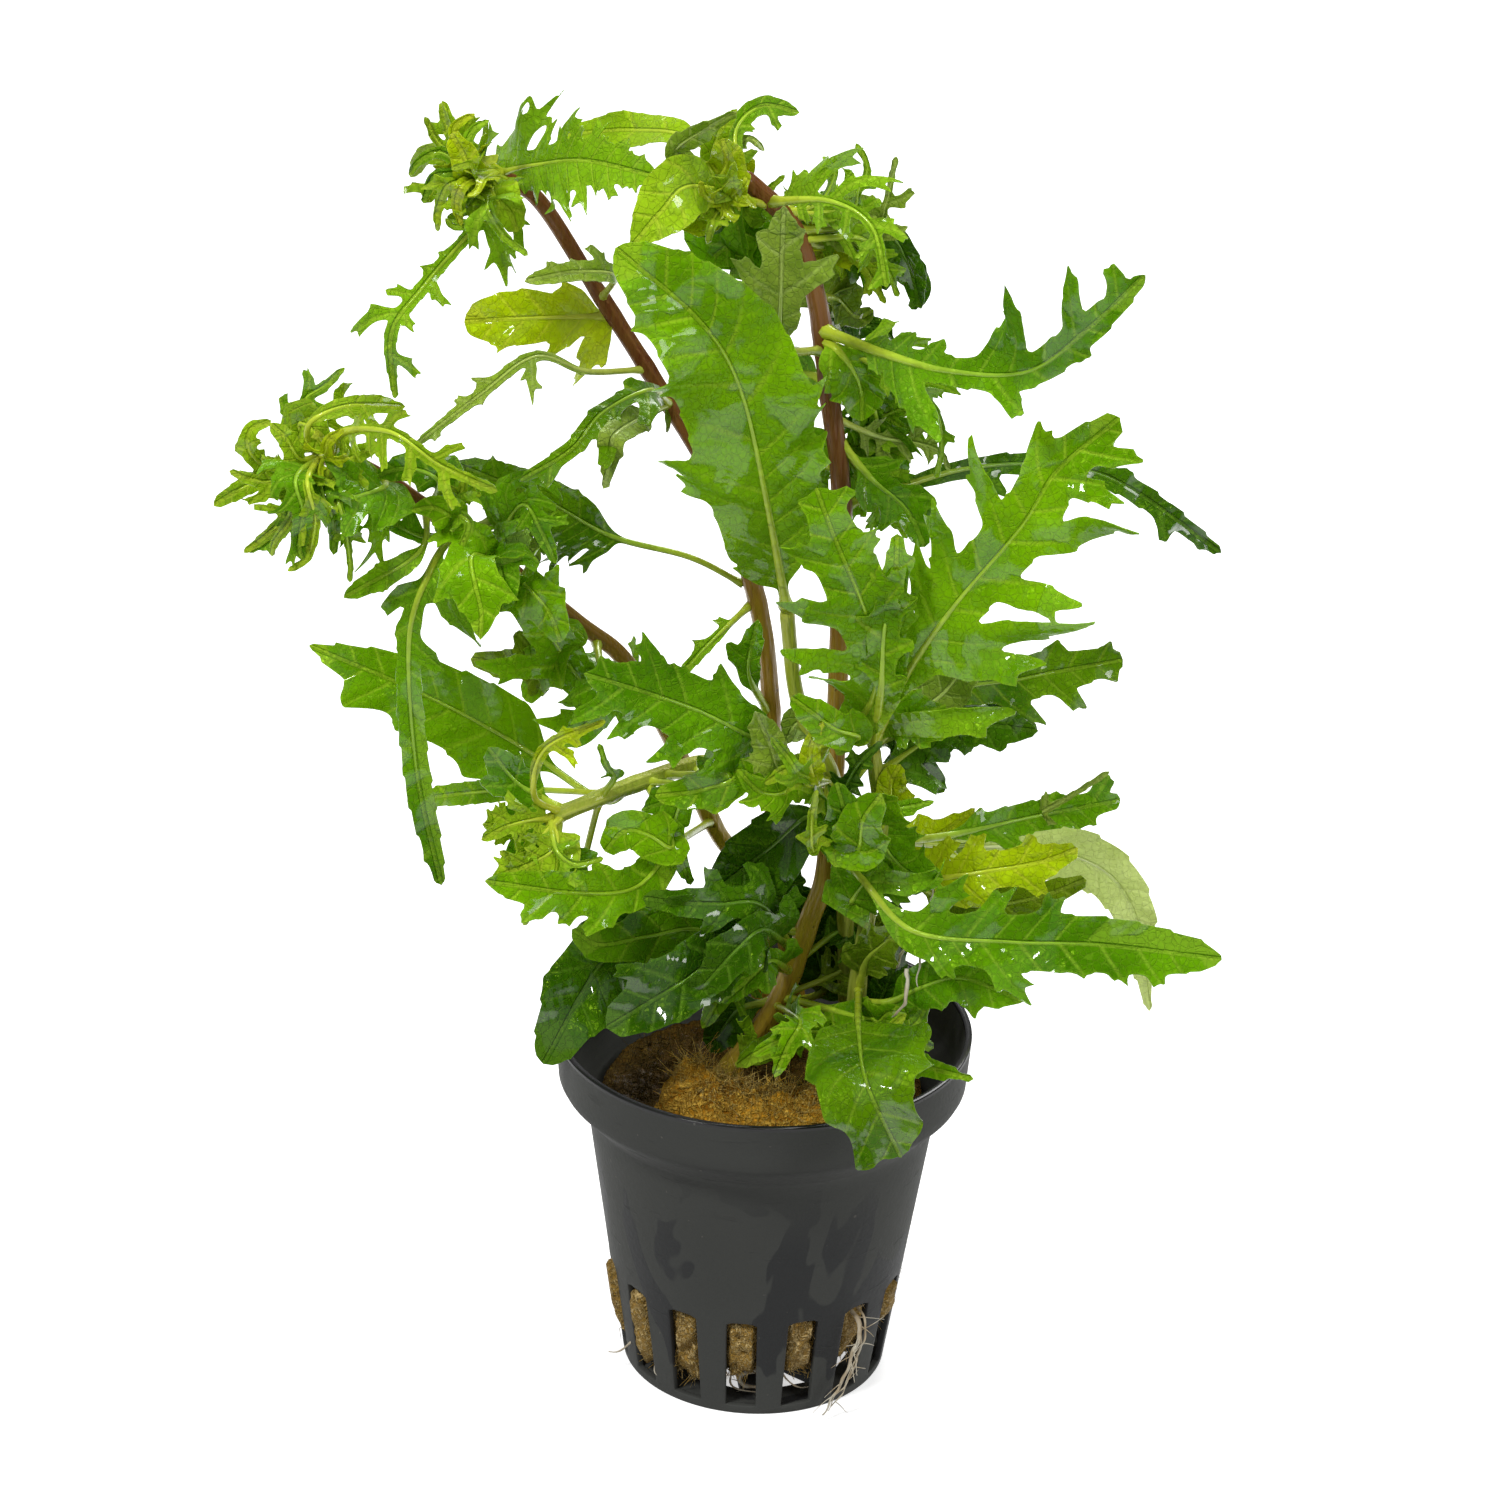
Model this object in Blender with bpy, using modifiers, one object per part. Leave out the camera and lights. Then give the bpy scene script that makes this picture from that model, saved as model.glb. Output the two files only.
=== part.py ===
"""A water wisteria in a slotted net pot.

Metres, +Z up, with the origin under the middle of the pot's floor. The front of the plant faces -Y and
+X is to its right as seen from the front. The tables below are in millimetres and degrees.
"""

import math
from dataclasses import dataclass

import bmesh
import bpy
import numpy as np
from mathutils import Matrix, Vector

MM = 0.001
GAP = 0.3

# Pot.
RIM_RADIUS = 27.5
POT_HEIGHT = 49.2
FOOT_RADIUS = 17.7
BODY_TOP_RADIUS = 23.2
BODY_TOP = 38.2
COLLAR_FOOT = 42.2
COLLAR_FLARE = 0.5
LIP = 0.3
WALL = 0.9
FLOOR = 1.2
POT_STEPS = 60

SLOTS = 15
SLOT_WIDTH = 4.1
SLOT_FOOT = 1.3
SLOT_TOP = 15.3
FIRST_SLOT = -5.0

FLOOR_GAPS = 8
FLOOR_GAP_RADIUS = 11.0
FLOOR_GAP_CORNER = 4.4

# Mineral wool.
WOOL_TOP = 39.1
WOOL_FOOT = 6.6
WOOL_SIDES = 30
TUFT_ANGLE = math.radians(-104)
TUFT_SPREAD = 0.42
TUFT_SHARE = 0.78
TUFT_DEPTH = 0.2
TUFT_HEIGHT = 6.5

# Stems and leaves.
STEM_FACES = 6
LEAF_THICKNESS = 0.5
STALK_HALF_WIDTH = 0.55
TIP_HALF_WIDTH = 0.4
FOLD = 15.0
BLADE_RISE = 0.16
TAPER_FROM = 0.7
TAPER = 0.65
MOST_BAYS = 6
LAST_BAY_END = 0.97
BAY_HALF = 0.08
LEAST_BAY = 0.045
LONG_LOBE = 5.0
LOBE_NECK = 0.55
LOBE_WIDTH = 3.2
LOBE_LEAN = 0.6
FRONT = Vector((0.0, -0.9, 0.42)).normalized()

# Each finish's colour and roughness.
LEAF_ROUGHNESS = 0.35
FINISHES = {
    "light": ((0.12, 0.36, 0.02), LEAF_ROUGHNESS),
    "young": ((0.20, 0.42, 0.03), LEAF_ROUGHNESS),
    "pale": ((0.30, 0.42, 0.12), LEAF_ROUGHNESS),
    "yellow": ((0.42, 0.48, 0.03), LEAF_ROUGHNESS),
    "dark": ((0.04, 0.14, 0.01), LEAF_ROUGHNESS),
    "grey": ((0.28, 0.38, 0.14), LEAF_ROUGHNESS),
    "mid": ((0.08, 0.26, 0.01), LEAF_ROUGHNESS),
    "bright": ((0.12, 0.34, 0.01), LEAF_ROUGHNESS),
    "olive": ((0.16, 0.22, 0.03), LEAF_ROUGHNESS),
    "shade": ((0.03, 0.10, 0.01), LEAF_ROUGHNESS),
    "stem_brown": ((0.22, 0.10, 0.04), 0.4),
    "stem_green": ((0.24, 0.30, 0.03), 0.4),
    "root": ((0.62, 0.54, 0.38), 0.7),
    "wool": ((0.36, 0.20, 0.05), 0.95),
    "pot": ((0.045, 0.045, 0.047), 0.45),
}


@dataclass(frozen=True)
class Stem:
    """A stem: its points from the foot up, its radii at both ends, and its colour."""

    name: str
    points: tuple
    radius: float
    tip_radius: float
    finish: str


@dataclass(frozen=True)
class Leaf:
    """A leaf: where it grows, the points of its midrib after the foot, and its lobes.

    share is how far along the stem it grows. A lobe is (share along the midrib, reach from the
    midrib) of its tip, left and right as seen from the front when the leaf points up.
    """

    name: str
    stem: str
    share: float
    half_width: float
    roll: float
    finish: str
    midrib: tuple
    left: tuple
    right: tuple


STEMS = (
    Stem("stem_tall_left", ((5, 14, 40.5), (1, 12, 69), (-1.5, 9, 100.5), (-7.5, 9, 120),
                            (-15, 10, 133), (-24, 12, 146.5), (-31, 12, 157.5), (-36, 10, 162)),
         1.35, 1.0, "stem_brown"),
    Stem("stem_middle", ((-5.5, 0.5, 40.5), (1.5, 1.5, 51.5), (5.5, 2, 64), (7.5, 2.5, 72.5), (8, 3, 95),
                         (7.5, 1, 123), (5.5, 0, 137.5), (3.5, 0, 150), (0, -1, 160), (-6.5, -3, 167)),
         1.5, 1.15, "stem_brown"),
    Stem("stem_leaning_left", ((0, 20, 40.5), (-4, 16, 64), (-7.5, 14, 71.5), (-18, 8, 95.5),
                               (-26, 5, 104.5), (-41.5, 1, 118.5), (-51.5, -1, 126.5), (-57.5, -2, 128.5)),
         1.3, 1.0, "stem_brown"),
    Stem("stem_front_green", ((11.5, 8, 40.5), (10, 2, 67), (8, -4, 86), (5, -6, 93.5), (2.5, -6, 100.5),
                              (1, -8, 112.5)), 1.3, 0.9, "stem_green"),
    Stem("side_shoot_left", ((-2.1, 9.6, 83), (-9.5, 3, 85.5), (-17, -3, 85.5), (-23, -8, 85),
                             (-28, -9, 83)), 1.2, 1.0, "stem_green"),
    Stem("stem_right_young", ((13, -1, 40.5), (12, -2, 54.5), (13, -4, 69), (14, -6, 81.5), (12.5, -8, 94)),
         1.3, 0.9, "stem_green"),
)

ROOTS = (
    Stem("root_bundle", ((12.6, -13.4, 14.2), (14, -15, 13.6), (14.4, -15.6, 12), (13.9, -16.1, 9.5),
                         (12.4, -16.9, 6), (10.6, -17.8, 3), (9.2, -18.1, 1.2)), 0.8, 0.35, "root"),
    Stem("root_curved", ((0.8, -14.6, 5), (-1, -14.9, 4.7), (-1.8, -14.9, 3.8), (-1, -14.8, 2.7),
                         (0.8, -14.4, 2.2), (2.4, -14, 2.4)), 0.45, 0.3, "root"),
    Stem("root_curved_left", ((-8.3, -12.1, 6.8), (-7.6, -12.7, 5.6), (-7.2, -13.1, 4.2),
                              (-7.6, -13.2, 2.4)), 0.6, 0.4, "root"),
)

LEAVES = (
    Leaf(
        "feather_of_left_crown", "stem_tall_left", 1, 2.6, 0, "light",
        midrib=((-31.5, 4, 165), (-25, -3, 168), (-16, -10, 168.5)),
        left=((0.04, 5), (0.22, 7), (0.36, 7.5), (0.5, 8.5), (0.86, 2.5)),
        right=((0.25, 3), (0.4, 3.5), (0.62, 2.5), (0.74, 7.5), (0.88, 2.5), (1, 2)),
    ),
    Leaf(
        "drooping_of_left_crown", "stem_tall_left", 0.98, 1.6, 0, "light",
        midrib=((-40, 3, 155.5), (-45, -4, 151), (-48, -8, 147), (-47.5, -9, 139)),
        left=((0.19, 7), (0.29, 7), (0.39, 9), (0.59, 4), (0.74, 3), (0.92, 4)),
        right=((0.29, 3.5), (0.41, 1.5), (0.5, 2), (0.66, 3.5), (0.79, 5.5)),
    ),
    Leaf(
        "top_of_left_crown", "stem_tall_left", 1, 1, 0, "young",
        midrib=((-41.5, 7, 168), (-43, 8, 171.5)),
        left=((0.86, 3),),
        right=((0.49, 4), (0.72, 3.5)),
    ),
    Leaf(
        "back_of_left_crown", "stem_tall_left", 1, 1.2, -20, "pale",
        midrib=((-44.5, 13, 163.5), (-47.5, 15, 159.5)),
        left=(),
        right=((0.58, 1.5),),
    ),
    Leaf(
        "yellow_blunt", "stem_tall_left", 0.82, 3.6, 0, "yellow",
        midrib=((-28, 14, 142), (-35, 17, 140.5), (-41, 18, 139.5)),
        left=((0, 7), (0.18, 9.5), (0.38, 5.5), (0.78, 4.5)),
        right=((0.32, 5), (0.61, 4)),
    ),
    Leaf(
        "short_grey", "stem_tall_left", 0.84, 1.5, 20, "pale",
        midrib=((-21.5, 3, 151.5), (-26, -2, 153.5), (-32, -6, 153.5)),
        left=(),
        right=((0.61, 3.5), (0.86, 2)),
    ),
    Leaf(
        "pale_edge_on", "stem_tall_left", 0.76, 1, 35, "pale",
        midrib=((-25, 4, 138.5), (-31, -1, 142), (-37.5, -6, 138.5), (-45.5, -12, 133.5)),
        left=((0.28, 1), (0.63, 7), (0.73, 2), (0.93, 2)),
        right=((0.69, 3), (0.78, 2)),
    ),
    Leaf(
        "dark_curled", "stem_tall_left", 0.72, 1.6, 20, "dark",
        midrib=((-17, 2, 137), (-22.5, -4, 136), (-26, -9, 133), (-32, -12, 130)),
        left=((0.02, 4), (0.47, 6), (0.77, 6.5)),
        right=((0.38, 2.5),),
    ),
    Leaf(
        "dark_long_stalked", "stem_tall_left", 0.52, 2.4, 0, "dark",
        midrib=((-11.5, 10, 111.5), (-21.5, 10, 114), (-30, 8, 119.5), (-41.5, 6, 125)),
        left=((0.07, 5.5), (0.45, 4), (0.47, 5.5), (0.51, 7), (0.57, 7)),
        right=((0.21, 7), (0.37, 10.5)),
    ),
    Leaf(
        "folded_of_middle_crown", "stem_middle", 1, 1.6, 30, "pale",
        midrib=((-12.5, -6, 169.5), (-14, -8, 171.5), (-7, -12, 177.5)),
        left=(),
        right=(),
    ),
    Leaf(
        "hook_of_middle_crown", "stem_middle", 1, 1.2, 0, "light",
        midrib=((-7, 0, 171.5), (-4, 2, 174), (0.5, 3, 173)),
        left=((0.45, 1),),
        right=((0.16, 3), (0.86, 3.5)),
    ),
    Leaf(
        "yellow_of_middle_crown", "stem_middle", 0.96, 3, 0, "yellow",
        midrib=((-12, -10, 167.5), (-15.5, -14, 165.5), (-19, -16, 161.5)),
        left=((0.65, 5),),
        right=(),
    ),
    Leaf(
        "arched_of_middle_crown", "stem_middle", 0.98, 1.2, 20, "pale",
        midrib=((-12.5, 7, 168), (-20, 13, 167), (-29, 18, 164.5)),
        left=((0.84, 1.5),),
        right=((0.73, 1.5),),
    ),
    Leaf(
        "grey_underside", "stem_middle", 0.8, 2.6, 0, "grey",
        midrib=((-0.5, -8, 147), (-1, -13, 156), (-1, -13, 166.5)),
        left=((0.8, 6.5), (0.89, 3.5)),
        right=((0.83, 7.5), (0.91, 3)),
    ),
    Leaf(
        "comb_of_right_crown", "stem_middle", 0.96, 1.6, 0, "light",
        midrib=((4.5, -8, 165.5), (9.5, -12, 163.8), (11.5, -15.5, 157.5)),
        left=((0.27, 5), (0.4, 6.5), (0.52, 7), (0.64, 4)),
        right=((0.27, 4.5), (0.84, 3.5), (1, 2.5)),
    ),
    Leaf(
        "dark_of_right_crown", "stem_middle", 0.92, 2, 30, "dark",
        midrib=((11, 4, 158), (14.5, 6, 153.5), (16.5, 6, 147.5)),
        left=((0.82, 2),),
        right=((0.85, 5),),
    ),
    Leaf(
        "right_sweeping", "stem_middle", 0.82, 2, 0, "light",
        midrib=((11.5, -8, 146.5), (19.5, -15, 147), (28.5, -21, 149.5), (35, -25, 156.5), (41, -27, 164)),
        left=((0.26, 6), (0.29, 7.5), (0.48, 10.5), (0.83, 6.5), (0.95, 2), (0.95, 5)),
        right=((0.17, 8), (0.31, 7.5), (0.42, 10), (0.51, 5), (0.57, 4.5), (0.72, 4)),
    ),
    Leaf(
        "right_ragged", "stem_middle", 0.76, 1.8, 0, "mid",
        midrib=((10, 4, 135), (13, 8, 130), (15.5, 10, 123)),
        left=((0.49, 4.5), (0.7, 4.5)),
        right=((0.41, 5), (0.91, 4.5)),
    ),
    Leaf(
        "great_middle", "stem_front_green", 1, 7.2, 0, "bright",
        midrib=((-2, -14, 129.5), (-5.5, -18, 145), (-10.5, -21, 154.5), (-20.5, -22, 163.5)),
        left=((0.16, 6), (0.43, 11), (0.52, 13), (0.74, 10.5), (0.88, 7)),
        right=((0.13, 2.5), (0.33, 6.5), (0.45, 9.5), (0.58, 10.5), (0.77, 6), (0.88, 5.5)),
    ),
    Leaf(
        "right_far", "stem_middle", 0.64, 1.6, 0, "dark",
        midrib=((22.5, 9, 125), (34, 13, 124.5), (43.5, 15, 121.5), (57, 16, 112)),
        left=((0.71, 2),),
        right=((0.21, 6.5), (0.4, 4.5), (0.87, 3.5), (0.95, 1.5)),
    ),
    Leaf(
        "great_right", "stem_right_young", 1, 5, 0, "bright",
        midrib=((16, -12, 105.5), (21.5, -16, 117), (29, -18, 128.5), (33, -18, 136), (40, -16, 142)),
        left=((0.39, 5.5), (0.64, 11.5), (0.81, 12), (0.88, 6.5)),
        right=((0.31, 15), (0.51, 14), (0.67, 12.5), (0.67, 14.5), (0.88, 13), (0.9, 9), (0.99, 6.5)),
    ),
    Leaf(
        "great_centre", "stem_front_green", 0.72, 5.4, 0, "bright",
        midrib=((11.5, -11, 100.5), (12.5, -15, 109.5), (10, -18, 118), (6.5, -19, 126.5), (4, -19, 133)),
        left=((0.12, 5), (0.42, 9.5), (0.66, 12.5), (0.79, 10.5), (0.9, 7), (0.99, 3)),
        right=((0.49, 3.5), (0.62, 7), (0.72, 7), (0.85, 5.5), (0.98, 4)),
    ),
    Leaf(
        "right_shaded", "stem_right_young", 0.82, 3, 0, "dark",
        midrib=((21, 4, 95), (32, 12, 95), (45.5, 18, 95.5)),
        left=((0.81, 3.5), (0.97, 3)),
        right=((0.73, 6), (0.86, 5), (0.89, 3)),
    ),
    Leaf(
        "right_toothed", "stem_right_young", 0.92, 2.6, 0, "dark",
        midrib=((20, -4, 93.5), (26, -3, 95), (33.5, -3, 94.5)),
        left=((0.57, 3),),
        right=((0.13, 2), (0.29, 7), (0.41, 4), (0.59, 3.5), (0.8, 3.5)),
    ),
    Leaf(
        "arch_of_low_crown", "stem_leaning_left", 0.98, 1.4, 0, "yellow",
        midrib=((-54, -8, 134), (-47.5, -14, 136.5), (-41.5, -16.5, 133.5), (-34.5, -17, 130.5)),
        left=((0.57, 4.5), (0.81, 4)),
        right=((0.41, 1.5), (0.73, 4.5), (0.89, 5)),
    ),
    Leaf(
        "curl_of_low_crown", "stem_leaning_left", 1, 1.2, 0, "young",
        midrib=((-58.8, -4, 131.5), (-58, -4.8, 134.3), (-53.5, -3.8, 136), (-47, -1, 135)),
        left=(),
        right=((0.66, 2), (0.84, 4)),
    ),
    Leaf(
        "tip_of_low_crown", "stem_leaning_left", 1, 1.2, 0, "young",
        midrib=((-66, -5, 125.5), (-70.5, -6, 123)),
        left=(),
        right=((0.68, 2.5),),
    ),
    Leaf(
        "fringe_of_low_crown", "stem_leaning_left", 0.9, 1.8, 0, "light",
        midrib=((-53, -6, 123.5), (-59, -10, 124), (-65.5, -11, 119)),
        left=((0.31, 4.5), (0.39, 8.5), (0.47, 5.5), (0.85, 5.5), (0.91, 2)),
        right=((0.17, 6), (0.47, 5), (0.6, 5), (0.67, 5)),
    ),
    Leaf(
        "narrow_left", "stem_leaning_left", 0.86, 1.5, 0, "light",
        midrib=((-45, -6, 117.5), (-54, -9, 112.5)),
        left=((0.75, 2),),
        right=((0.7, 2),),
    ),
    Leaf(
        "long_hanging", "stem_leaning_left", 0.82, 1.8, 0, "mid",
        midrib=((-43.5, -5, 115), (-46, -8, 106.5), (-45, -9, 89), (-42, -8, 72.5)),
        left=((0.21, 2), (0.24, 6), (0.31, 10), (0.4, 5)),
        right=((0.26, 4.5), (0.31, 2), (0.92, 1.5)),
    ),
    Leaf(
        "broad_left", "stem_leaning_left", 0.74, 4.4, 0, "bright",
        midrib=((-38, -10, 119), (-36.5, -15.5, 114), (-36.5, -17, 111)),
        left=((0.59, 6.5), (0.91, 2)),
        right=((0.17, 6), (0.78, 4.5)),
    ),
    Leaf(
        "olive_antler", "stem_leaning_left", 0.52, 2.8, 0, "olive",
        midrib=((-23.5, -1, 97.5), (-28.5, -5, 106.5), (-34, -7, 116)),
        left=((0.44, 8.5), (0.81, 10.5), (0.97, 5)),
        right=((0, 6.5), (0.92, 6.5)),
    ),
    Leaf(
        "left_spread", "stem_tall_left", 0.34, 4.2, 0, "mid",
        midrib=((-2.5, -7, 94), (-9.5, -10, 99), (-17, -12, 102.5), (-24, -13, 105)),
        left=((0.58, 8), (0.76, 9), (0.9, 7.5), (1, 7)),
        right=((0.66, 7), (0.77, 5), (0.89, 7.5), (0.97, 3)),
    ),
    Leaf(
        "curling_thread", "side_shoot_left", 0.96, 0.8, 0, "yellow",
        midrib=((-30, -12, 87.5), (-28.5, -14, 95), (-21, -15, 99.5)),
        left=((0.77, 1.5),),
        right=((0.77, 4), (0.83, 2)),
    ),
    Leaf(
        "shoot_outer", "side_shoot_left", 0.98, 1.6, 0, "young",
        midrib=((-32, -11, 82.5), (-36.5, -12.5, 83.5)),
        left=((0.84, 3),),
        right=((0.84, 3.5), (1, 2.5)),
    ),
    Leaf(
        "shoot_low", "side_shoot_left", 1, 1.8, 0, "young",
        midrib=((-29, -14, 80), (-35, -17, 78)),
        left=((0.59, 2.5),),
        right=((0.92, 3),),
    ),
    Leaf(
        "bright_low_left", "stem_leaning_left", 0.3, 3, 0, "bright",
        midrib=((-12.5, -4, 77), (-17, -11, 74.5), (-24.5, -17, 76.5), (-35.5, -20.5, 79.5)),
        left=((0.73, 6), (0.8, 4.5), (0.9, 5)),
        right=((0.45, 4), (0.7, 4.5), (0.86, 2)),
    ),
    Leaf(
        "long_entire", "side_shoot_left", 0.62, 5.6, 0, "mid",
        midrib=((-22, 2, 80.5), (-33, 10, 84), (-46.5, 16, 88.5), (-61.5, 20, 93)),
        left=((0.51, 7.5), (0.71, 6), (0.86, 6)),
        right=(),
    ),
    Leaf(
        "right_low_long", "stem_front_green", 0.48, 3.2, 0, "bright",
        midrib=((12, -10, 76), (18.5, -15, 71.5), (30.5, -18, 72), (42, -19, 72.5), (57.5, -19, 71)),
        left=((0.21, 10), (0.51, 11.5), (0.68, 5), (0.68, 12)),
        right=((0.43, 5.5), (0.59, 7), (0.7, 4.5), (0.76, 4.5)),
    ),
    Leaf(
        "right_low_narrow", "stem_right_young", 0.72, 2.2, 0, "mid",
        midrib=((23.5, 2, 77), (34, 8, 77), (46, 12, 78)),
        left=((0.47, 3), (0.58, 1.5), (0.77, 3), (0.97, 4)),
        right=((0.58, 4.5), (0.83, 3), (0.89, 3)),
    ),
    Leaf(
        "pale_oval", "stem_tall_left", 0.16, 4, 0, "grey",
        midrib=((25.5, 20, 66), (41.5, 24, 63.5), (49.5, 25, 56), (53, 24, 40.5)),
        left=(),
        right=(),
    ),
    Leaf(
        "right_over_rim", "stem_right_young", 0.26, 2.4, 0, "mid",
        midrib=((19, -8, 61.5), (25.5, -11, 66), (34, -13, 61.5)),
        left=((0.59, 2),),
        right=((0.69, 4.5), (0.91, 2.5)),
    ),
    Leaf(
        "front_over_rim", "stem_right_young", 0.3, 5.6, 0, "bright",
        midrib=((12, -17, 58), (13, -30, 57.5), (17.5, -33, 49)),
        left=((0.88, 12.5), (0.98, 3.5)),
        right=((0.45, 7), (0.88, 5)),
    ),
    Leaf(
        "left_over_rim", "stem_middle", 0.18, 5, 0, "dark",
        midrib=((-10, -2, 67.5), (-20.5, -5, 61.5), (-28.5, -12, 49)),
        left=((0.64, 5.5), (0.94, 5)),
        right=((0.62, 3), (0.78, 5)),
    ),
    Leaf(
        "glossy_left", "stem_middle", 0.14, 4.4, 0, "dark",
        midrib=((-3.5, -9, 65.5), (-11, -17, 64), (-20, -21, 59.5)),
        left=((0.64, 5.5), (0.78, 4)),
        right=((0.44, 7), (0.62, 11), (0.88, 7)),
    ),
    Leaf(
        "shaded_centre", "stem_middle", 0.28, 4.4, 0, "shade",
        midrib=((5, -3, 81.5), (0, -4.5, 77.5), (-7, -5.5, 71.5)),
        left=((0.72, 6),),
        right=((0.75, 2),),
    ),
    Leaf(
        "small_facing", "stem_front_green", 0.7, 2.2, 0, "pale",
        midrib=((1, -11.5, 92), (-0.5, -13, 96), (-2.5, -14, 101)),
        left=((0.67, 4), (0.93, 2)),
        right=((0.11, 2), (0.77, 1.5)),
    ),
    Leaf(
        "front_facing", "stem_right_young", 0.78, 3.8, 0, "bright",
        midrib=((13.5, -9.5, 84), (14, -13.5, 90)),
        left=((0.7, 4),),
        right=((0.62, 4.5), (1, 2)),
    ),
)


def link(obj, collection):
    """Puts the object in one collection."""
    collection.objects.link(obj)
    return obj


def material(name, finish):
    """A plain material of the finish's colour."""
    made = bpy.data.materials.new(name)
    made.use_nodes = True
    shader = made.node_tree.nodes["Principled BSDF"]
    colour, roughness = FINISHES[finish]
    shader.inputs["Base Color"].default_value = (*colour, 1.0)
    shader.inputs["Roughness"].default_value = roughness
    shader.inputs["Metallic"].default_value = 0.0
    return made


def mesh_object(name, shape, collection, finish=None):
    """Makes an object of the bmesh and frees it."""
    mesh = bpy.data.meshes.new(name)
    shape.to_mesh(mesh)
    shape.free()
    made = link(bpy.data.objects.new(name, mesh), collection)
    if finish:
        mesh.materials.append(material(name, finish))
    return made


def cutter_object(name, shape, cutters):
    """Makes a hidden object that cuts."""
    made = mesh_object(name, shape, cutters)
    made.hide_render = True
    made.display_type = "WIRE"
    return made


def cut(obj, cutter):
    """Takes the cutter out of the object."""
    modifier = obj.modifiers.new(cutter.name, "BOOLEAN")
    modifier.operation = "DIFFERENCE"
    modifier.solver = "EXACT"
    modifier.object = cutter


def body_radius(height):
    """The radius of the outside of the pot's tapered body."""
    return FOOT_RADIUS + (BODY_TOP_RADIUS - FOOT_RADIUS) * height / BODY_TOP


def pot_profile():
    """(radius, height) from the middle of the floor, up the inside, over the lip and down the outside."""
    collar_foot_radius = RIM_RADIUS - COLLAR_FLARE
    return (
        (0, FLOOR),
        (body_radius(FLOOR) - WALL, FLOOR),
        (BODY_TOP_RADIUS - WALL, BODY_TOP),
        (collar_foot_radius - WALL, COLLAR_FOOT),
        (RIM_RADIUS - WALL, POT_HEIGHT - LIP),
        (RIM_RADIUS - WALL + LIP, POT_HEIGHT),
        (RIM_RADIUS - LIP, POT_HEIGHT),
        (RIM_RADIUS, POT_HEIGHT - LIP),
        (collar_foot_radius, COLLAR_FOOT),
        (BODY_TOP_RADIUS, BODY_TOP),
        (FOOT_RADIUS, LIP),
        (FOOT_RADIUS - LIP, 0),
        (0, 0),
    )


def make_pot(parts, cutters):
    """The turned pot, with slots round its foot and gaps between the spokes of its floor."""
    shape = bmesh.new()
    points = [shape.verts.new((radius * MM, 0, height * MM)) for radius, height in pot_profile()]
    for start, end in zip(points, points[1:]):
        shape.edges.new((start, end))
    pot = mesh_object("pot", shape, parts, "pot")
    turn = pot.modifiers.new("turn", "SCREW")
    turn.steps = POT_STEPS
    turn.render_steps = POT_STEPS
    turn.use_merge_vertices = True
    turn.merge_threshold = 0.00001
    turn.use_smooth_shade = False

    slots = bmesh.new()
    size = Vector((SLOT_WIDTH, 3 * SLOT_WIDTH, SLOT_TOP - SLOT_FOOT)) * MM
    for number in range(SLOTS):
        turned = Matrix.Rotation(math.radians(FIRST_SLOT + number * 360 / SLOTS), 4, "Z")
        middle = Vector((0, -body_radius(0), (SLOT_FOOT + SLOT_TOP) / 2)) * MM
        place = turned @ Matrix.Translation(middle) @ Matrix.Diagonal((*size, 1))
        bmesh.ops.create_cube(slots, size=1, matrix=place)
    cut(pot, cutter_object("slots", slots, cutters))

    gaps = bmesh.new()
    for number in range(FLOOR_GAPS):
        turned = Matrix.Rotation((number + 0.5) * math.tau / FLOOR_GAPS, 4, "Z")
        middle = Vector((0, -FLOOR_GAP_RADIUS, FLOOR / 2)) * MM
        place = turned @ Matrix.Translation(middle)
        bmesh.ops.create_cone(gaps, cap_ends=True, segments=3, radius1=FLOOR_GAP_CORNER * MM,
                              radius2=FLOOR_GAP_CORNER * MM, depth=3 * FLOOR * MM, matrix=place)
    cut(pot, cutter_object("floor_gaps", gaps, cutters))
    return pot


def wool_height(angle, share):
    """The height of the wool's top: low waves, with a raised tuft at the front."""
    waves = 0.4 * math.sin(3 * angle + 1) + 0.3 * math.sin(5 * angle)
    across = math.exp(-(((angle - TUFT_ANGLE) / TUFT_SPREAD) ** 2))
    inward = math.exp(-(((share - TUFT_SHARE) / TUFT_DEPTH) ** 2))
    return WOOL_TOP + waves * share + TUFT_HEIGHT * across * inward


def wool_foot(angle, share):
    """The height of the wool's torn underside, which hangs lowest beside the front."""
    return WOOL_FOOT + (1.2 * math.cos(4 * (angle + 2.08)) + 0.3 * math.sin(9 * angle)) * share


def ring(shape, radius, height):
    """A ring of points. radius and height are functions of the angle."""
    made = []
    for number in range(WOOL_SIDES):
        angle = math.tau * number / WOOL_SIDES - math.pi
        across = radius(angle)
        place = Vector((across * math.cos(angle), across * math.sin(angle), height(angle)))
        made.append(shape.verts.new(place * MM))
    return made


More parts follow.
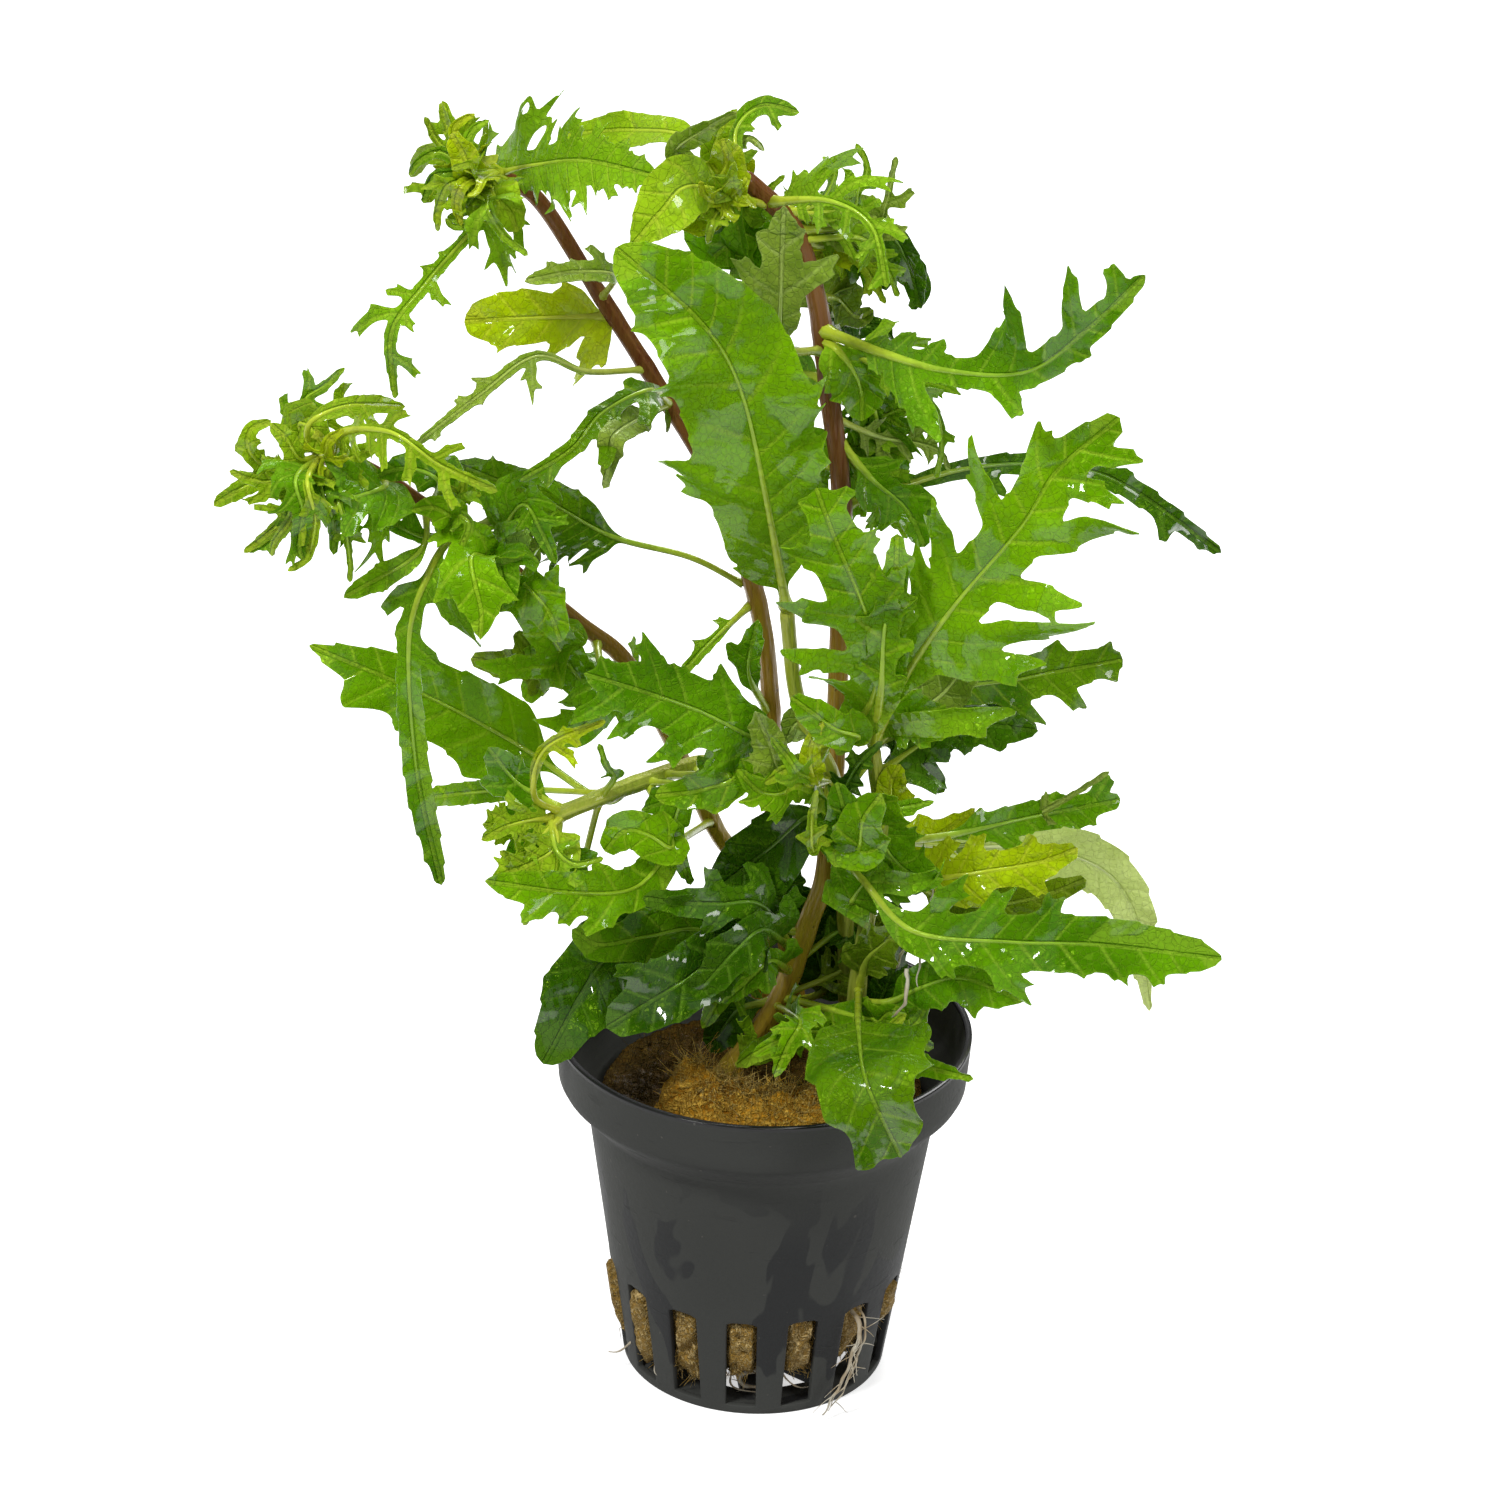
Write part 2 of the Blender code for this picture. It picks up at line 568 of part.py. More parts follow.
def make_wool(parts):
    """The plug of mineral wool: a loft of rings, closed by a fan at each end."""
    shape = bmesh.new()

    def wall(height):
        return body_radius(height) - WALL - GAP

    def side(height, share):
        return lambda a: wall(height) - share * (0.5 + 0.5 * math.sin(9 * a + height))

    rings = [
        ring(shape, lambda a: 9, lambda a: wool_foot(a, 0.5)),
        ring(shape, side(WOOL_FOOT - 3, 1.2), lambda a: wool_foot(a, 1.0)),
        ring(shape, side(18, 0.3), lambda a: 18 + math.sin(4 * a)),
        ring(shape, side(BODY_TOP - 3, 0.2), lambda a: BODY_TOP - 3),
        ring(shape, side(BODY_TOP - 2, 1.4), lambda a: wool_height(a, 1.0)),
        ring(shape, lambda a: 17, lambda a: wool_height(a, 0.78)),
        ring(shape, lambda a: 12, lambda a: wool_height(a, 0.55)),
        ring(shape, lambda a: 6, lambda a: wool_height(a, 0.25)),
    ]
    for lower, upper in zip(rings, rings[1:]):
        for number in range(WOOL_SIDES):
            after = (number + 1) % WOOL_SIDES
            shape.faces.new((lower[number], lower[after], upper[after], upper[number]))
    foot = shape.verts.new(Vector((0, 0, WOOL_FOOT)) * MM)
    top = shape.verts.new(Vector((0, 0, wool_height(0, 0))) * MM)
    for number in range(WOOL_SIDES):
        after = (number + 1) % WOOL_SIDES
        shape.faces.new((foot, rings[0][after], rings[0][number]))
        shape.faces.new((top, rings[-1][number], rings[-1][after]))
    bmesh.ops.triangulate(shape, faces=shape.faces[:])
    return mesh_object("wool_plug", shape, parts, "wool")


def make_stem(stem, parts):
    """A round tube along the stem's points that narrows to its tip."""
    curve = bpy.data.curves.new(stem.name, "CURVE")
    curve.dimensions = "3D"
    curve.bevel_depth = MM
    curve.bevel_resolution = (STEM_FACES - 4) // 2
    curve.use_fill_caps = True
    spline = curve.splines.new("POLY")
    spline.points.add(len(stem.points) - 1)
    last = len(stem.points) - 1
    for number, point in enumerate(stem.points):
        spline.points[number].co = (*(Vector(point) * MM), 1)
        spline.points[number].radius = stem.radius + (stem.tip_radius - stem.radius) * number / last
    curve.materials.append(material(stem.name, stem.finish))
    return link(bpy.data.objects.new(stem.name, curve), parts)


class Path:
    """A smooth curve through points, read by the share of its length."""

    def __init__(self, points, straight=False):
        """Reads the Catmull-Rom curve through the points, or the straight lines between them."""
        given = np.array(points, float)
        before = 2 * given[0] - given[1]
        after = 2 * given[-1] - given[-2]
        held = np.vstack([before, given, after])
        t = np.linspace(0, 1, 24, endpoint=False)[:, None]
        spans = []
        for a, b, c, d in zip(held, held[1:], held[2:], held[3:]):
            if straight:
                spans.append(b + (c - b) * t)
                continue
            spans.append(0.5 * (2 * b + (c - a) * t + (2 * a - 5 * b + 4 * c - d) * t**2
                                + (3 * b - a - 3 * c + d) * t**3))
        self.points = np.vstack([*spans, given[-1:]])
        steps = np.linalg.norm(np.diff(self.points, axis=0), axis=1)
        run = np.concatenate([[0], np.cumsum(steps)])
        self.length = float(run[-1])
        self.shares = run / run[-1]

    def at(self, share):
        """The point at a share of the length."""
        return Vector([float(np.interp(share, self.shares, self.points[:, axis])) for axis in range(3)])

    def direction(self, share):
        """The unit direction there."""
        return (self.at(min(share + 0.02, 1)) - self.at(max(share - 0.02, 0))).normalized()

    def side(self, share):
        """The unit vector to the left of the path, seen from the front.

        Where the path points at the viewer its neighbours decide, by the length of their cross product.
        """
        total = Vector()
        for number in range(-4, 5):
            near = min(max(share + number * 0.05, 0), 1)
            total += FRONT.cross(self.direction(near)) * (5 - abs(number))
        along = self.direction(share)
        return (total - total.dot(along) * along).normalized()


def leaf_foot(leaf, stems):
    """The first point of the midrib, clear of the stem's skin on the side of the leaf."""
    stem = stems[leaf.stem]
    path = Path(stem.points, straight=True)
    middle = path.at(leaf.share)
    radius = stem.radius + (stem.tip_radius - stem.radius) * leaf.share
    away = (Vector(leaf.midrib[0]) - middle).normalized()
    if leaf.share < 0.99:
        along = path.direction(leaf.share)
        away = (away - 0.75 * away.dot(along) * along).normalized()
        return middle + away * (radius + 2 * GAP)
    return middle + away * (4 * GAP)


def blade_half_width(leaf, share, start):
    """Half the width of the blade between its lobes: a stalk, the full width, then a narrowing tip."""
    rise = min(max((share - start) / BLADE_RISE, 0), 1)
    fall = min(max((share - TAPER_FROM) / (1 - TAPER_FROM), 0), 1)
    full = max(leaf.half_width * (1 - TAPER * fall * fall), STALK_HALF_WIDTH)
    return STALK_HALF_WIDTH + (full - STALK_HALF_WIDTH) * rise * rise * (3 - 2 * rise)


def lobe_feet(lobes, length):
    """The lobes in the order of their feet, as (share of the foot, share of the tip, reach).

    Only the longest are kept where there are more than MOST_BAYS.
    """
    longest = sorted(lobes, key=lambda lobe: -lobe[1])[:MOST_BAYS]
    lean = LOBE_LEAN / length
    return sorted((min(max(tip - lean * reach, 0.05), 0.94), tip, reach) for tip, reach in longest)


def bay_ends(feet, start, bays):
    """The shares between which the lobes stand, from the start of the blade to near its tip."""
    if len(feet) < 2:
        return [start + (LAST_BAY_END - start) * number / bays for number in range(bays + 1)]
    middles = [(a[0] + b[0]) / 2 for a, b in zip(feet, feet[1:])]
    first = max(start, min(feet[0][0], middles[0]) - BAY_HALF)
    last = min(max(feet[-1][0] + BAY_HALF, middles[-1] + BAY_HALF, 0.9), LAST_BAY_END)
    ends = [first, *middles, last]
    for number in range(1, len(ends)):
        ends[number] = max(ends[number], ends[number - 1] + LEAST_BAY)
    too_far = max(0, ends[-1] - LAST_BAY_END)
    return [end - too_far * number / bays for number, end in enumerate(ends)]


def share_out(feet, ends):
    """Gives each lobe of a side a bay of its own, in order and near its foot."""
    bays = len(ends) - 1
    given = {}
    free_from = 0
    for number, lobe in enumerate(feet):
        last = bays - (len(feet) - number)
        choices = range(free_from, last + 1)
        nearest = min(choices, key=lambda bay: abs((ends[bay] + ends[bay + 1]) / 2 - lobe[0]))
        given[nearest] = lobe
        free_from = nearest + 1
    return given


class LeafSurface:
    """The thin surface of a leaf, point by point."""

    def __init__(self, leaf, stems):
        """Takes the leaf and where its stem runs."""
        self.leaf = leaf
        self.path = Path([leaf_foot(leaf, stems), *leaf.midrib])
        self.shape = bmesh.new()

    def point(self, share, reach):
        """A vertex at a share of the midrib and a signed reach from it, positive to the left.

        Both halves of the blade are raised towards the viewer by the fold, and the whole rolls about
        the midrib.
        """
        inside = min(max(share, 0), 1)
        along = self.path.direction(inside)
        roll = Matrix.Rotation(math.radians(self.leaf.roll), 3, along)
        side = roll @ self.path.side(inside)
        facing = along.cross(side)
        fold = math.radians(FOLD)
        place = self.path.at(inside) + (share - inside) * self.path.length * along
        place += reach * math.cos(fold) * side + abs(reach) * math.sin(fold) * facing
        return self.shape.verts.new(place * MM)

    def half(self, share, start):
        """Half the width of the blade at a share."""
        return blade_half_width(self.leaf, share, start)

    def lobe(self, lobe, sign, low, high, ends):
        """A lobe on the margin between two vertices: a point, or a finger with a neck if it is long."""
        foot, tip, reach = lobe
        low_share, high_share = ends
        if reach < LONG_LOBE:
            self.add(sign, (low, self.point(tip, sign * reach), high))
            return
        middle = (low_share + high_share) / 2
        wide = min(LOBE_WIDTH / self.path.length, 0.9 * (high_share - low_share)) / 2
        base = self.half(middle, 0)
        across = base + (reach - base) * LOBE_NECK
        along = middle + (tip - middle) * LOBE_NECK
        near = self.point(along - wide, sign * across)
        far = self.point(along + wide, sign * across)
        self.add(sign, (low, near, far, high))
        self.add(sign, (near, self.point(tip, sign * reach), far))

    def add(self, sign, corners):
        """A face that looks towards the viewer. corners run from the foot towards the tip by the margin."""
        self.shape.faces.new(corners if sign < 0 else corners[::-1])

    def build(self):
        """The whole leaf, as triangles."""
        leaf = self.leaf
        length = self.path.length
        feet = {1: lobe_feet(leaf.left, length), -1: lobe_feet(leaf.right, length)}
        most = max(feet.values(), key=len)
        bays = max(len(most), 2)
        lowest = min([lobe[0] for side in feet.values() for lobe in side], default=0.3)
        start = min(max(lowest - 0.06, 0.06), 0.3)
        ends = bay_ends(most if len(most) > 1 else [], start, bays)
        stations = [0.0, *ends]
        ribs = [self.point(share, 0) for share in stations]
        tip = self.point(1.0, 0)
        for sign in (1, -1):
            widths = [STALK_HALF_WIDTH, *(self.half(share, start) for share in ends)]
            widths[-1] = max(TIP_HALF_WIDTH, widths[-1] * 0.8)
            margin = [self.point(share, sign * width) for share, width in zip(stations, widths)]
            for number in range(len(stations) - 1):
                self.add(sign, (ribs[number], margin[number], margin[number + 1], ribs[number + 1]))
            self.add(sign, (ribs[-1], margin[-1], tip))
            for bay, lobe in share_out(feet[sign], ends).items():
                between = (ends[bay], ends[bay + 1])
                self.lobe(lobe, sign, margin[bay + 1], margin[bay + 2], between)
        bmesh.ops.triangulate(self.shape, faces=self.shape.faces[:])
        return self.shape


def make_leaf(leaf, stems, parts):
    """The leaf's surface with a thickness."""
    made = mesh_object(leaf.name, LeafSurface(leaf, stems).build(), parts, leaf.finish)
    wall = made.modifiers.new("thickness", "SOLIDIFY")
    wall.thickness = LEAF_THICKNESS * MM
    wall.offset = 0
    return made


def main():
    """Builds the pot, the wool, the stems, the roots and the leaves."""
    for obj in list(bpy.data.objects):
        bpy.data.objects.remove(obj, do_unlink=True)
    parts = bpy.data.collections.new("water_wisteria")
    cutters = bpy.data.collections.new("cutters")
    for collection in (parts, cutters):
        bpy.context.scene.collection.children.link(collection)
    make_pot(parts, cutters)
    make_wool(parts)
    for stem in (*STEMS, *ROOTS):
        make_stem(stem, parts)
    stems = {stem.name: stem for stem in STEMS}
    for leaf in LEAVES:
        make_leaf(leaf, stems, parts)


main()
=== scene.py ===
"""The looks of a water wisteria in its slotted net pot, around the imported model.

The tables are in millimetres and degrees, the meshes in metres with +Z up. The front of the plant faces
-Y and +X is to its right. Every leaf is one surface: an outline worked out in the leaf's own plane, laid
along its midrib, with a thickness, a paler underside and a raised rib.
"""

from __future__ import annotations

import logging
import math
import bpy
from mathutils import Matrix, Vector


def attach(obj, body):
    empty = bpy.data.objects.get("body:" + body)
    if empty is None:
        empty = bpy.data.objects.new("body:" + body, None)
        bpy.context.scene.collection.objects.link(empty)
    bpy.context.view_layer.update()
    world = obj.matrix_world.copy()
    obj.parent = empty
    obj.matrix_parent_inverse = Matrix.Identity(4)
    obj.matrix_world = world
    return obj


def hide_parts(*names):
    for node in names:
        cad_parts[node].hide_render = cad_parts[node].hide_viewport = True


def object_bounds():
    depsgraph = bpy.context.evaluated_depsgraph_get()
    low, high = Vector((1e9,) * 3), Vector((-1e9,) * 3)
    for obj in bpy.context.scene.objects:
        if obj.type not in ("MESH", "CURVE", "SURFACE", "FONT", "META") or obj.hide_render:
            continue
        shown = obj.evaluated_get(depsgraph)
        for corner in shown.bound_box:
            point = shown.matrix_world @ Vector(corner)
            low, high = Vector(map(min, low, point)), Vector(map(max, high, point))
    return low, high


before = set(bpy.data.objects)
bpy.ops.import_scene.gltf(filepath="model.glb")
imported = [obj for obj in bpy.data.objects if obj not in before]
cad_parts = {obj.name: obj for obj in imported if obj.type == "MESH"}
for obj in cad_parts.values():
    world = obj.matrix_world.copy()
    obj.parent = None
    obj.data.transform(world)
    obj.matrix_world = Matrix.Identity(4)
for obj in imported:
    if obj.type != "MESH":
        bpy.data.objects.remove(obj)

import zlib
from dataclasses import dataclass, field
from enum import Enum
from typing import Sequence

import bpy
import numpy as np
from bpy.types import Material, Mesh, Node, NodeSocket, Object
from mathutils import Matrix, Vector

CAD_BOX = [list(corner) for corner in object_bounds()]
MM = 0.001
BODY = "root"
FRONT = np.array((0.0, -0.9, 0.42)) / math.hypot(0.9, 0.42)
BOX_CLEARANCE = 0.25

log = logging.getLogger("water_wisteria")

Array = np.ndarray
Colour = tuple[float, float, float]
Point = tuple[float, float, float]
Lobe = tuple[float, ...]


class Finish(Enum):
    """The kinds of leaf colour, by the age and place of the leaf; SHADE is painted shade, a darkened green
    for leaves that sit in shadow.
    """

    LIGHT = "light"
    YOUNG = "young"
    PALE = "pale"
    YELLOW = "yellow"
    DARK = "dark"
    GREY = "grey"
    MID = "mid"
    BRIGHT = "bright"
    OLIVE = "olive"
    SHADE = "shade"
    WAN = "wan"
    LUSH = "lush"


class Cut(Enum):
    """How deep the margin of a leaf is cut."""

    BROAD = "broad"
    FINE = "fine"
    ENTIRE = "entire"


LIGHT, YOUNG, PALE, YELLOW, DARK, GREY, MID, BRIGHT, OLIVE, SHADE, WAN, LUSH = Finish
BROAD, FINE, ENTIRE = Cut
TALL, MIDDLE, LEANING = "stem_tall_left", "stem_middle", "stem_leaning_left"
GREEN, SHOOT, RIGHT = "stem_front_green", "side_shoot_left", "stem_right_young"


@dataclass(frozen=True)
class Leaf:
    """A leaf: where it grows, the points of its midrib after the foot, and its lobes.

    share is how far along the stem it grows. A lobe is (share along the midrib, reach from the
    midrib) of its tip, left and right as seen from the front when the leaf points up, with the
    slope of its vein as a third number where it has one of its own. roll is the turn of the blade
    about its midrib in degrees, stalk the most of the midrib that may be bare, blunt whether the
    leaf ends broad, and rib how thick its stalk is against the usual.
    """

    name: str
    stem: str
    share: float
    half_width: float
    finish: Finish
    cut: Cut
    midrib: tuple[Point, ...]
    left: tuple[Lobe, ...]
    right: tuple[Lobe, ...]
    roll: float = 0.0
    stalk: float = 0.3
    blunt: bool = False
    rib: float = 1.0


@dataclass(frozen=True)
class LeafFinish:
    """The colours and the gloss of one kind of leaf.

    deep and fresh are the two greens that the face wanders between, vein the colour of its veins,
    back the underside, lit the light that comes through, and wet the share of it under water.
    """

    deep: Colour
    fresh: Colour
    vein: Colour
    back: Colour
    lit: Colour
    through: float
    roughness: float
    wet: float
    slot: str


@dataclass(frozen=True)
class Stem:
    """A stem: its points from the foot up, its radii at both ends, and whether it is brown."""

    name: str
    points: tuple[Point, ...]
    radius: float
    tip_radius: float
    brown: bool


STEMS = (
    Stem(TALL, ((5, 14, 40.5), (1, 12, 69), (-1.5, 9, 100.5), (-7.5, 9, 120), (-15, 10, 133),
          (-24, 12, 146.5), (-31, 12, 157.5), (-36, 10, 162)), 1.35, 1.0, True),
    Stem(MIDDLE, ((-5.5, 0.5, 40.5), (1.5, 1.5, 51.5), (5.5, 2, 64), (7.5, 2.5, 72.5), (8, 3, 95),
          (7.5, 1, 123), (5.5, 0, 137.5), (3.5, 0, 150), (0, -1, 160), (-6.5, -3, 167)), 1.5, 1.15, True),
    Stem(LEANING, ((0, 20, 40.5), (-4, 16, 64), (-7.5, 14, 71.5), (-18, 8, 95.5), (-26, 5, 104.5),
          (-41.5, 1, 118.5), (-51.5, -1, 126.5), (-57.5, -2, 128.5)), 1.3, 1.0, True),
    Stem(GREEN, ((11.5, 8, 40.5), (10, 2, 67), (8, -4, 86), (5, -6, 93.5), (2.5, -6, 100.5),
          (1, -8, 112.5)), 1.3, 0.9, False),
    Stem(SHOOT, ((-2.1, 9.6, 83), (-9.5, 3, 85.5), (-17, -3, 85.5), (-23, -8, 85), (-28, -9, 83)),
         1.2, 1.0, False),
    Stem(RIGHT, ((13, -1, 40.5), (12, -2, 54.5), (13, -4, 69), (14, -6, 81.5), (12.5, -8, 94)),
         1.3, 0.9, False),
)

LEAVES = (
    Leaf("feather_of_left_crown", TALL, 1, 2.4, LIGHT, FINE,
         ((-31.5, 4, 165), (-25, -3, 168), (-16, -10, 168.5)),
         ((0.24, 6, 1.4), (0.36, 8.5, 1.2), (0.48, 9, 1.0), (0.6, 7), (0.71, 5.5), (0.82, 4), (0.92, 2.5)),
         ((0.26, 4), (0.38, 5.5), (0.5, 6.5), (0.62, 8), (0.74, 7), (0.85, 5), (0.94, 3))),
    Leaf("drooping_of_left_crown", TALL, 0.98, 0.9, LIGHT, FINE,
         ((-40, 3, 155.5), (-45, -4, 151), (-48, -8, 147), (-47.5, -9, 139)),
         ((0.19, 7), (0.29, 7), (0.39, 9), (0.59, 4), (0.74, 3), (0.92, 4)),
         ((0.29, 3.5), (0.41, 1.5), (0.5, 2), (0.66, 3.5), (0.79, 5.5))),
    Leaf("top_of_left_crown", TALL, 1, 1, YOUNG, FINE,
         ((-41.5, 7, 168), (-43, 8, 171.5)), ((0.86, 3),), ((0.49, 4), (0.72, 3.5))),
    Leaf("back_of_left_crown", TALL, 1, 1.2, PALE, FINE,
         ((-44.5, 13, 163.5), (-47.5, 15, 159.5)), (), ((0.58, 1.5),), roll=-20),
    Leaf("yellow_blunt", TALL, 0.82, 3.6, YELLOW, BROAD,
         ((-28, 14, 142), (-35, 17, 140.5), (-41, 18, 139.5)),
         ((0, 7), (0.18, 9.5), (0.38, 5.5), (0.78, 4.5)), ((0.32, 5), (0.61, 4)), blunt=True),
    Leaf("short_grey", TALL, 0.84, 1.5, PALE, FINE,
         ((-21.5, 3, 151.5), (-26, -2, 153.5), (-32, -6, 153.5)), (), ((0.61, 3.5), (0.86, 2)), roll=20),
    Leaf("pale_edge_on", TALL, 0.76, 1, PALE, FINE,
         ((-25, 4, 138.5), (-31, -1, 142), (-37.5, -6, 138.5), (-45.5, -12, 133.5)),
         ((0.28, 1), (0.63, 7), (0.73, 2), (0.93, 2)), ((0.69, 3), (0.78, 2)), roll=35),
    Leaf("dark_curled", TALL, 0.72, 1.3, LUSH, BROAD,
         ((-17, 2, 137), (-22.5, -4, 136), (-26, -9, 133), (-32, -12, 130)),
         ((0.02, 4), (0.3, 3), (0.47, 6), (0.62, 4.5), (0.77, 6.5), (0.93, 3)), ((0.38, 2.5),), roll=20),
    Leaf("dark_long_stalked", TALL, 0.52, 3, LUSH, FINE,
         ((-11.5, 10, 111.5), (-21.5, 10, 114), (-30, 8, 119.5), (-41.5, 6, 125)),
         ((0.53, 6.5), (0.64, 8.5), (0.75, 9.5), (0.86, 8), (0.96, 5)),
         ((0.62, 3.5), (0.76, 3.8), (0.9, 3)), stalk=0.42),
    Leaf("folded_of_middle_crown", MIDDLE, 1, 1.6, PALE, ENTIRE,
         ((-12.5, -6, 169.5), (-14, -8, 171.5), (-7, -12, 177.5)), (), (), roll=30),
    Leaf("hook_of_middle_crown", MIDDLE, 1, 1.2, LIGHT, FINE,
         ((-7, 0, 171.5), (-4, 2, 174), (0.5, 3, 173)), ((0.45, 1),), ((0.16, 3), (0.86, 3.5))),
    Leaf("yellow_of_middle_crown", MIDDLE, 0.96, 4, YOUNG, FINE,
         ((-12, -10, 167.5), (-15.5, -14, 165.5), (-19, -16, 161.5)), ((0.65, 5),), ()),
    Leaf("arched_of_middle_crown", MIDDLE, 0.98, 2.4, YOUNG, FINE,
         ((-12.5, 7, 168), (-20, 13, 167), (-29, 18, 164.5)), ((0.84, 1.5),), ((0.73, 1.5),), roll=20),
    Leaf("grey_underside", MIDDLE, 0.8, 2.6, GREY, BROAD,
         ((-0.5, -8, 147), (-1, -13, 156), (-1, -13, 166.5)), ((0.8, 6.5), (0.89, 3.5)),
         ((0.83, 7.5), (0.91, 3))),
    Leaf("comb_of_right_crown", MIDDLE, 0.96, 0.7, LIGHT, FINE,
         ((4.5, -8, 165.5), (9.5, -12, 163.8), (11.5, -15.5, 157.5)),
         ((0.22, 3.5), (0.36, 5.5), (0.5, 7.5), (0.64, 7), (0.8, 4)),
         ((0.3, 3.5), (0.46, 5), (0.62, 4), (0.84, 3.5), (1, 2.5)), rib=1.5),
    Leaf("dark_of_right_crown", MIDDLE, 0.92, 2, DARK, BROAD,
         ((11, 4, 158), (14.5, 6, 153.5), (16.5, 6, 147.5)), ((0.82, 2),), ((0.85, 5),), roll=30),
    Leaf("right_sweeping", MIDDLE, 0.82, 2.1, MID, BROAD,
         ((11.5, -8, 146.5), (19.5, -15, 147), (28.5, -21, 149.5), (35, -25, 156.5), (41, -27, 164)),
         ((0.2, 2.5), (0.28, 4), (0.38, 4), (0.64, 9), (0.75, 10.5), (0.9, 7.5), (0.97, 4)),
         ((0.22, 3), (0.32, 5.5), (0.44, 9.5), (0.6, 5.5), (0.78, 3)), rib=1.4),
    Leaf("right_ragged", MIDDLE, 0.76, 1.8, MID, BROAD,
         ((10, 4, 135), (13, 8, 130), (15.5, 10, 123)), ((0.49, 4.5), (0.7, 4.5)),
         ((0.41, 5), (0.91, 4.5))),
    Leaf("great_middle", GREEN, 1, 8.2, BRIGHT, BROAD,
         ((-2, -14, 129.5), (-5.5, -18, 145), (-10.5, -21, 154.5), (-20.5, -22, 163.5)),
         ((0.16, 6), (0.43, 11), (0.52, 13), (0.74, 10.5), (0.88, 7)),
         ((0.13, 2.5), (0.33, 6.5), (0.45, 9.5), (0.58, 10.5), (0.77, 6), (0.88, 5.5)), blunt=True,
         rib=1.3),
    Leaf("right_far", MIDDLE, 0.64, 1.6, DARK, BROAD,
         ((22.5, 9, 125), (34, 13, 124.5), (43.5, 15, 121.5), (57, 16, 112)), ((0.71, 2),),
         ((0.21, 6.5), (0.4, 4.5), (0.87, 3.5), (0.95, 1.5))),
    Leaf("great_right", RIGHT, 1, 3.8, BRIGHT, BROAD,
         ((16, -12, 105.5), (21.5, -16, 117), (29, -18, 128.5), (33, -18, 136), (40, -16, 142)),
         ((0.39, 8), (0.52, 9.5), (0.64, 11.5), (0.81, 12), (0.88, 6.5)),
         ((0.31, 15), (0.51, 14), (0.67, 12.5, 0.4), (0.67, 15, 1.0), (0.88, 13), (0.9, 9, 0.4), (0.99, 6.5)),
         blunt=True, rib=1.3),
    Leaf("great_centre", GREEN, 0.72, 4, BRIGHT, BROAD,
         ((11.5, -11, 100.5), (12.5, -15, 109.5), (10, -18, 118), (6.5, -19, 126.5), (4, -19, 133)),
         ((0.12, 5), (0.42, 9.5), (0.66, 12.5), (0.79, 10.5), (0.9, 7), (0.99, 3)),
         ((0.49, 3.5), (0.62, 7), (0.72, 7), (0.85, 5.5), (0.98, 4)), blunt=True, rib=1.3),
    Leaf("right_shaded", RIGHT, 0.82, 3, LUSH, BROAD,
         ((21, 4, 95), (32, 12, 95), (45.5, 18, 95.5)), ((0.6, 3.5), (0.81, 4.5), (0.97, 3)),
         ((0.7, 7), (0.86, 6), (0.97, 3)), blunt=True),
    Leaf("right_toothed", RIGHT, 0.92, 2.6, DARK, BROAD,
         ((20, -4, 93.5), (26, -3, 95), (33.5, -3, 94.5)), ((0.57, 3),),
         ((0.13, 2), (0.29, 7), (0.41, 4), (0.59, 3.5), (0.8, 3.5))),
    Leaf("arch_of_low_crown", LEANING, 0.98, 0.8, YOUNG, FINE,
         ((-54, -8, 134), (-47.5, -14, 136.5), (-41.5, -16.5, 133.5), (-34.5, -17, 130.5)),
         ((0.4, 2), (0.57, 3.5), (0.81, 4)),
         ((0.3, 3.5), (0.41, 4.5), (0.52, 4), (0.62, 5.5), (0.73, 4.5), (0.89, 5)), rib=1.7),
    Leaf("curl_of_low_crown", LEANING, 1, 1.2, YOUNG, FINE,
         ((-58.8, -4, 131.5), (-58, -4.8, 134.3), (-53.5, -3.8, 136), (-47, -1, 135)), (),
         ((0.66, 2), (0.84, 4))),
    Leaf("tip_of_low_crown", LEANING, 1, 1.2, YOUNG, FINE,
         ((-66, -5, 125.5), (-70.5, -6, 123)), (), ((0.68, 2.5),)),
    Leaf("fringe_of_low_crown", LEANING, 0.9, 1.1, LIGHT, FINE,
         ((-53, -6, 123.5), (-59, -10, 124), (-65.5, -11, 119)),
         ((0.31, 4.5), (0.39, 8.5), (0.47, 5.5), (0.85, 5.5), (0.91, 2)),
         ((0.17, 6), (0.47, 5), (0.6, 5), (0.67, 5))),
    Leaf("narrow_left", LEANING, 0.86, 1.5, LIGHT, FINE,
         ((-45, -6, 117.5), (-54, -9, 112.5)), ((0.75, 2),), ((0.7, 2),)),
    Leaf("long_hanging", LEANING, 0.82, 1.8, MID, BROAD,
         ((-43.5, -5, 115), (-46, -8, 106.5), (-45, -9, 89), (-42, -8, 72.5)),
         ((0.21, 2), (0.24, 6), (0.31, 10), (0.4, 5)), ((0.26, 4.5), (0.31, 2), (0.92, 1.5))),
    Leaf("broad_left", LEANING, 0.74, 3.2, BRIGHT, BROAD,
         ((-38, -10, 119), (-36.5, -15.5, 114), (-36.5, -17, 111)), ((0.38, 4.5), (0.62, 7.5), (0.86, 5)),
         ((0.3, 5.5), (0.56, 6.5), (0.8, 6))),
    Leaf("olive_antler", LEANING, 0.52, 2.8, BRIGHT, BROAD,
         ((-23.5, -1, 97.5), (-28.5, -5, 106.5), (-34, -7, 116)), ((0.44, 8.5), (0.81, 10.5), (0.97, 5)),
         ((0, 6.5), (0.92, 6.5))),
    Leaf("left_spread", TALL, 0.34, 4.2, MID, BROAD,
         ((-2.5, -7, 94), (-9.5, -10, 99), (-17, -12, 102.5), (-24, -13, 105)),
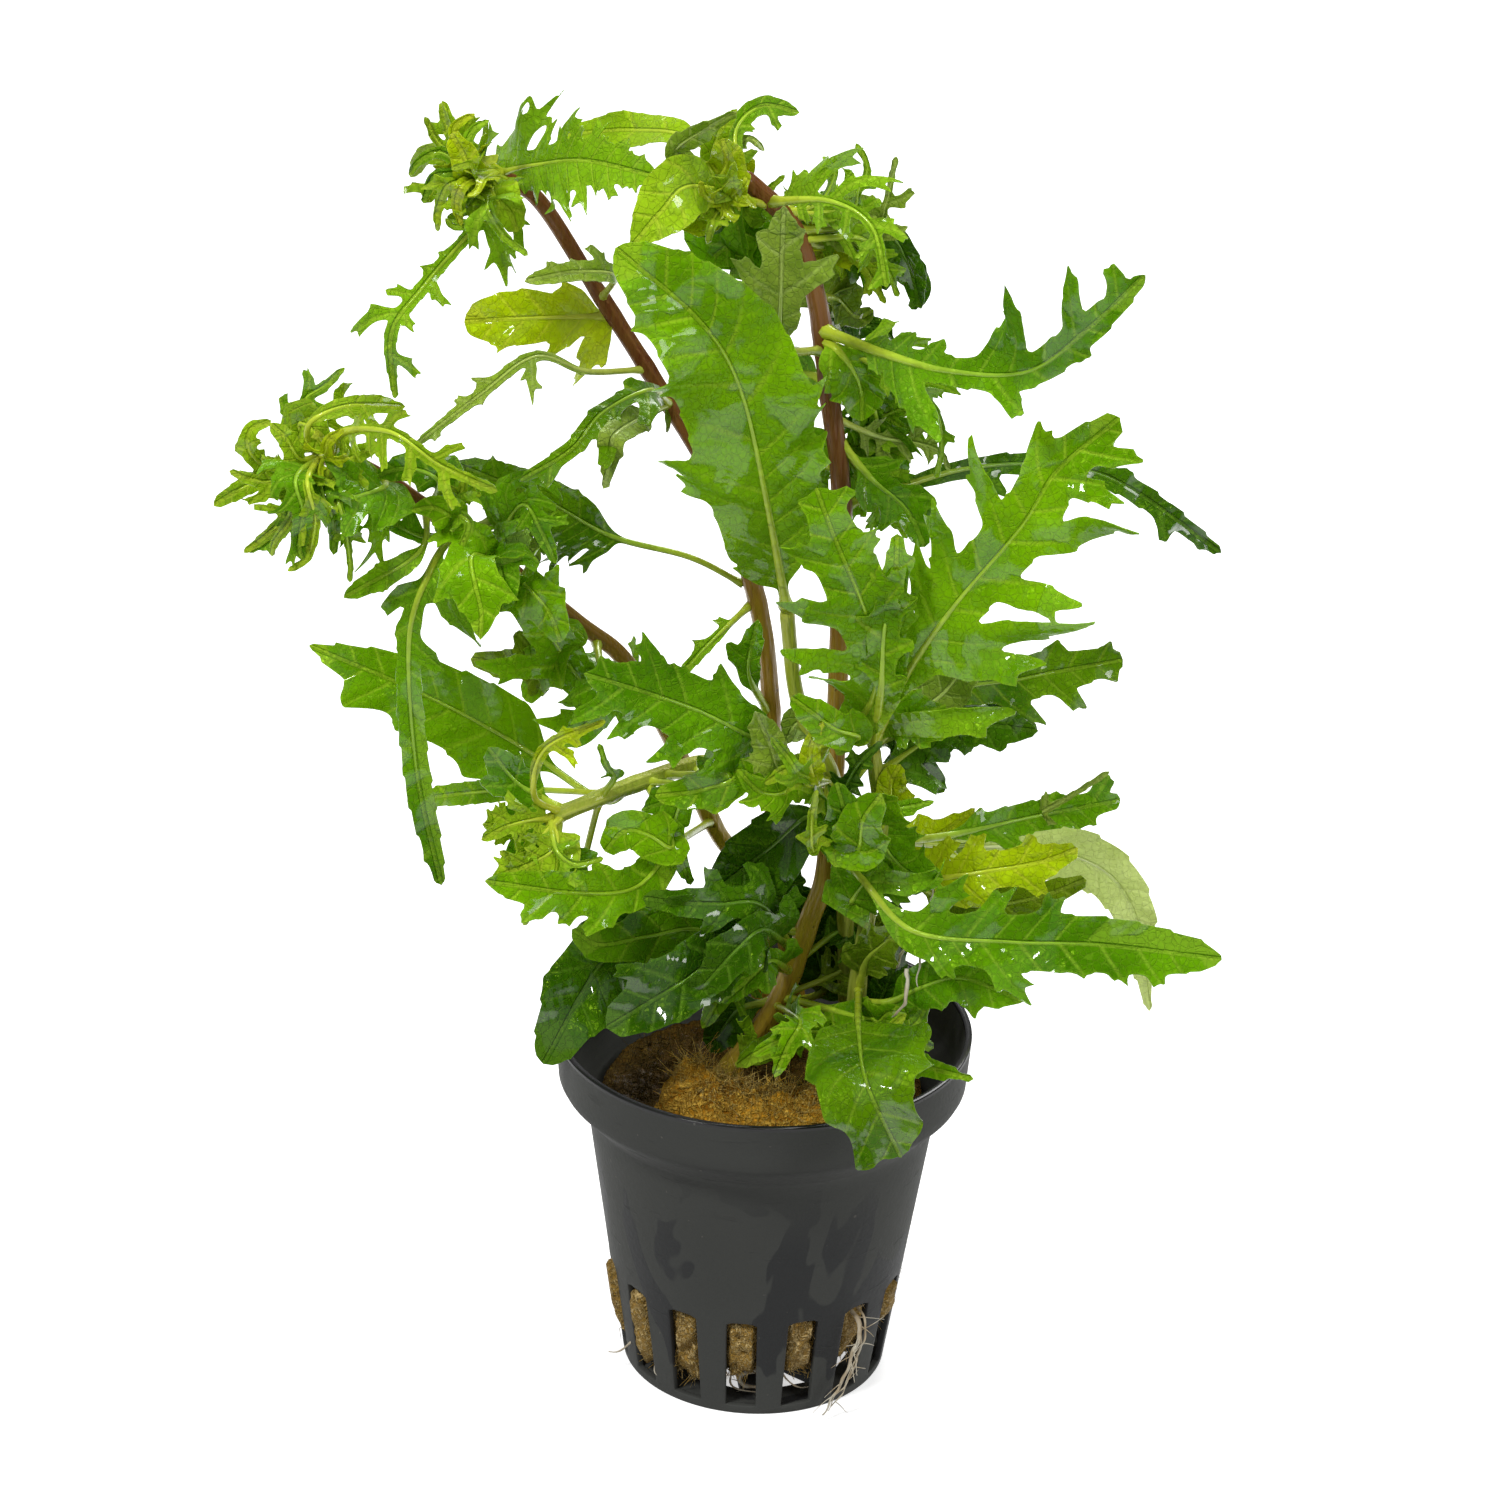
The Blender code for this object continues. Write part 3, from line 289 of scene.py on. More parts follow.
         ((0.58, 8), (0.76, 9), (0.9, 7.5), (1, 7)), ((0.66, 7), (0.77, 5), (0.89, 7.5), (0.97, 3))),
    Leaf("curling_thread", SHOOT, 0.96, 0.8, YELLOW, FINE,
         ((-30, -12, 87.5), (-28.5, -14, 95), (-21, -15, 99.5)), ((0.77, 1.5),), ((0.77, 4), (0.83, 2))),
    Leaf("shoot_outer", SHOOT, 0.98, 1.6, YOUNG, FINE,
         ((-32, -11, 82.5), (-36.5, -12.5, 83.5)), ((0.84, 3),), ((0.84, 3.5), (1, 2.5))),
    Leaf("shoot_low", SHOOT, 1, 1.8, YOUNG, FINE,
         ((-29, -14, 80), (-35, -17, 78)), ((0.59, 2.5),), ((0.92, 3),)),
    Leaf("bright_low_left", LEANING, 0.3, 3, BRIGHT, BROAD,
         ((-12.5, -4, 77), (-17, -11, 74.5), (-24.5, -17, 76.5), (-35.5, -20.5, 79.5)),
         ((0.73, 6), (0.8, 4.5), (0.9, 5)), ((0.45, 4), (0.7, 4.5), (0.86, 2))),
    Leaf("long_entire", SHOOT, 0.62, 5.6, BRIGHT, ENTIRE,
         ((-22, 2, 80.5), (-33, 10, 84), (-46.5, 16, 88.5), (-61.5, 20, 93)),
         ((0.51, 7.5), (0.71, 6), (0.86, 6)), ()),
    Leaf("right_low_long", GREEN, 0.48, 3.8, MID, BROAD,
         ((12, -10, 76), (18.5, -15, 71.5), (30.5, -18, 72), (42, -19, 72.5), (57.5, -19, 71)),
         ((0.34, 10.5), (0.45, 9), (0.55, 7.5), (0.66, 6.5)),
         ((0.43, 5.5), (0.59, 8.5), (0.7, 4.5), (0.8, 5), (0.88, 4.5))),
    Leaf("right_low_narrow", RIGHT, 0.72, 2.2, MID, BROAD,
         ((23.5, 2, 77), (34, 8, 77), (46, 12, 78)), ((0.47, 3), (0.58, 1.5), (0.77, 3), (0.97, 4)),
         ((0.58, 4.5), (0.83, 3), (0.89, 3)), blunt=True),
    Leaf("pale_oval", TALL, 0.16, 4.2, WAN, ENTIRE,
         ((25.5, 20, 66), (41.5, 24, 63.5), (49.5, 25, 56), (53, 24, 40.5)), (), ()),
    Leaf("right_over_rim", RIGHT, 0.26, 3.2, MID, BROAD,
         ((16, -9, 58), (20, -13, 62.5), (25, -15, 65), (33, -15, 62)), ((0.59, 2.5), (0.8, 3)),
         ((0.62, 3.5), (0.84, 5))),
    Leaf("front_over_rim", RIGHT, 0.3, 6.3, LUSH, ENTIRE,
         ((12, -17, 58), (13, -30, 57.5), (17.5, -33, 49)), ((0.62, 9.8), (0.74, 9), (0.92, 4.5)),
         ((0.64, 7.6), (0.78, 6.8), (0.97, 6)), blunt=True),
    Leaf("left_over_rim", MIDDLE, 0.18, 5, DARK, ENTIRE,
         ((-10, -2, 67.5), (-20.5, -5, 61.5), (-28.5, -12, 49)), ((0.64, 5.8), (0.8, 5.6)),
         ((0.62, 5.4), (0.78, 5.4)), blunt=True),
    Leaf("glossy_left", MIDDLE, 0.14, 4.4, DARK, BROAD,
         ((-3.5, -9, 65.5), (-11, -17, 64), (-20, -21, 59.5)), ((0.64, 5.5), (0.78, 4)),
         ((0.44, 7), (0.62, 11), (0.88, 7)), blunt=True),
    Leaf("shaded_centre", MIDDLE, 0.28, 4.4, SHADE, ENTIRE,
         ((5, -3, 81.5), (0, -4.5, 77.5), (-7, -5.5, 71.5)), ((0.72, 6),), ((0.75, 2),), blunt=True),
    Leaf("small_facing", GREEN, 0.7, 2.2, PALE, FINE,
         ((1, -11.5, 92), (-0.5, -13, 96), (-2.5, -14, 101)), ((0.67, 4), (0.93, 2)),
         ((0.11, 2), (0.77, 1.5))),
    Leaf("front_facing", RIGHT, 0.78, 3.4, BRIGHT, BROAD,
         ((13.5, -9.5, 84), (14, -13.5, 90)), ((0.7, 4),), ((0.62, 4.5), (1, 2)), blunt=True),
    Leaf("second_of_centre", RIGHT, 1, 2, BRIGHT, BROAD,
         ((13, -14, 104.5), (13, -17, 114), (14, -18, 121), (14, -18, 127)),
         ((0.5, 3.5), (0.68, 4), (0.86, 3.5)), ((0.42, 3.5), (0.6, 4), (0.78, 3.5), (0.92, 2.5)),
         blunt=True),
    Leaf("small_at_rim", GREEN, 0.1, 1.5, BRIGHT, FINE,
         ((8, -8, 53), (4.5, -14, 56), (1.5, -17, 56), (-1.5, -18, 54.5)),
         ((0.45, 5), (0.58, 6.5), (0.7, 4), (0.82, 3.5), (0.94, 3)), ((0.6, 2), (0.8, 2)), rib=1.4),
    Leaf("outer_of_left_crown", TALL, 1, 1.3, YOUNG, FINE,
         ((-42, 1, 164), (-44.5, -3, 162)), ((0.75, 2),), ((1, 3.5),)),
    Leaf("inner_of_left_crown", TALL, 1, 1.3, YOUNG, FINE,
         ((-40, -3, 164), (-39.5, -9, 162.5)), ((0.84, 2),), ((0.93, 2.5),)),
    Leaf("thin_left", LEANING, 0.82, 1, MID, BROAD,
         ((-44.5, -3, 118.5), (-49.5, -5, 121.5)), (), ((0.78, 3),)),
    Leaf("shoot_inner", SHOOT, 0.98, 1.6, MID, BROAD,
         ((-26.5, -11, 79.5), (-23, -13, 77.5)), ((0.96, 3),), ((0.61, 3.5),)),
    Leaf("behind_entire", SHOOT, 0.74, 1.6, LIGHT, FINE,
         ((-32.5, 0, 82.5), (-42, 5, 79), (-47, 8, 76.5)), ((0.7, 1),), ((0.84, 1.5),)),
    Leaf("front_small", MIDDLE, 0.02, 1.8, LIGHT, FINE,
         ((3.5, -8, 51.5), (-0.5, -12, 52), (-3.5, -14, 50.5)), ((0.22, 4), (0.38, 6)), ()),
    Leaf("stalk_left", TALL, 0.5, 0.8, LIGHT, FINE,
         ((-9, 2, 102.5), (-13, -3, 99.5)), (), ((0.35, 2), (0.63, 2))),
    Leaf("upright_dark", TALL, 0.38, 1.6, MID, BROAD,
         ((-3.5, 4, 98.5), (-2.5, 2, 106.5)), ((0.78, 3.5),), ()),
    Leaf("small_centre", GREEN, 0.62, 2.4, BRIGHT, BROAD,
         ((2, -9, 88.5), (-6.5, -11, 92)), ((0.52, 2), (0.82, 1)), ((0.78, 3.5),)),
    Leaf("small_left", SHOOT, 0.32, 1.8, MID, BROAD,
         ((-10.5, -5, 85.5), (-16.5, -8, 84)), ((0.57, 2.5),), ((0.86, 2.5),)),
    Leaf("upright_front", GREEN, 0.42, 1.8, MID, BROAD,
         ((8.5, -8, 79), (5.5, -12, 89)), ((0.75, 2),), ((0.88, 4),)),
)


@dataclass(frozen=True)
class Cluster:
    """Lesser leaves that grow close together on one stem.

    A row is (share along the stem, finish, cut, half width, lobes left, lobes right, reach of a
    lobe) followed by the points of the midrib.
    """

    name: str
    stem: str
    rows: tuple[tuple, ...]

    def leaves(self) -> list[Leaf]:
        """The leaves of the rows.

        The lobes of a side stand at even steps between 0.24 and 0.98 of the midrib, each up to 0.04
        off, and reach x (0.7 + 0.45 sin(pi share)), each up to a fifth off.
        """
        made = []
        for number, (share, finish, cut, half_width, left, right, reach, *midrib) in enumerate(self.rows):
            name = f"{self.name}_{number}"
            chance = seeded(name)
            sides = []
            for count in (left, right):
                tips = np.linspace(0.24, 0.98, count + 2)[1:-1] + chance.uniform(-0.04, 0.04, count)
                long = reach * (0.7 + 0.45 * np.sin(math.pi * tips)) * chance.uniform(0.8, 1.2, count)
                sides.append(tuple(zip(tips.tolist(), long.tolist())))
            made.append(Leaf(name, self.stem, share, half_width, finish, cut, tuple(midrib), *sides,
                             roll=chance.uniform(-14, 14), blunt=cut is BROAD))
        return made


CLUSTERS = (
    Cluster("right_crown", MIDDLE, (
        (0.94, PALE, FINE, 0.7, 5, 5, 3, (6.5, 4, 160), (10, 6, 157), (10.5, 7, 153), (10, 7, 148.5)),
        (0.94, MID, FINE, 0.7, 5, 5, 3.6, (5.5, 7, 159), (7.5, 8, 155.5), (8, 8, 152), (6, 8, 148)),
        (0.91, LIGHT, FINE, 0.6, 4, 4, 2.9, (8.5, 1, 158), (11.5, 2, 154.5), (13.5, 3, 150)),
        (0.83, GREY, BROAD, 3.2, 2, 2, 4, (3.5, 8, 148.5), (6, 9, 152), (9.5, 10, 153.5)),
        (0.85, OLIVE, BROAD, 1.8, 2, 2, 3, (6, 7, 148), (8.5, 9, 145), (10.5, 10, 145.5)),
        (0.94, PALE, FINE, 0.5, 3, 4, 3.6, (9.5, 4, 158), (11.5, 4, 161.5), (12, 4, 164.5),
         (12.5, 4, 167.5)),
        (0.94, LIGHT, FINE, 0.5, 3, 3, 3.1, (7, 1, 161.5), (8, 1, 164), (9, 1, 167), (7.5, 1, 170)),
        (0.94, LIGHT, FINE, 0.5, 3, 2, 2.9, (3, 0, 162.5), (4.5, 0, 164.5), (5, 0, 167), (3.5, 0, 168.5)),
        (0.94, LIGHT, FINE, 0.5, 2, 2, 1.9, (0.5, 0, 163), (1.5, 0, 164.5), (3.5, 0, 166)),
        (0.94, LIGHT, FINE, 0.7, 4, 4, 3.1, (4, 3, 159.5), (6, 3, 157), (8.5, 3, 155)),
        (0.89, YELLOW, FINE, 0.7, 4, 4, 3.1, (3, 4, 157), (5, 4, 156), (7.5, 4, 157.5)),
        (0.85, SHADE, ENTIRE, 2.2, 0, 0, 0, (8, 13, 142.5), (11.5, 14, 142), (14, 14, 139.5)),
        (0.91, YOUNG, FINE, 0.7, 4, 4, 2.9, (7.5, 6, 154), (10, 6, 151.5), (12, 6, 148)),
        (0.91, DARK, BROAD, 1.8, 2, 2, 2.6, (10, 9, 152.5), (14, 10, 152), (16.5, 10, 149),
         (15.5, 10, 146)),
    )),
    Cluster("right_column", MIDDLE, (
        (0.81, BRIGHT, BROAD, 3, 1, 2, 4, (6.5, -3, 144.5), (9, -3, 140.5), (9.5, -3, 136)),
        (0.77, LIGHT, FINE, 1.1, 4, 4, 5.5, (8, 6, 139), (12.5, 8, 135.5), (14, 9, 130), (13, 9, 123.5)),
        (0.73, LIGHT, FINE, 0.9, 4, 4, 4, (7.5, 4, 133), (11, 5, 130), (16.5, 6, 127.5)),
        (0.71, OLIVE, BROAD, 1.9, 2, 2, 3, (8, 8, 128), (9.5, 9, 124.5), (10, 9, 120)),
        (0.73, LIGHT, FINE, 0.8, 3, 3, 4, (9.5, 5, 132), (14.5, 6, 134), (18.5, 6, 134)),
        (0.73, GREY, FINE, 0.5, 4, 4, 2.4, (12, 4, 131), (16.5, 5, 130), (19.5, 5, 129), (21, 5, 126.5)),
        (0.81, LIGHT, FINE, 0.5, 3, 3, 2.4, (12.5, -4, 142.5), (18, -4, 138.5), (19.5, -3, 133.5),
         (19, -3, 128.5)),
        (0.77, MID, BROAD, 2, 2, 2, 4, (1.5, 3, 139.5), (0.5, 3, 137), (0, 3, 133.5)),
        (0.68, MID, BROAD, 2, 2, 2, 4, (4, 2, 129), (2, 2, 127.5), (1, 1, 124.5)),
        (0.71, LIGHT, FINE, 1.1, 4, 4, 5, (8.5, 6, 125.5), (12.5, 7, 121.5), (15, 8, 117)),
        (0.79, LIGHT, FINE, 0.9, 4, 4, 4.5, (10, 2, 143), (13.5, 4, 141), (17, 5, 136.5), (18, 6, 131)),
        (0.75, MID, FINE, 1, 4, 4, 4.5, (10, 3, 137), (12, 5, 131), (12.5, 6, 124), (12, 7, 117.5)),
        (0.71, MID, BROAD, 2, 2, 2, 4, (11, 0, 127), (15.5, -1, 123.5), (18, -2, 119)),
        (0.71, LIGHT, FINE, 1, 3, 3, 4, (9.5, 3, 127), (13.5, 4, 122.5), (16, 4, 117.5)),
    )),
    Cluster("middle_crown", MIDDLE, (
        (0.99, YOUNG, ENTIRE, 1.7, 0, 0, 0, (-9.5, -4, 168), (-9, -5, 172.5), (-7, -5, 175.5)),
        (0.99, PALE, FINE, 0.5, 1, 1, 1.4, (-7, 0, 168.5), (-5.5, 0, 170.5), (-3.5, 0, 169)),
        (0.99, YELLOW, ENTIRE, 2, 0, 0, 0, (-7.5, 0, 164.5), (-6, 0, 167), (-5.5, 0, 169)),
        (0.99, YELLOW, BROAD, 2.4, 2, 2, 3, (-9, -6, 166.5), (-8, -7, 169.5), (-8.5, -7, 172.5)),
        (0.99, YELLOW, ENTIRE, 2.6, 0, 0, 0, (-11, -7, 163), (-12, -8, 166.5), (-13, -8, 169.5)),
        (0.99, DARK, ENTIRE, 2.2, 0, 0, 0, (-10.5, -5, 161.5), (-13, -6, 164), (-15, -6, 166)),
        (0.98, MID, BROAD, 4.6, 2, 2, 5, (-9.5, 2, 157), (-6.5, 2, 159.5), (-2, 3, 161.5)),
        (0.99, LIGHT, FINE, 0.5, 0, 3, 2.9, (-5.5, 0, 162), (-3.5, 0, 163.5), (-1, 0, 166)),
        (0.99, YELLOW, FINE, 0.7, 3, 3, 2.4, (-9, -8, 165), (-10.5, -10, 166.5), (-11, -11, 168.5)),
        (0.99, YOUNG, FINE, 0.7, 3, 3, 2.4, (-8.5, -8, 166.5), (-7.5, -10, 168.5), (-7, -11, 171)),
        (0.99, YOUNG, FINE, 0.7, 3, 3, 2.4, (-9, -8, 163.5), (-9.5, -11, 163), (-10, -12, 161)),
        (0.99, YELLOW, FINE, 0.8, 3, 3, 2.9, (-7.5, -7, 165), (-6.5, -9, 167), (-5.5, -9, 168.5)),
        (0.93, MID, BROAD, 3.4, 2, 2, 4, (-5.5, 2, 155.5), (-7.5, 1, 156.5), (-10, 0, 154.5)),
    )),
    Cluster("left_crown", TALL, (
        (1, YOUNG, FINE, 0.7, 2, 2, 3.6, (-40, 4, 165.5), (-42, 4, 169), (-43, 4, 172.5)),
        (1, YOUNG, FINE, 0.6, 1, 2, 3, (-40.5, 6, 164.5), (-43.5, 6, 167), (-45, 6, 170)),
        (1, YELLOW, FINE, 0.8, 2, 1, 3.6, (-39.5, 0, 167), (-41, 0, 170.5), (-38.5, 0, 172.5)),
        (1, LIGHT, FINE, 0.9, 1, 1, 3.6, (-39, -3, 168.5), (-38.5, -4, 171.5), (-36.5, -4, 173)),
        (1, YELLOW, BROAD, 2.2, 2, 2, 3, (-38.5, -4, 166.5), (-39.5, -5, 169), (-41, -5, 171.5)),
        (1, LIGHT, FINE, 0.8, 2, 2, 3.6, (-39.5, 0, 165.5), (-42.5, 0, 167.5), (-45, 0, 166.5),
         (-46.5, 0, 164.5)),
        (1, MID, FINE, 0.8, 2, 2, 4.2, (-40, -2, 165.5), (-43, -3, 165.5), (-44, -3, 163.5),
         (-44.5, -3, 162)),
        (1, YOUNG, FINE, 0.8, 2, 3, 3.6, (-40, -5, 165.5), (-41.5, -6, 165), (-42.5, -6, 162),
         (-42.5, -6, 159.5)),
        (1, YELLOW, FINE, 1, 1, 1, 2.4, (-39, -7, 166), (-40, -8, 164.5), (-40, -8, 163), (-39.5, -8, 161)),
        (1, LIGHT, FINE, 0.6, 1, 1, 2.4, (-38, -4, 163), (-39.5, -5, 161.5), (-41.5, -5, 161)),
        (1, YOUNG, BROAD, 2.6, 2, 2, 4, (-36, -4, 164), (-34, -5, 162), (-33, -5, 159.5)),
        (1, LIGHT, FINE, 0.7, 2, 3, 4.2, (-36.5, -7, 163.5), (-34.5, -8, 160), (-31.5, -8, 157.5)),
        (1, YOUNG, FINE, 0.7, 2, 2, 3, (-37.5, -6, 162.5), (-35.5, -7, 161), (-34.5, -7, 159)),
        (1, LIGHT, FINE, 0.5, 1, 1, 2.4, (-38, -6, 161), (-40.5, -7, 160.5), (-41.5, -7, 161.5)),
        (1, YOUNG, FINE, 0.7, 2, 2, 2.9, (-38, -6, 167), (-38.5, -9, 169), (-40.5, -11, 169)),
        (1, YELLOW, FINE, 0.7, 2, 2, 2.6, (-37, -7, 166.5), (-37.5, -10, 166), (-38.5, -12, 166)),
    )),
    Cluster("low_crown", LEANING, (
        (1, YOUNG, FINE, 1.1, 2, 3, 1.9, (-62.5, -5, 127.5), (-65.5, -7, 130.5), (-65.5, -7, 133.5),
         (-63, -6, 134.5)),
        (1, LIGHT, FINE, 0.7, 2, 2, 3.6, (-60, 0, 131), (-59.5, 0, 135), (-57, 0, 137), (-54.5, 0, 139.5)),
        (1, YOUNG, FINE, 0.9, 1, 2, 2.9, (-57.5, 1, 131.5), (-54.5, 2, 133.5), (-51.5, 2, 134.5),
         (-48.5, 2, 134.5)),
        (1, YOUNG, BROAD, 2.2, 1, 1, 3, (-60, -2, 132.5), (-58.5, -3, 132.5), (-56.5, -4, 130)),
        (1, YOUNG, FINE, 1.3, 1, 1, 2.4, (-59.5, -7, 130), (-61, -8, 133), (-63, -8, 135)),
        (1, YOUNG, FINE, 0.8, 2, 2, 3, (-62.5, -7, 127), (-65.5, -8, 127.5), (-68, -8, 128.5)),
        (1, YOUNG, FINE, 0.8, 2, 2, 4.8, (-59.5, -9, 126.5), (-61, -10, 123.5), (-63, -11, 121.5),
         (-66, -11, 119)),
        (1, YOUNG, FINE, 0.8, 2, 1, 3.6, (-58.5, -11, 127.5), (-60, -12, 124), (-62, -12, 121),
         (-62.5, -12, 119)),
        (1, MID, FINE, 1.3, 2, 2, 4.2, (-59.5, -11, 129), (-58.5, -13, 125.5), (-59, -13, 121),
         (-58.5, -13, 119)),
        (1, YOUNG, FINE, 0.7, 1, 1, 2.4, (-58, -12, 129), (-57, -13, 124.5), (-58, -13, 119.5),
         (-60.5, -13, 117.5)),
        (1, MID, FINE, 0.9, 1, 1, 3.6, (-56.5, -10, 127), (-55, -11, 123.5), (-55, -11, 119)),
        (0.99, LIGHT, FINE, 0.5, 2, 2, 2.4, (-54.5, -10, 126), (-53.5, -11, 122.5), (-53, -11, 118.5),
         (-53, -11, 115.5)),
        (0.99, YOUNG, FINE, 1.2, 2, 2, 4.2, (-55.5, -5, 128), (-53, -6, 130), (-49.5, -6, 132)),
        (0.92, MID, BROAD, 2.2, 3, 3, 5, (-49.5, -6, 126), (-52.5, -9, 126), (-55, -10, 125.5),
         (-58, -10, 124)),
        (0.86, MID, BROAD, 1.8, 1, 2, 3, (-42.5, -3, 125.5), (-44, -4, 127.5), (-47, -4, 128),
         (-50, -4, 127)),
        (0.86, BRIGHT, ENTIRE, 2.6, 0, 0, 0, (-41, -7, 123), (-43, -8, 124.5), (-45.5, -8, 124)),
        (0.86, YOUNG, FINE, 0.7, 3, 3, 3.1, (-41, -4, 123.5), (-39.5, -5, 126), (-40, -5, 128.5)),
        (0.86, LIGHT, FINE, 0.7, 2, 3, 3.1, (-40.5, -6, 123), (-38.5, -8, 122.5), (-39.5, -9, 119.5)),
        (1, YELLOW, FINE, 0.8, 2, 2, 2.9, (-56, -9, 131.5), (-55.5, -11, 134), (-53.5, -12, 136)),
        (1, YOUNG, FINE, 1, 2, 2, 3.4, (-58, -6, 126), (-59.5, -7, 124.5), (-62, -7, 124.5)),
    )),
    Cluster("left_middle", LEANING, (
        (0.77, MID, FINE, 1.2, 3, 3, 5, (-32.5, 0, 122), (-30, -2, 119.5), (-28, -3, 115.5)),
        (0.77, MID, BROAD, 2.6, 2, 2, 4.5, (-35, -8, 117.5), (-34, -12, 116), (-34.5, -13, 113)),
        (0.73, BRIGHT, BROAD, 2.6, 2, 2, 4, (-31, -9, 114.5), (-28.5, -10, 112), (-27, -10, 108)),
        (0.81, GREY, BROAD, 1.8, 1, 1, 3, (-35.5, 2, 119), (-33, 2, 116.5), (-30.5, 2, 113.5)),
        (0.67, BRIGHT, BROAD, 2.2, 2, 2, 4, (-27.5, -3, 105), (-29, -4, 102), (-31.5, -4, 97)),
        (0.67, OLIVE, BROAD, 2, 1, 2, 5, (-28, -2, 102.5), (-33, -3, 101.5), (-38.5, -3, 102)),
        (0.6, MID, BROAD, 2.4, 2, 2, 5, (-22, -6, 99.5), (-24, -7, 95), (-27, -8, 93)),
    )),
    Cluster("curled_ends", TALL, (
        (0.72, GREY, ENTIRE, 2.2, 0, 0, 0, (-20.5, -8, 135), (-21, -9, 132.5), (-22, -9, 128)),
    )),
    Cluster("side_shoot", SHOOT, (
        (1, YOUNG, FINE, 1.1, 2, 3, 3.6, (-30.5, -12, 84), (-33.5, -13, 83.5), (-36.5, -14, 82)),
        (1, YOUNG, FINE, 1.2, 3, 3, 3.6, (-27, -14, 81.5), (-30, -16, 80), (-34.5, -16, 78)),
        (1, LIGHT, FINE, 0.5, 1, 2, 3.6, (-27, -15, 81.5), (-24.5, -16, 80), (-21, -16, 81)),
        (0.95, MID, BROAD, 2.2, 2, 2, 3.4, (-29.5, -8, 85.5), (-32.5, -8, 87.5), (-36, -8, 92)),
        (0.79, MID, FINE, 0.5, 1, 1, 1.8, (-20, -9, 89), (-21, -10, 91), (-22, -10, 94)),
        (0.56, BRIGHT, BROAD, 2.8, 1, 1, 3, (-12.5, -9, 79.5), (-15.5, -10, 81.5), (-18.5, -10, 82),
         (-21, -10, 79)),
        (0.79, YOUNG, FINE, 1.1, 1, 2, 3.6, (-25.5, -5, 69.5), (-29.5, -6, 70), (-31.5, -6, 66)),
        (0.56, MID, ENTIRE, 1.8, 0, 0, 0, (-11.5, -7, 86.5), (-12.5, -8, 80.5), (-10, -8, 73.5)),
        (0.48, BRIGHT, BROAD, 2.6, 2, 2, 4, (-5, -11, 90.5), (-9, -12, 89), (-14.5, -12, 88)),
        (0.95, MID, BROAD, 2.6, 2, 3, 4, (-29, -8, 79.5), (-27, -9, 75.5), (-23, -9, 71)),
        (0.95, YOUNG, FINE, 0.8, 3, 3, 2.9, (-30, -13, 81), (-32, -15, 80), (-34, -16, 81.5)),
    )),
    Cluster("foot", MIDDLE, (
        (0.16, DARK, BROAD, 2.2, 2, 3, 4.5, (-1, -9, 71.5), (-6, -11, 72.5), (-11, -12, 73),
         (-16, -12, 73.5)),
        (0.16, DARK, BROAD, 2.6, 2, 2, 4.5, (-0.5, -11, 69), (-4, -15, 68), (-7, -17, 65), (-10, -17, 61)),
        (0.14, MID, BROAD, 1.8, 2, 2, 3, (0.5, -10, 64), (-2.5, -13, 62.5), (-5.5, -14, 60)),
        (0.11, OLIVE, FINE, 1.2, 3, 3, 3.6, (10.5, 4, 56), (13.5, 3, 62), (16.5, 2, 66)),
        (0.11, SHADE, ENTIRE, 2.6, 0, 0, 0, (13, 0, 51.5), (16.5, 0, 57.5), (17.5, 0, 63)),
        (0.1, SHADE, BROAD, 2.4, 2, 2, 3.2, (-3, 2, 50.5), (-5, 2, 48), (-7, 1, 44.5)),
        (0.1, BRIGHT, FINE, 1.5, 3, 3, 3.4, (4.5, -14, 57.5), (3, -18, 56), (1.5, -19, 52)),
        (0.14, LUSH, FINE, 1.6, 3, 3, 4, (-2, -7, 61), (-5.5, -11, 59.5), (-8, -14, 56)),
        (0.11, BRIGHT, BROAD, 2, 1, 2, 3, (13.5, -8, 55), (17.5, -9, 56.5), (21.5, -9, 58.5)),
        (0.15, MID, BROAD, 3, 2, 2, 5, (-8.5, -4, 65), (-15, -6, 65), (-21.5, -7, 64), (-25, -7, 66)),
        (0.15, DARK, FINE, 1.2, 3, 3, 3, (10.5, 3, 62.5), (12, 2, 58.5), (12, 1, 54.5)),
    )),
    # Most of these leaves wear SHADE, the painted shade of leaves that sit in shadow behind the feet.
    Cluster("behind_the_feet", TALL, (
        (0.04, SHADE, BROAD, 3.6, 3, 3, 4, (8, 8, 51), (6, 7, 59), (4, 7, 66.5)),
        (0.09, SHADE, BROAD, 3.2, 3, 3, 4, (6, 9, 54.5), (9, 8, 61), (10, 6, 68)),
        (0.14, SHADE, BROAD, 3.2, 3, 3, 4, (14, 6, 54), (15.5, 5, 59), (16.5, 4, 66)),
        (0.19, DARK, BROAD, 2.4, 2, 3, 4, (3, 8, 62), (2, 6, 67), (3, 5, 72)),
    )),
    Cluster("front_shoots", GREEN, (
        (0.73, GREY, ENTIRE, 2.6, 0, 0, 0, (5, -5, 93), (3, -6, 96), (1.5, -6, 93)),
        (0.73, YELLOW, ENTIRE, 1.7, 0, 0, 0, (5, -13, 92), (4.5, -15, 96.5), (6, -15, 100.5)),
        (0.65, YOUNG, FINE, 1, 2, 2, 3.1, (4.5, -13, 90.5), (2, -15, 93.5), (-1, -15, 91.5)),
        (0.73, BRIGHT, BROAD, 2.4, 2, 1, 3, (10.5, -12, 97), (7.5, -14, 99), (4, -15, 102),
         (2, -15, 103.5)),
        (0.6, BRIGHT, BROAD, 3.2, 2, 2, 4, (11, -13, 82), (11.5, -15, 87), (13.5, -15, 90.5)),
        (0.6, MID, BROAD, 2.4, 2, 2, 3.4, (9.5, -12, 83), (9, -14, 88), (8, -14, 91.5)),
        (0.65, YOUNG, FINE, 0.7, 2, 2, 2.4, (5.5, -14, 82), (5, -16, 87), (5.5, -16, 91.5)),
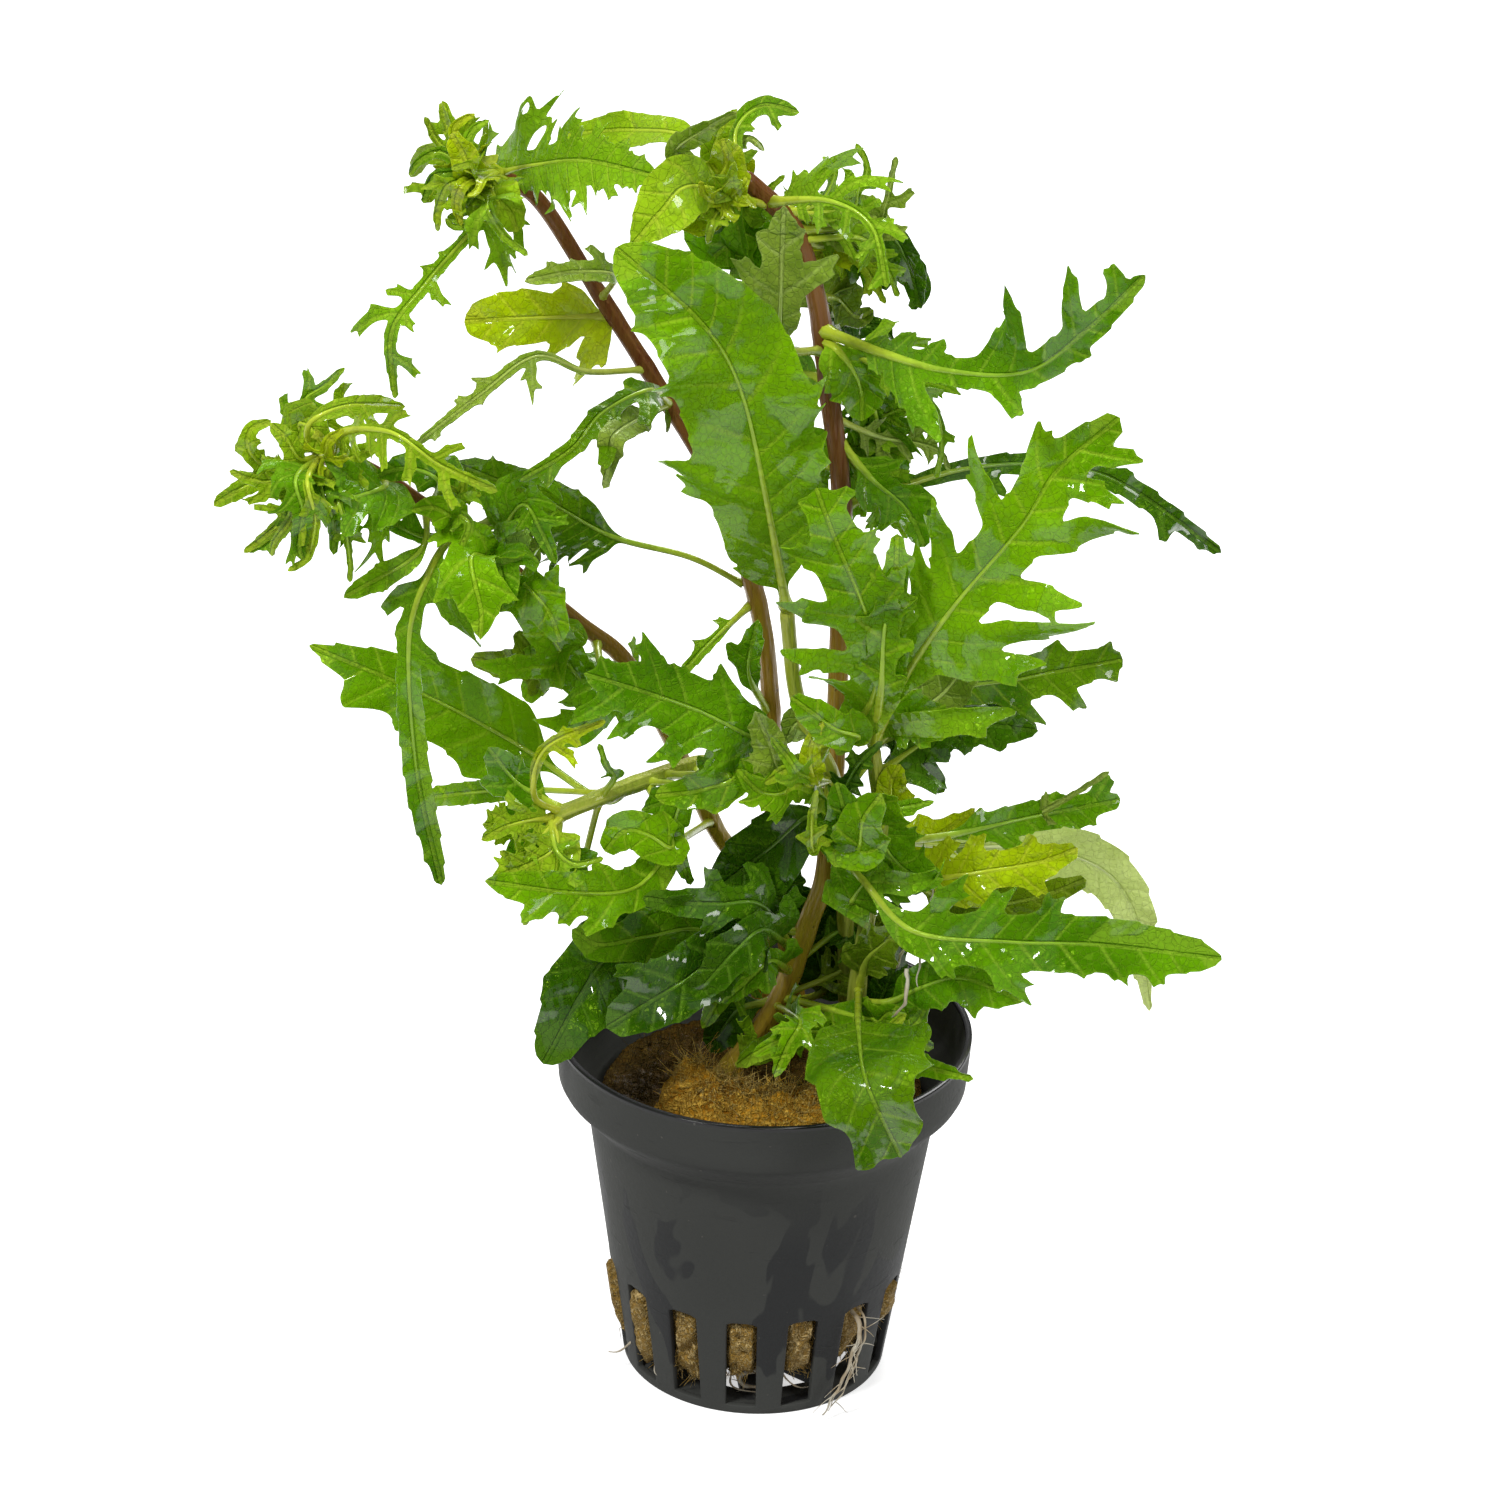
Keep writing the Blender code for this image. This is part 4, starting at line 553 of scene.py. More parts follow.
        (0.65, LIGHT, FINE, 1, 2, 2, 3.1, (3.5, -16, 93.5), (1.5, -17, 96.5), (-0.5, -17, 99)),
        (0.73, BRIGHT, FINE, 1.2, 3, 3, 3.6, (2, -12, 89.5), (-1.5, -14, 90), (-4.5, -15, 93.5)),
        (0.06, LIGHT, BROAD, 1.5, 2, 2, 2.6, (16.5, -12, 55), (19.5, -11, 56), (21, -10, 58.5)),
        (0.06, MID, BROAD, 1.6, 2, 2, 3, (17.5, -9, 52.5), (20, -8, 52), (22, -8, 51)),
        (0.06, YOUNG, BROAD, 1.2, 2, 2, 2.4, (15, -14, 55), (16.5, -15, 58), (18, -15, 59.5)),
    )),
    Cluster("right_middle", RIGHT, (
        (0.6, MID, BROAD, 2.8, 3, 3, 4, (10.5, -5, 70), (12.5, -6, 74), (15.5, -8, 78)),
        (0.3, OLIVE, BROAD, 2.2, 2, 2, 3.6, (13, -6, 62.5), (15, -8, 66), (17.5, -9, 69.5)),
        (0.23, BRIGHT, BROAD, 1.8, 2, 2, 3, (14.5, -8, 54.5), (16, -10, 57), (18, -11, 57.5)),
        (0.2, DARK, BROAD, 2.2, 2, 2, 3, (15.5, 0, 49), (18.5, 0, 50.5), (21, 0, 50)),
        (0.97, DARK, FINE, 0.8, 3, 3, 2.4, (9, -10, 88), (10.5, -12, 93), (13.5, -12, 96.5)),
        (0.91, YELLOW, BROAD, 2.1, 1, 1, 3, (15, -7, 85), (15, -8, 89), (16, -8, 91.5)),
        (1, DARK, BROAD, 1.8, 1, 2, 3.4, (15.5, -2, 92.5), (18, -3, 90.5), (20, -3, 88), (22, -3, 85.5)),
        (0.85, MID, ENTIRE, 1.1, 0, 0, 0, (13.5, -9, 85.5), (17, -10, 86.5), (20.5, -10, 87.5)),
        (1, GREY, ENTIRE, 3.2, 0, 0, 0, (20.5, -5, 99.5), (24, -5, 104), (28.5, -5, 107.5)),
        (1, OLIVE, ENTIRE, 2.8, 0, 0, 0, (13.5, -4, 94), (17.5, -4, 98), (23, -4, 100.5)),
        (1, DARK, BROAD, 2.6, 2, 3, 4, (16, 4, 89.5), (23, 7, 91.5), (29.5, 8, 90.5), (34, 8, 89.5)),
        (0.73, YELLOW, ENTIRE, 2.4, 1, 1, 3, (18, 3, 75), (22.5, 5, 76), (26.5, 5, 79.5)),
        (0.66, YELLOW, BROAD, 2.6, 3, 3, 4.6, (20, -3, 73), (28.5, -4, 75), (35, -3, 76), (39.5, -3, 78)),
        (0.66, OLIVE, BROAD, 2.2, 2, 3, 3.6, (25, -2, 69), (34, -1, 69.5), (41, 0, 72)),
        (0.73, PALE, FINE, 0.5, 3, 2, 2.9, (25, 6, 73.5), (31.5, 8, 75.5), (38, 9, 79), (44, 9, 83.5)),
        (0.2, BRIGHT, ENTIRE, 1.9, 1, 0, 2, (17, -16, 54), (22, -22, 55.5), (26.5, -25, 56)),
        (1, BRIGHT, BROAD, 2.4, 3, 3, 4, (14, -8, 97.5), (17.5, -9, 98.5), (22, -9, 96.5)),
        (0.85, MID, BROAD, 2.8, 3, 3, 4.5, (14, -6, 80), (17.5, -8, 76.5), (22, -9, 76)),
    )),
)


@dataclass
class Skin:
    """The triangles of one piece while it is gathered.

    Points are millimetres. Each point carries two pairs of numbers, which become the UV maps
    "veins" and "blade". Rims are the points whose shared edges stay sharp.
    """

    points: list[Array] = field(default_factory=list)
    faces: list[Array] = field(default_factory=list)
    slots: list[Array] = field(default_factory=list)
    veins: list[Array] = field(default_factory=list)
    blade: list[Array] = field(default_factory=list)
    rims: list[Array] = field(default_factory=list)
    count: int = 0

    def add(
        self,
        points: Array,
        faces: Array,
        slot: int | Array = 0,
        veins: Array | None = None,
        blade: Array | None = None,
        rim: Array | None = None,
    ) -> Skin:
        """Adds a patch.

        Args:
            points: Its points, one a row.
            faces: Its triangles, as rows of numbers of its own points.
            slot: The number of the material, or one for each triangle.
            veins: The pair of numbers of each point for the map "veins".
            blade: The pair of numbers of each point for the map "blade".
            rim: 0 for a point inside, or the number of the sheet whose rim it is on.

        Returns:
            The piece itself.
        """
        none = np.zeros((len(points), 2))
        self.points.append(points)
        self.faces.append(faces + self.count)
        self.slots.append(np.broadcast_to(slot, len(faces)))
        self.veins.append(none if veins is None else veins)
        self.blade.append(none if blade is None else blade)
        self.rims.append(np.zeros(len(points), int) if rim is None else rim)
        self.count += len(points)
        return self

    def mesh(self, name: str) -> Mesh:
        """Puts the patches into one mesh, in metres, with its UV maps and its sharp rims."""
        points = np.vstack(self.points) * MM
        faces = np.vstack(self.faces)
        corners = faces.ravel()
        made = bpy.data.meshes.new(name)
        made.vertices.add(len(points))
        made.vertices.foreach_set("co", points.astype(np.float32).ravel())
        made.loops.add(len(corners))
        made.loops.foreach_set("vertex_index", corners.astype(np.int32))
        made.polygons.add(len(faces))
        made.polygons.foreach_set("loop_start", np.arange(0, len(corners), 3, dtype=np.int32))
        made.polygons.foreach_set("material_index", np.concatenate(self.slots).astype(np.int32))
        made.update(calc_edges=True)
        for title, pairs in (("veins", self.veins), ("blade", self.blade)):
            layer = made.uv_layers.new(name=title)
            layer.data.foreach_set("uv", np.vstack(pairs)[corners].astype(np.float32).ravel())
        made.shade_smooth()
        self.sharpen(made)
        return made

    def sharpen(self, mesh: Mesh) -> None:
        """Marks the edges between two points of the same rim as sharp."""
        rims = np.concatenate(self.rims)
        if not rims.any():
            return
        ends = np.empty(2 * len(mesh.edges), np.int32)
        mesh.edges.foreach_get("vertices", ends)
        ends = rims[ends.reshape(-1, 2)]
        sharp = (ends[:, 0] > 0) & (ends[:, 0] == ends[:, 1])
        mesh.attributes.new("sharp_edge", "BOOLEAN", "EDGE").data.foreach_set("value", sharp)


def linked(name: str, data: bpy.types.ID) -> Object:
    """A new object of the scene that holds the data."""
    made = bpy.data.objects.new(name, data)
    bpy.context.scene.collection.objects.link(made)
    return made


def place(
    name: str,
    mesh: Mesh,
    materials: Sequence[Material],
    replaced: Sequence[str] = (),
) -> Object:
    """Makes a piece of the mesh, puts it on the body and hides the CAD nodes that it stands for.

    Args:
        name: The name of the piece.
        mesh: Its mesh, already in place.
        materials: Its materials, in the order of their numbers.
        replaced: The CAD nodes that it stands for.

    Returns:
        The piece.
    """
    for material in materials:
        mesh.materials.append(material)
    made = linked(name, mesh)
    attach(made, BODY)
    if replaced:
        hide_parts(*replaced)
    log.info("%s: %d triangles", name, len(mesh.polygons))
    return made


def seeded(name: str) -> np.random.Generator:
    """Random numbers that are the same each run for the same name."""
    return np.random.default_rng(zlib.crc32(name.encode()))


def unit(vectors: Array) -> Array:
    """The vectors at length one."""
    return vectors / np.maximum(np.linalg.norm(vectors, axis=-1, keepdims=True), 1e-9)


def step(low: float, high: float, values: Array) -> Array:
    """A smooth rise from 0 at low to 1 at high: 3x^2 - 2x^3 of the clipped share x between them."""
    x = np.clip((values - low) / (high - low), 0, 1)
    return x * x * (3 - 2 * x)


def saw(values: Array) -> Array:
    """Teeth that lean forward: the fractional part to the power 1.6, which rises slowly and drops."""
    return (values - np.floor(values)) ** 1.6


def polar(reach: Array | float, angle: Array, height: Array) -> Array:
    """Points by their reach from the pot's axis, their angle round it and their height."""
    return np.stack([reach * np.cos(angle), reach * np.sin(angle), height], axis=-1)


def open_edges(faces: Array) -> Array:
    """The edges that only one face has, as pairs that run the way of their face."""
    corners = faces.shape[1]
    edges = np.vstack([faces[:, [corner, (corner + 1) % corners]] for corner in range(corners)])
    ordered = np.sort(edges, axis=1)
    key = ordered[:, 0] * (faces.max() + 1) + ordered[:, 1]
    _, first, times = np.unique(key, return_index=True, return_counts=True)
    return edges[first[times == 1]]


def tube_faces(stations: int, sides: int) -> Array:
    """The triangles of a tube of rings, numbered ring by ring, and of the fan that closes each end.

    The middle points of the two fans come after the last ring.
    """
    row, column = np.meshgrid(np.arange(stations - 1), np.arange(sides), indexing="ij")
    here, beside = row * sides + column, row * sides + (column + 1) % sides
    quads = np.stack([here, beside, beside + sides, here + sides], axis=-1).reshape(-1, 4)
    number = np.arange(sides)
    after = (number + 1) % sides
    end = stations * sides
    first = np.stack([np.full(sides, end), after, number], axis=-1)
    last = np.stack([np.full(sides, end + 1), end - sides + number, end - sides + after], axis=-1)
    return np.vstack([quads[:, [0, 1, 2]], quads[:, [0, 2, 3]], first, last])


def tubes(paths: Array, radii: Array, sides: int) -> tuple[Array, Array]:
    """Closed tubes along many paths at once.

    A ring point is the path's point + radius x (cos angle x side + sin angle x up), where side is
    square to the path's direction and to one fixed vector a path. Each end is closed by a fan round
    the path's own end point.

    Args:
        paths: Points, as paths x stations x 3.
        radii: The radius, as paths x stations, or paths x stations x sides for a fluted tube.
        sides: How many points a ring has.

    Returns:
        The points and the triangles.
    """
    count, stations = paths.shape[:2]
    along = unit(np.gradient(paths, axis=1))
    mean = np.abs(along.mean(axis=1))
    fixed = np.eye(3)[np.argmin(mean, axis=1)][:, None, :]
    side = unit(np.cross(along, fixed))
    up = np.cross(along, side)
    angle = np.linspace(0, math.tau, sides, endpoint=False)
    if radii.ndim == 2:
        radii = radii[:, :, None]
    turned = (np.cos(angle)[:, None] * side[:, :, None, :] + np.sin(angle)[:, None] * up[:, :, None, :])
    rings = (paths[:, :, None, :] + radii[..., None] * turned).reshape(-1, 3)
    own = stations * sides
    ends = np.stack([paths[:, 0], paths[:, -1]], axis=1)
    points = np.concatenate([rings.reshape(count, own, 3), ends], axis=1).reshape(-1, 3)
    numbers = (np.arange(count) * (own + 2))[:, None, None]
    return points, (tube_faces(stations, sides)[None] + numbers).reshape(-1, 3)


class Route:
    """A smooth curve through points, read by the share of its length."""

    STATIONS = 241
    NEAR = 0.02
    STRIDE = 12
    WINDOW = 4

    def __init__(
        self, points: Sequence[Sequence[float]], straight: bool = False, roll: float = 0.0
    ) -> None:
        """Works out the curve and the directions of a blade that lies along it.

        Between two points p1, p2 with the neighbours p0, p3 a Catmull-Rom span is half of
        2 p1 + (p2 - p0) t + (2 p0 - 5 p1 + 4 p2 - p3) t^2 + (3 p1 - p0 - 3 p2 + p3) t^3.
        side is the vector to the left as seen from the front: the mean of front x direction over the
        neighbourhood, made square to the path and rolled.

        Args:
            points: The points, in millimetres.
            straight: Whether the path runs straight between them.
            roll: How far a blade is turned about the path, in degrees.
        """
        given = np.array(points, float)
        held = np.vstack([2 * given[0] - given[1], given, 2 * given[-1] - given[-2]])
        t = np.linspace(0, 1, 24, endpoint=False)[:, None]
        spans = []
        for a, b, c, d in zip(held, held[1:], held[2:], held[3:]):
            curved = 0.5 * (2 * b + (c - a) * t + (2 * a - 5 * b + 4 * c - d) * t**2
                            + (3 * b - a - 3 * c + d) * t**3)
            spans.append(b + (c - b) * t if straight else curved)
        self.points = np.vstack([*spans, given[-1:]])
        run = np.concatenate([[0], np.cumsum(np.linalg.norm(np.diff(self.points, axis=0), axis=1))])
        self.length = float(run[-1])
        self.shares = run / run[-1]
        self.read_at = np.linspace(0, 1, self.STATIONS)
        before, after = np.maximum(self.read_at - self.NEAR, 0), np.minimum(self.read_at + self.NEAR, 1)
        self.along = unit(self.at(after) - self.at(before))
        self.side = self.left(roll)

    @staticmethod
    def between(shares: Array, known: Array, vectors: Array) -> Array:
        """The vectors at some shares of the length, straight between the known ones."""
        return np.stack([np.interp(shares, known, column) for column in vectors.T], axis=-1)

    def at(self, shares: Array) -> Array:
        """The points at shares of the length."""
        return self.between(shares, self.shares, self.points)

    def left(self, roll: float) -> Array:
        """The vectors to the left of the path at its stations."""
        crossed = np.cross(FRONT, self.along)
        total = np.zeros_like(crossed)
        numbers = np.arange(self.STATIONS)
        for near in range(-self.WINDOW, self.WINDOW + 1):
            beside = np.clip(numbers + near * self.STRIDE, 0, self.STATIONS - 1)
            total += crossed[beside] * (self.WINDOW + 1 - abs(near))
        total -= (total * self.along).sum(axis=1, keepdims=True) * self.along
        side = unit(total)
        turn = math.radians(roll)
        return side * math.cos(turn) + np.cross(self.along, side) * math.sin(turn)

    def directions(self, shares: Array) -> tuple[Array, Array, Array]:
        """The unit vectors along the path, to its left, and out of the blade, at shares of the length."""
        along = unit(self.between(shares, self.read_at, self.along))
        side = unit(self.between(shares, self.read_at, self.side))
        return along, side, np.cross(along, side)


class Outline:
    """Fills the part of a plane where a field is above zero with small triangles.

    The corners of a cell are a, b, c, d and its sides 0 to 3 from a-b round to d-a. FILL gives, for
    each set of corners inside (a = 1, b = 2, c = 4, d = 8), the polygon that is filled.
    """

    FILL = {
        1: (0, 4, 7), 2: (1, 5, 4), 3: (0, 1, 5, 7), 4: (2, 6, 5), 5: (0, 4, 5, 2, 6, 7),
        6: (1, 2, 6, 4), 7: (0, 1, 2, 6, 7), 8: (3, 7, 6), 9: (0, 4, 6, 3), 10: (1, 5, 6, 3, 7, 4),
        11: (0, 1, 5, 6, 3), 12: (2, 3, 7, 5), 13: (0, 4, 5, 2, 3), 14: (1, 2, 3, 7, 4), 15: (0, 1, 2, 3),
    }
    NEAREST = 0.08

    def __init__(self, across: Array, up: Array, value: Array) -> None:
        """Works out the triangles.

        A point on a side of a cell is where the field, taken as straight between the two corners,
        is zero, but never nearer to a corner than the share NEAREST of the side.

        Args:
            across: The first coordinate of the grid's columns.
            up: The second coordinate of the grid's rows.
            value: The field, as columns x rows.
        """
        inside = value > 0
        columns, rows = value.shape
        number = np.arange(value.size).reshape(value.shape)
        code = (inside[:-1, :-1] * 1 + inside[1:, :-1] * 2 + inside[1:, 1:] * 4 + inside[:-1, 1:] * 8)
        flat = number.size + number
        tall = 2 * number.size + number
        cells = np.stack([
            number[:-1, :-1], number[1:, :-1], number[1:, 1:], number[:-1, 1:],
            flat[:-1, :-1], tall[1:, :-1], flat[:-1, 1:], tall[:-1, :-1],
        ], axis=-1)
        triangles = []
        for case, polygon in self.FILL.items():
            chosen = cells[code == case][:, polygon]
            for corner in range(1, len(polygon) - 1):
                triangles.append(chosen[:, [0, corner, corner + 1]])
        used, faces = np.unique(np.vstack(triangles), return_inverse=True)
        self.faces = faces.reshape(-1, 3)
        kind, node = used // number.size, used % number.size
        column, row = node // rows, node % rows
        next_column = np.minimum(column + (kind == 1), columns - 1)
        next_row = np.minimum(row + (kind == 2), rows - 1)
        here, there = value[column, row], value[next_column, next_row]
        on_side = kind > 0
        gap = np.where(on_side & (here != there), here - there, 1)
        t = np.where(on_side, np.clip(here / gap, self.NEAREST, 1 - self.NEAREST), 0)
        self.across = across[column] + t * (across[next_column] - across[column])
        self.up = up[row] + t * (up[next_row] - up[row])


def sheet(points: Array, outline: Outline, thickness: Array) -> tuple[Array, Array, Array, Array]:
    """Gives a surface a thickness.

    Each point moves half the thickness both ways along its normal, which is the sum of its
    triangles' cross products at length one, and a strip of triangles closes the rim.

    Args:
        points: The points of the surface.
        outline: Its triangles.
        thickness: The thickness at each point.

    Returns:
        The points of both sheets, the faces of the front sheet with the rim, those of the back, and
        a number for each point: 0 inside, 1 on the rim of the front sheet and 2 on that of the back.
    """
    corner = points[outline.faces]
    cross = np.cross(corner[:, 1] - corner[:, 0], corner[:, 2] - corner[:, 0])
    normal = np.zeros_like(points)
    for axis in range(3):
        for numbers in outline.faces.T:
            normal[:, axis] += np.bincount(numbers, cross[:, axis], len(points))
    away = unit(normal) * thickness[:, None] / 2
    count = len(points)
    rim = open_edges(outline.faces)
    strip = np.vstack([
        np.stack([rim[:, 1], rim[:, 0], rim[:, 0] + count], axis=-1),
        np.stack([rim[:, 1], rim[:, 0] + count, rim[:, 1] + count], axis=-1),
    ])
    front = np.vstack([outline.faces, strip])
    back = outline.faces[:, ::-1] + count
    edge = np.zeros(count, int)
    edge[rim.ravel()] = 1
    return np.vstack([points + away, points - away]), front, back, np.concatenate([edge, 2 * edge])


class Blade:
    """One leaf's surface: its outline, its relief and where it lies in space.

    In the leaf's own plane s runs along the midrib and v across it, positive to the left. By the
    cut, BLENDS is how softly the lobes run together, TEETH the pitch and the height of the
    saw-teeth, WIDTHS a lobe's half width as (share of its reach, millimetres more) and ENDS how
    bluntly it ends. BEND is how fast the side veins turn forward, FOLD the rise of each half away
    from the midrib and NARROWED what the fold leaves of the width.
    """

    CELL = 0.45
    STALK = 0.5
    RISE = 0.16
    TAPER_FROM = 0.7
    TAPER = 0.65
    FOLD = 0.26
    NARROWED = 0.966
    SLOPE = 0.72
    SLOPE_FINE = 0.62
    BEND = 0.018
    GAP = 2.2
    LONG = 14.0
    SLIM = 1.2
    SIDES = (1, -1)
    RIB_SIDES = 8
    BLENDS = {FINE: 0.22, BROAD: 0.32, ENTIRE: 0.8}
    TEETH = {FINE: (2.3, 0.16), BROAD: (4.2, 0.3), ENTIRE: (4.6, 0.42)}
    WIDTHS = {FINE: (0.035, 0.34), BROAD: (0.07, 0.6), ENTIRE: (0.16, 0.9)}
    WIDTHS_SMALL = (0.03, 0.26)
    ENDS = {FINE: 2.4, BROAD: 2.9, ENTIRE: 6.0}

    def __init__(self, leaf: Leaf, stem: Stem, coarse: float = 1.0) -> None:
        """Lays the midrib from inside the stem and draws the chances of this leaf.

        Args:
            leaf: The leaf.
            stem: The stem that it grows from.
            coarse: How much larger its triangles are than usual.
        """
        self.leaf = leaf
        self.coarse = coarse
        self.route = Route([self.foot(leaf, stem), *leaf.midrib], roll=leaf.roll)
        self.length = self.route.length
        self.chance = seeded(leaf.name)
        self.phase_at = self.chance.uniform(0, math.tau)
        self.fine = leaf.cut is FINE
        self.leans = {sign: self.chance.uniform(-0.08, 0.08, 20) for sign in self.SIDES}
        lobes = [*leaf.left, *leaf.right]
        self.reach = max([lobe[1] for lobe in lobes] + [leaf.half_width])
        lowest = min([lobe[0] - 0.5 * lobe[1] / self.length for lobe in lobes], default=0.3)
        self.start = min(max(lowest - 0.06, 0.05), leaf.stalk)
        self.feet = {1: self.lobes(leaf.left, 1), -1: self.lobes(leaf.right, -1)}
        self.widths = self.WIDTHS[leaf.cut]
        if self.fine and self.length < self.LONG:
            self.widths = self.WIDTHS_SMALL
        self.teeth_of_lobes = self.spurs()

    @staticmethod
    def foot(leaf: Leaf, stem: Stem) -> Array:
        """A point under the stem's skin, on the side of the leaf.

        It lies half the radius out, mostly square to the stem, or 0.2 mm out at the stem's very end.
        """
        path = Route(stem.points, straight=True)
        share = np.array([leaf.share])
        middle = path.at(share)[0]
        radius = stem.radius + (stem.tip_radius - stem.radius) * leaf.share
        away = unit(np.array(leaf.midrib[0], float) - middle)
        if leaf.share < 0.99:
            along = path.directions(share)[0][0]
            away = unit(away - 0.75 * (away @ along) * along)
            return middle + away * radius * 0.5
        return middle + away * 0.2

    def curve(self, across: Array | float, slope: float) -> Array | float:
        """How far a side vein has run forward at a reach v: slope x v + BEND x v^2."""
        return slope * across + self.BEND * across**2

    def lobes(self, given: tuple[Lobe, ...], sign: int) -> list[tuple[float, float, float]]:
        """The lobes of a side by their feet, as (foot along the midrib, reach, slope).

        The slope is the lobe's own, or the usual one with its chance lean, or less where the foot
        would come too near the stem. A finely cut leaf that is long and not slim gets a shorter
        lobe in every wide gap between two feet.
        """
        found = []
        usual = self.SLOPE_FINE if self.fine else self.SLOPE
        for number, (tip, reach, *own) in enumerate(given):
            most = (tip - 0.07) * self.length / reach - self.BEND * reach
            slope = own[0] if own else max(min(usual + self.leans[sign][number], most), 0.1)
            found.append((tip * self.length - self.curve(reach, slope), reach, slope))
        found.sort()
        if not self.fine or self.length < self.LONG or self.leaf.half_width < self.SLIM:
            return found
        between = [((a[0] + b[0]) / 2, 0.36 * (a[1] + b[1]), (a[2] + b[2]) / 2)
                   for a, b in zip(found, found[1:]) if b[0] - a[0] > self.GAP]
        return sorted(found + between)

    def half(self, s: Array) -> Array:
        """Half the width of the blade without its lobes.

        A cut or blunt leaf has a stalk, a rise to 0.7 of its width, a slower swelling to nearly all
        of it and a taper by the square of the share beyond TAPER_FROM. Any other leaf swells as
        sin(pi x^0.85)^0.75. Both end in a point.
        """
        u = np.clip(s / self.length, 0, 1)
        stalk = self.STALK * (0.8 if self.fine else 1) * self.leaf.rib
        if self.leaf.cut is ENTIRE and not self.leaf.blunt:
            x = np.clip((u - 0.12) / 0.88, 0, 1)
            full = self.leaf.half_width * np.sin(math.pi * x**0.85) ** 0.75
        else:
            fall = np.clip((u - self.TAPER_FROM) / (1 - self.TAPER_FROM), 0, 1)
            swell = 0.7 + 0.28 * step(self.start, 0.6, u)
            full = self.leaf.half_width * swell * (1 - self.TAPER * fall * fall)
        width = stalk + (np.maximum(full, stalk) - stalk) * step(self.start, self.start + self.RISE, u)
        left = np.clip(self.length - s, 0, None)
        point = 1.9 * left**0.5 if self.leaf.blunt else 0.9 * left**0.8
        return np.where(s < 0, stalk + s, np.minimum(width, point) - np.clip(s - self.length, 0, None))

    def teeth(self, s: Array, across: Array, sign: Array) -> Array:
        """Saw-teeth of the margin, which lean towards the tip and fade out on the stalk."""
        pitch, high = self.TEETH[self.leaf.cut]
        place_of = (s - 0.4 * across) / pitch + self.phase_at + 0.37 * sign
        fade = step(self.start + 0.1, self.start + 0.3, s / self.length)
        return high * (saw(place_of) - 0.4) * fade

    def lobe(self, s: Array, across: Array, foot: float, reach: float, slope: float) -> Array:
        """The field of one lobe: a finger along its own vein.

        With q how far a point lies ahead of the vein and d = |q| / sqrt(1 + slope^2), the field is
        width x (0.8 + 0.4 sin(pi t)) (1 - t^end) - d, where t is the share of the reach and end
        goes by the cut.
        """
        q = s - self.curve(across, slope) - foot
        steep = slope + 2 * self.BEND * across
        away = np.abs(q) / np.sqrt(1 + steep * steep)
        t = np.clip(across / reach, 0, 1)
        width = self.widths[0] * reach + self.widths[1]
        shape = (0.8 + 0.4 * np.sin(math.pi * t)) * (1 - t ** self.ENDS[self.leaf.cut])
        return width * shape - away - np.clip(across - reach, 0, None)

    def spurs(self) -> list[tuple[int, Array, Array, float]]:
        """The pointed teeth of the lobes, as (side, foot, tip, half width), feet and tips as (s, v).

        Each stands on its lobe's vein at a share of the reach and leaves it at 24 to 42 degrees,
        on the two sides of the lobe in turn, mostly the side of the leaf's foot first. The lobes of
        an entire leaf and the shortest ones have none.
        """
        found = []
        if self.leaf.cut is ENTIRE:
            return found
        for sign in self.SIDES:
            for foot, reach, slope in self.feet[sign]:
                if reach < 1.6:
                    continue
                count = 1 + int(reach > 3.2) + int(reach > 8)
                shares = np.linspace(0.3, 0.6, count) + self.chance.uniform(-0.06, 0.06, count)
                turn = self.chance.choice([-1, 1, 1])
                for number, t in enumerate(shares):
                    v = t * reach
                    along = math.atan2(1.0, slope + 2 * self.BEND * v)
                    away = math.radians(self.chance.uniform(24, 42)) * turn * (-1) ** number
                    long = min(reach, 8.5) * self.chance.uniform(0.2, 0.34) + 0.8
                    start = np.array((foot + self.curve(v, slope), v))
                    tip = start + long * np.array((math.cos(along + away), math.sin(along + away)))
                    thick = 0.6 * self.widths[0] * reach + 0.85 * self.widths[1]
                    found.append((sign, start, tip, thick))
        return found

    @staticmethod
    def spur(s: Array, across: Array, start: Array, tip: Array, thick: float) -> Array:
        """The field of a pointed tooth: thick x (1 - h^2) - distance to the line from foot to tip.

        h is the share of the line at the nearest point.
        """
        line = tip - start
        h = np.clip(((s - start[0]) * line[0] + (across - start[1]) * line[1]) / (line @ line), 0, 1)
        away = np.hypot(s - start[0] - h * line[0], across - start[1] - h * line[1])
        return thick * (1 - h * h) - away

    def depth(self, s: Array, v: Array) -> Array:
        """How deep a point lies inside the leaf, in millimetres.

        The field is k log(sum exp(f / k)) over the midrib's stroke, half + teeth - |v|, the lobes
        and their pointed teeth, which is a smooth greatest of them.
        """
        across = np.abs(v)
        side = np.where(v >= 0, 1, -1)
        blend = self.BLENDS[self.leaf.cut]
        total = np.exp(np.clip((self.half(s) + self.teeth(s, across, side) - across) / blend, -40, 40))
        fields = [(sign, self.lobe(s, across, *lobe)) for sign in self.SIDES for lobe in self.feet[sign]]
        fields += [(sign, self.spur(s, across, *spur)) for sign, *spur in self.teeth_of_lobes]
        for sign, own in fields:
            total += np.where(side == sign, np.exp(np.clip(own / blend, -40, 40)), 0)
        return blend * np.log(total + 1e-18)

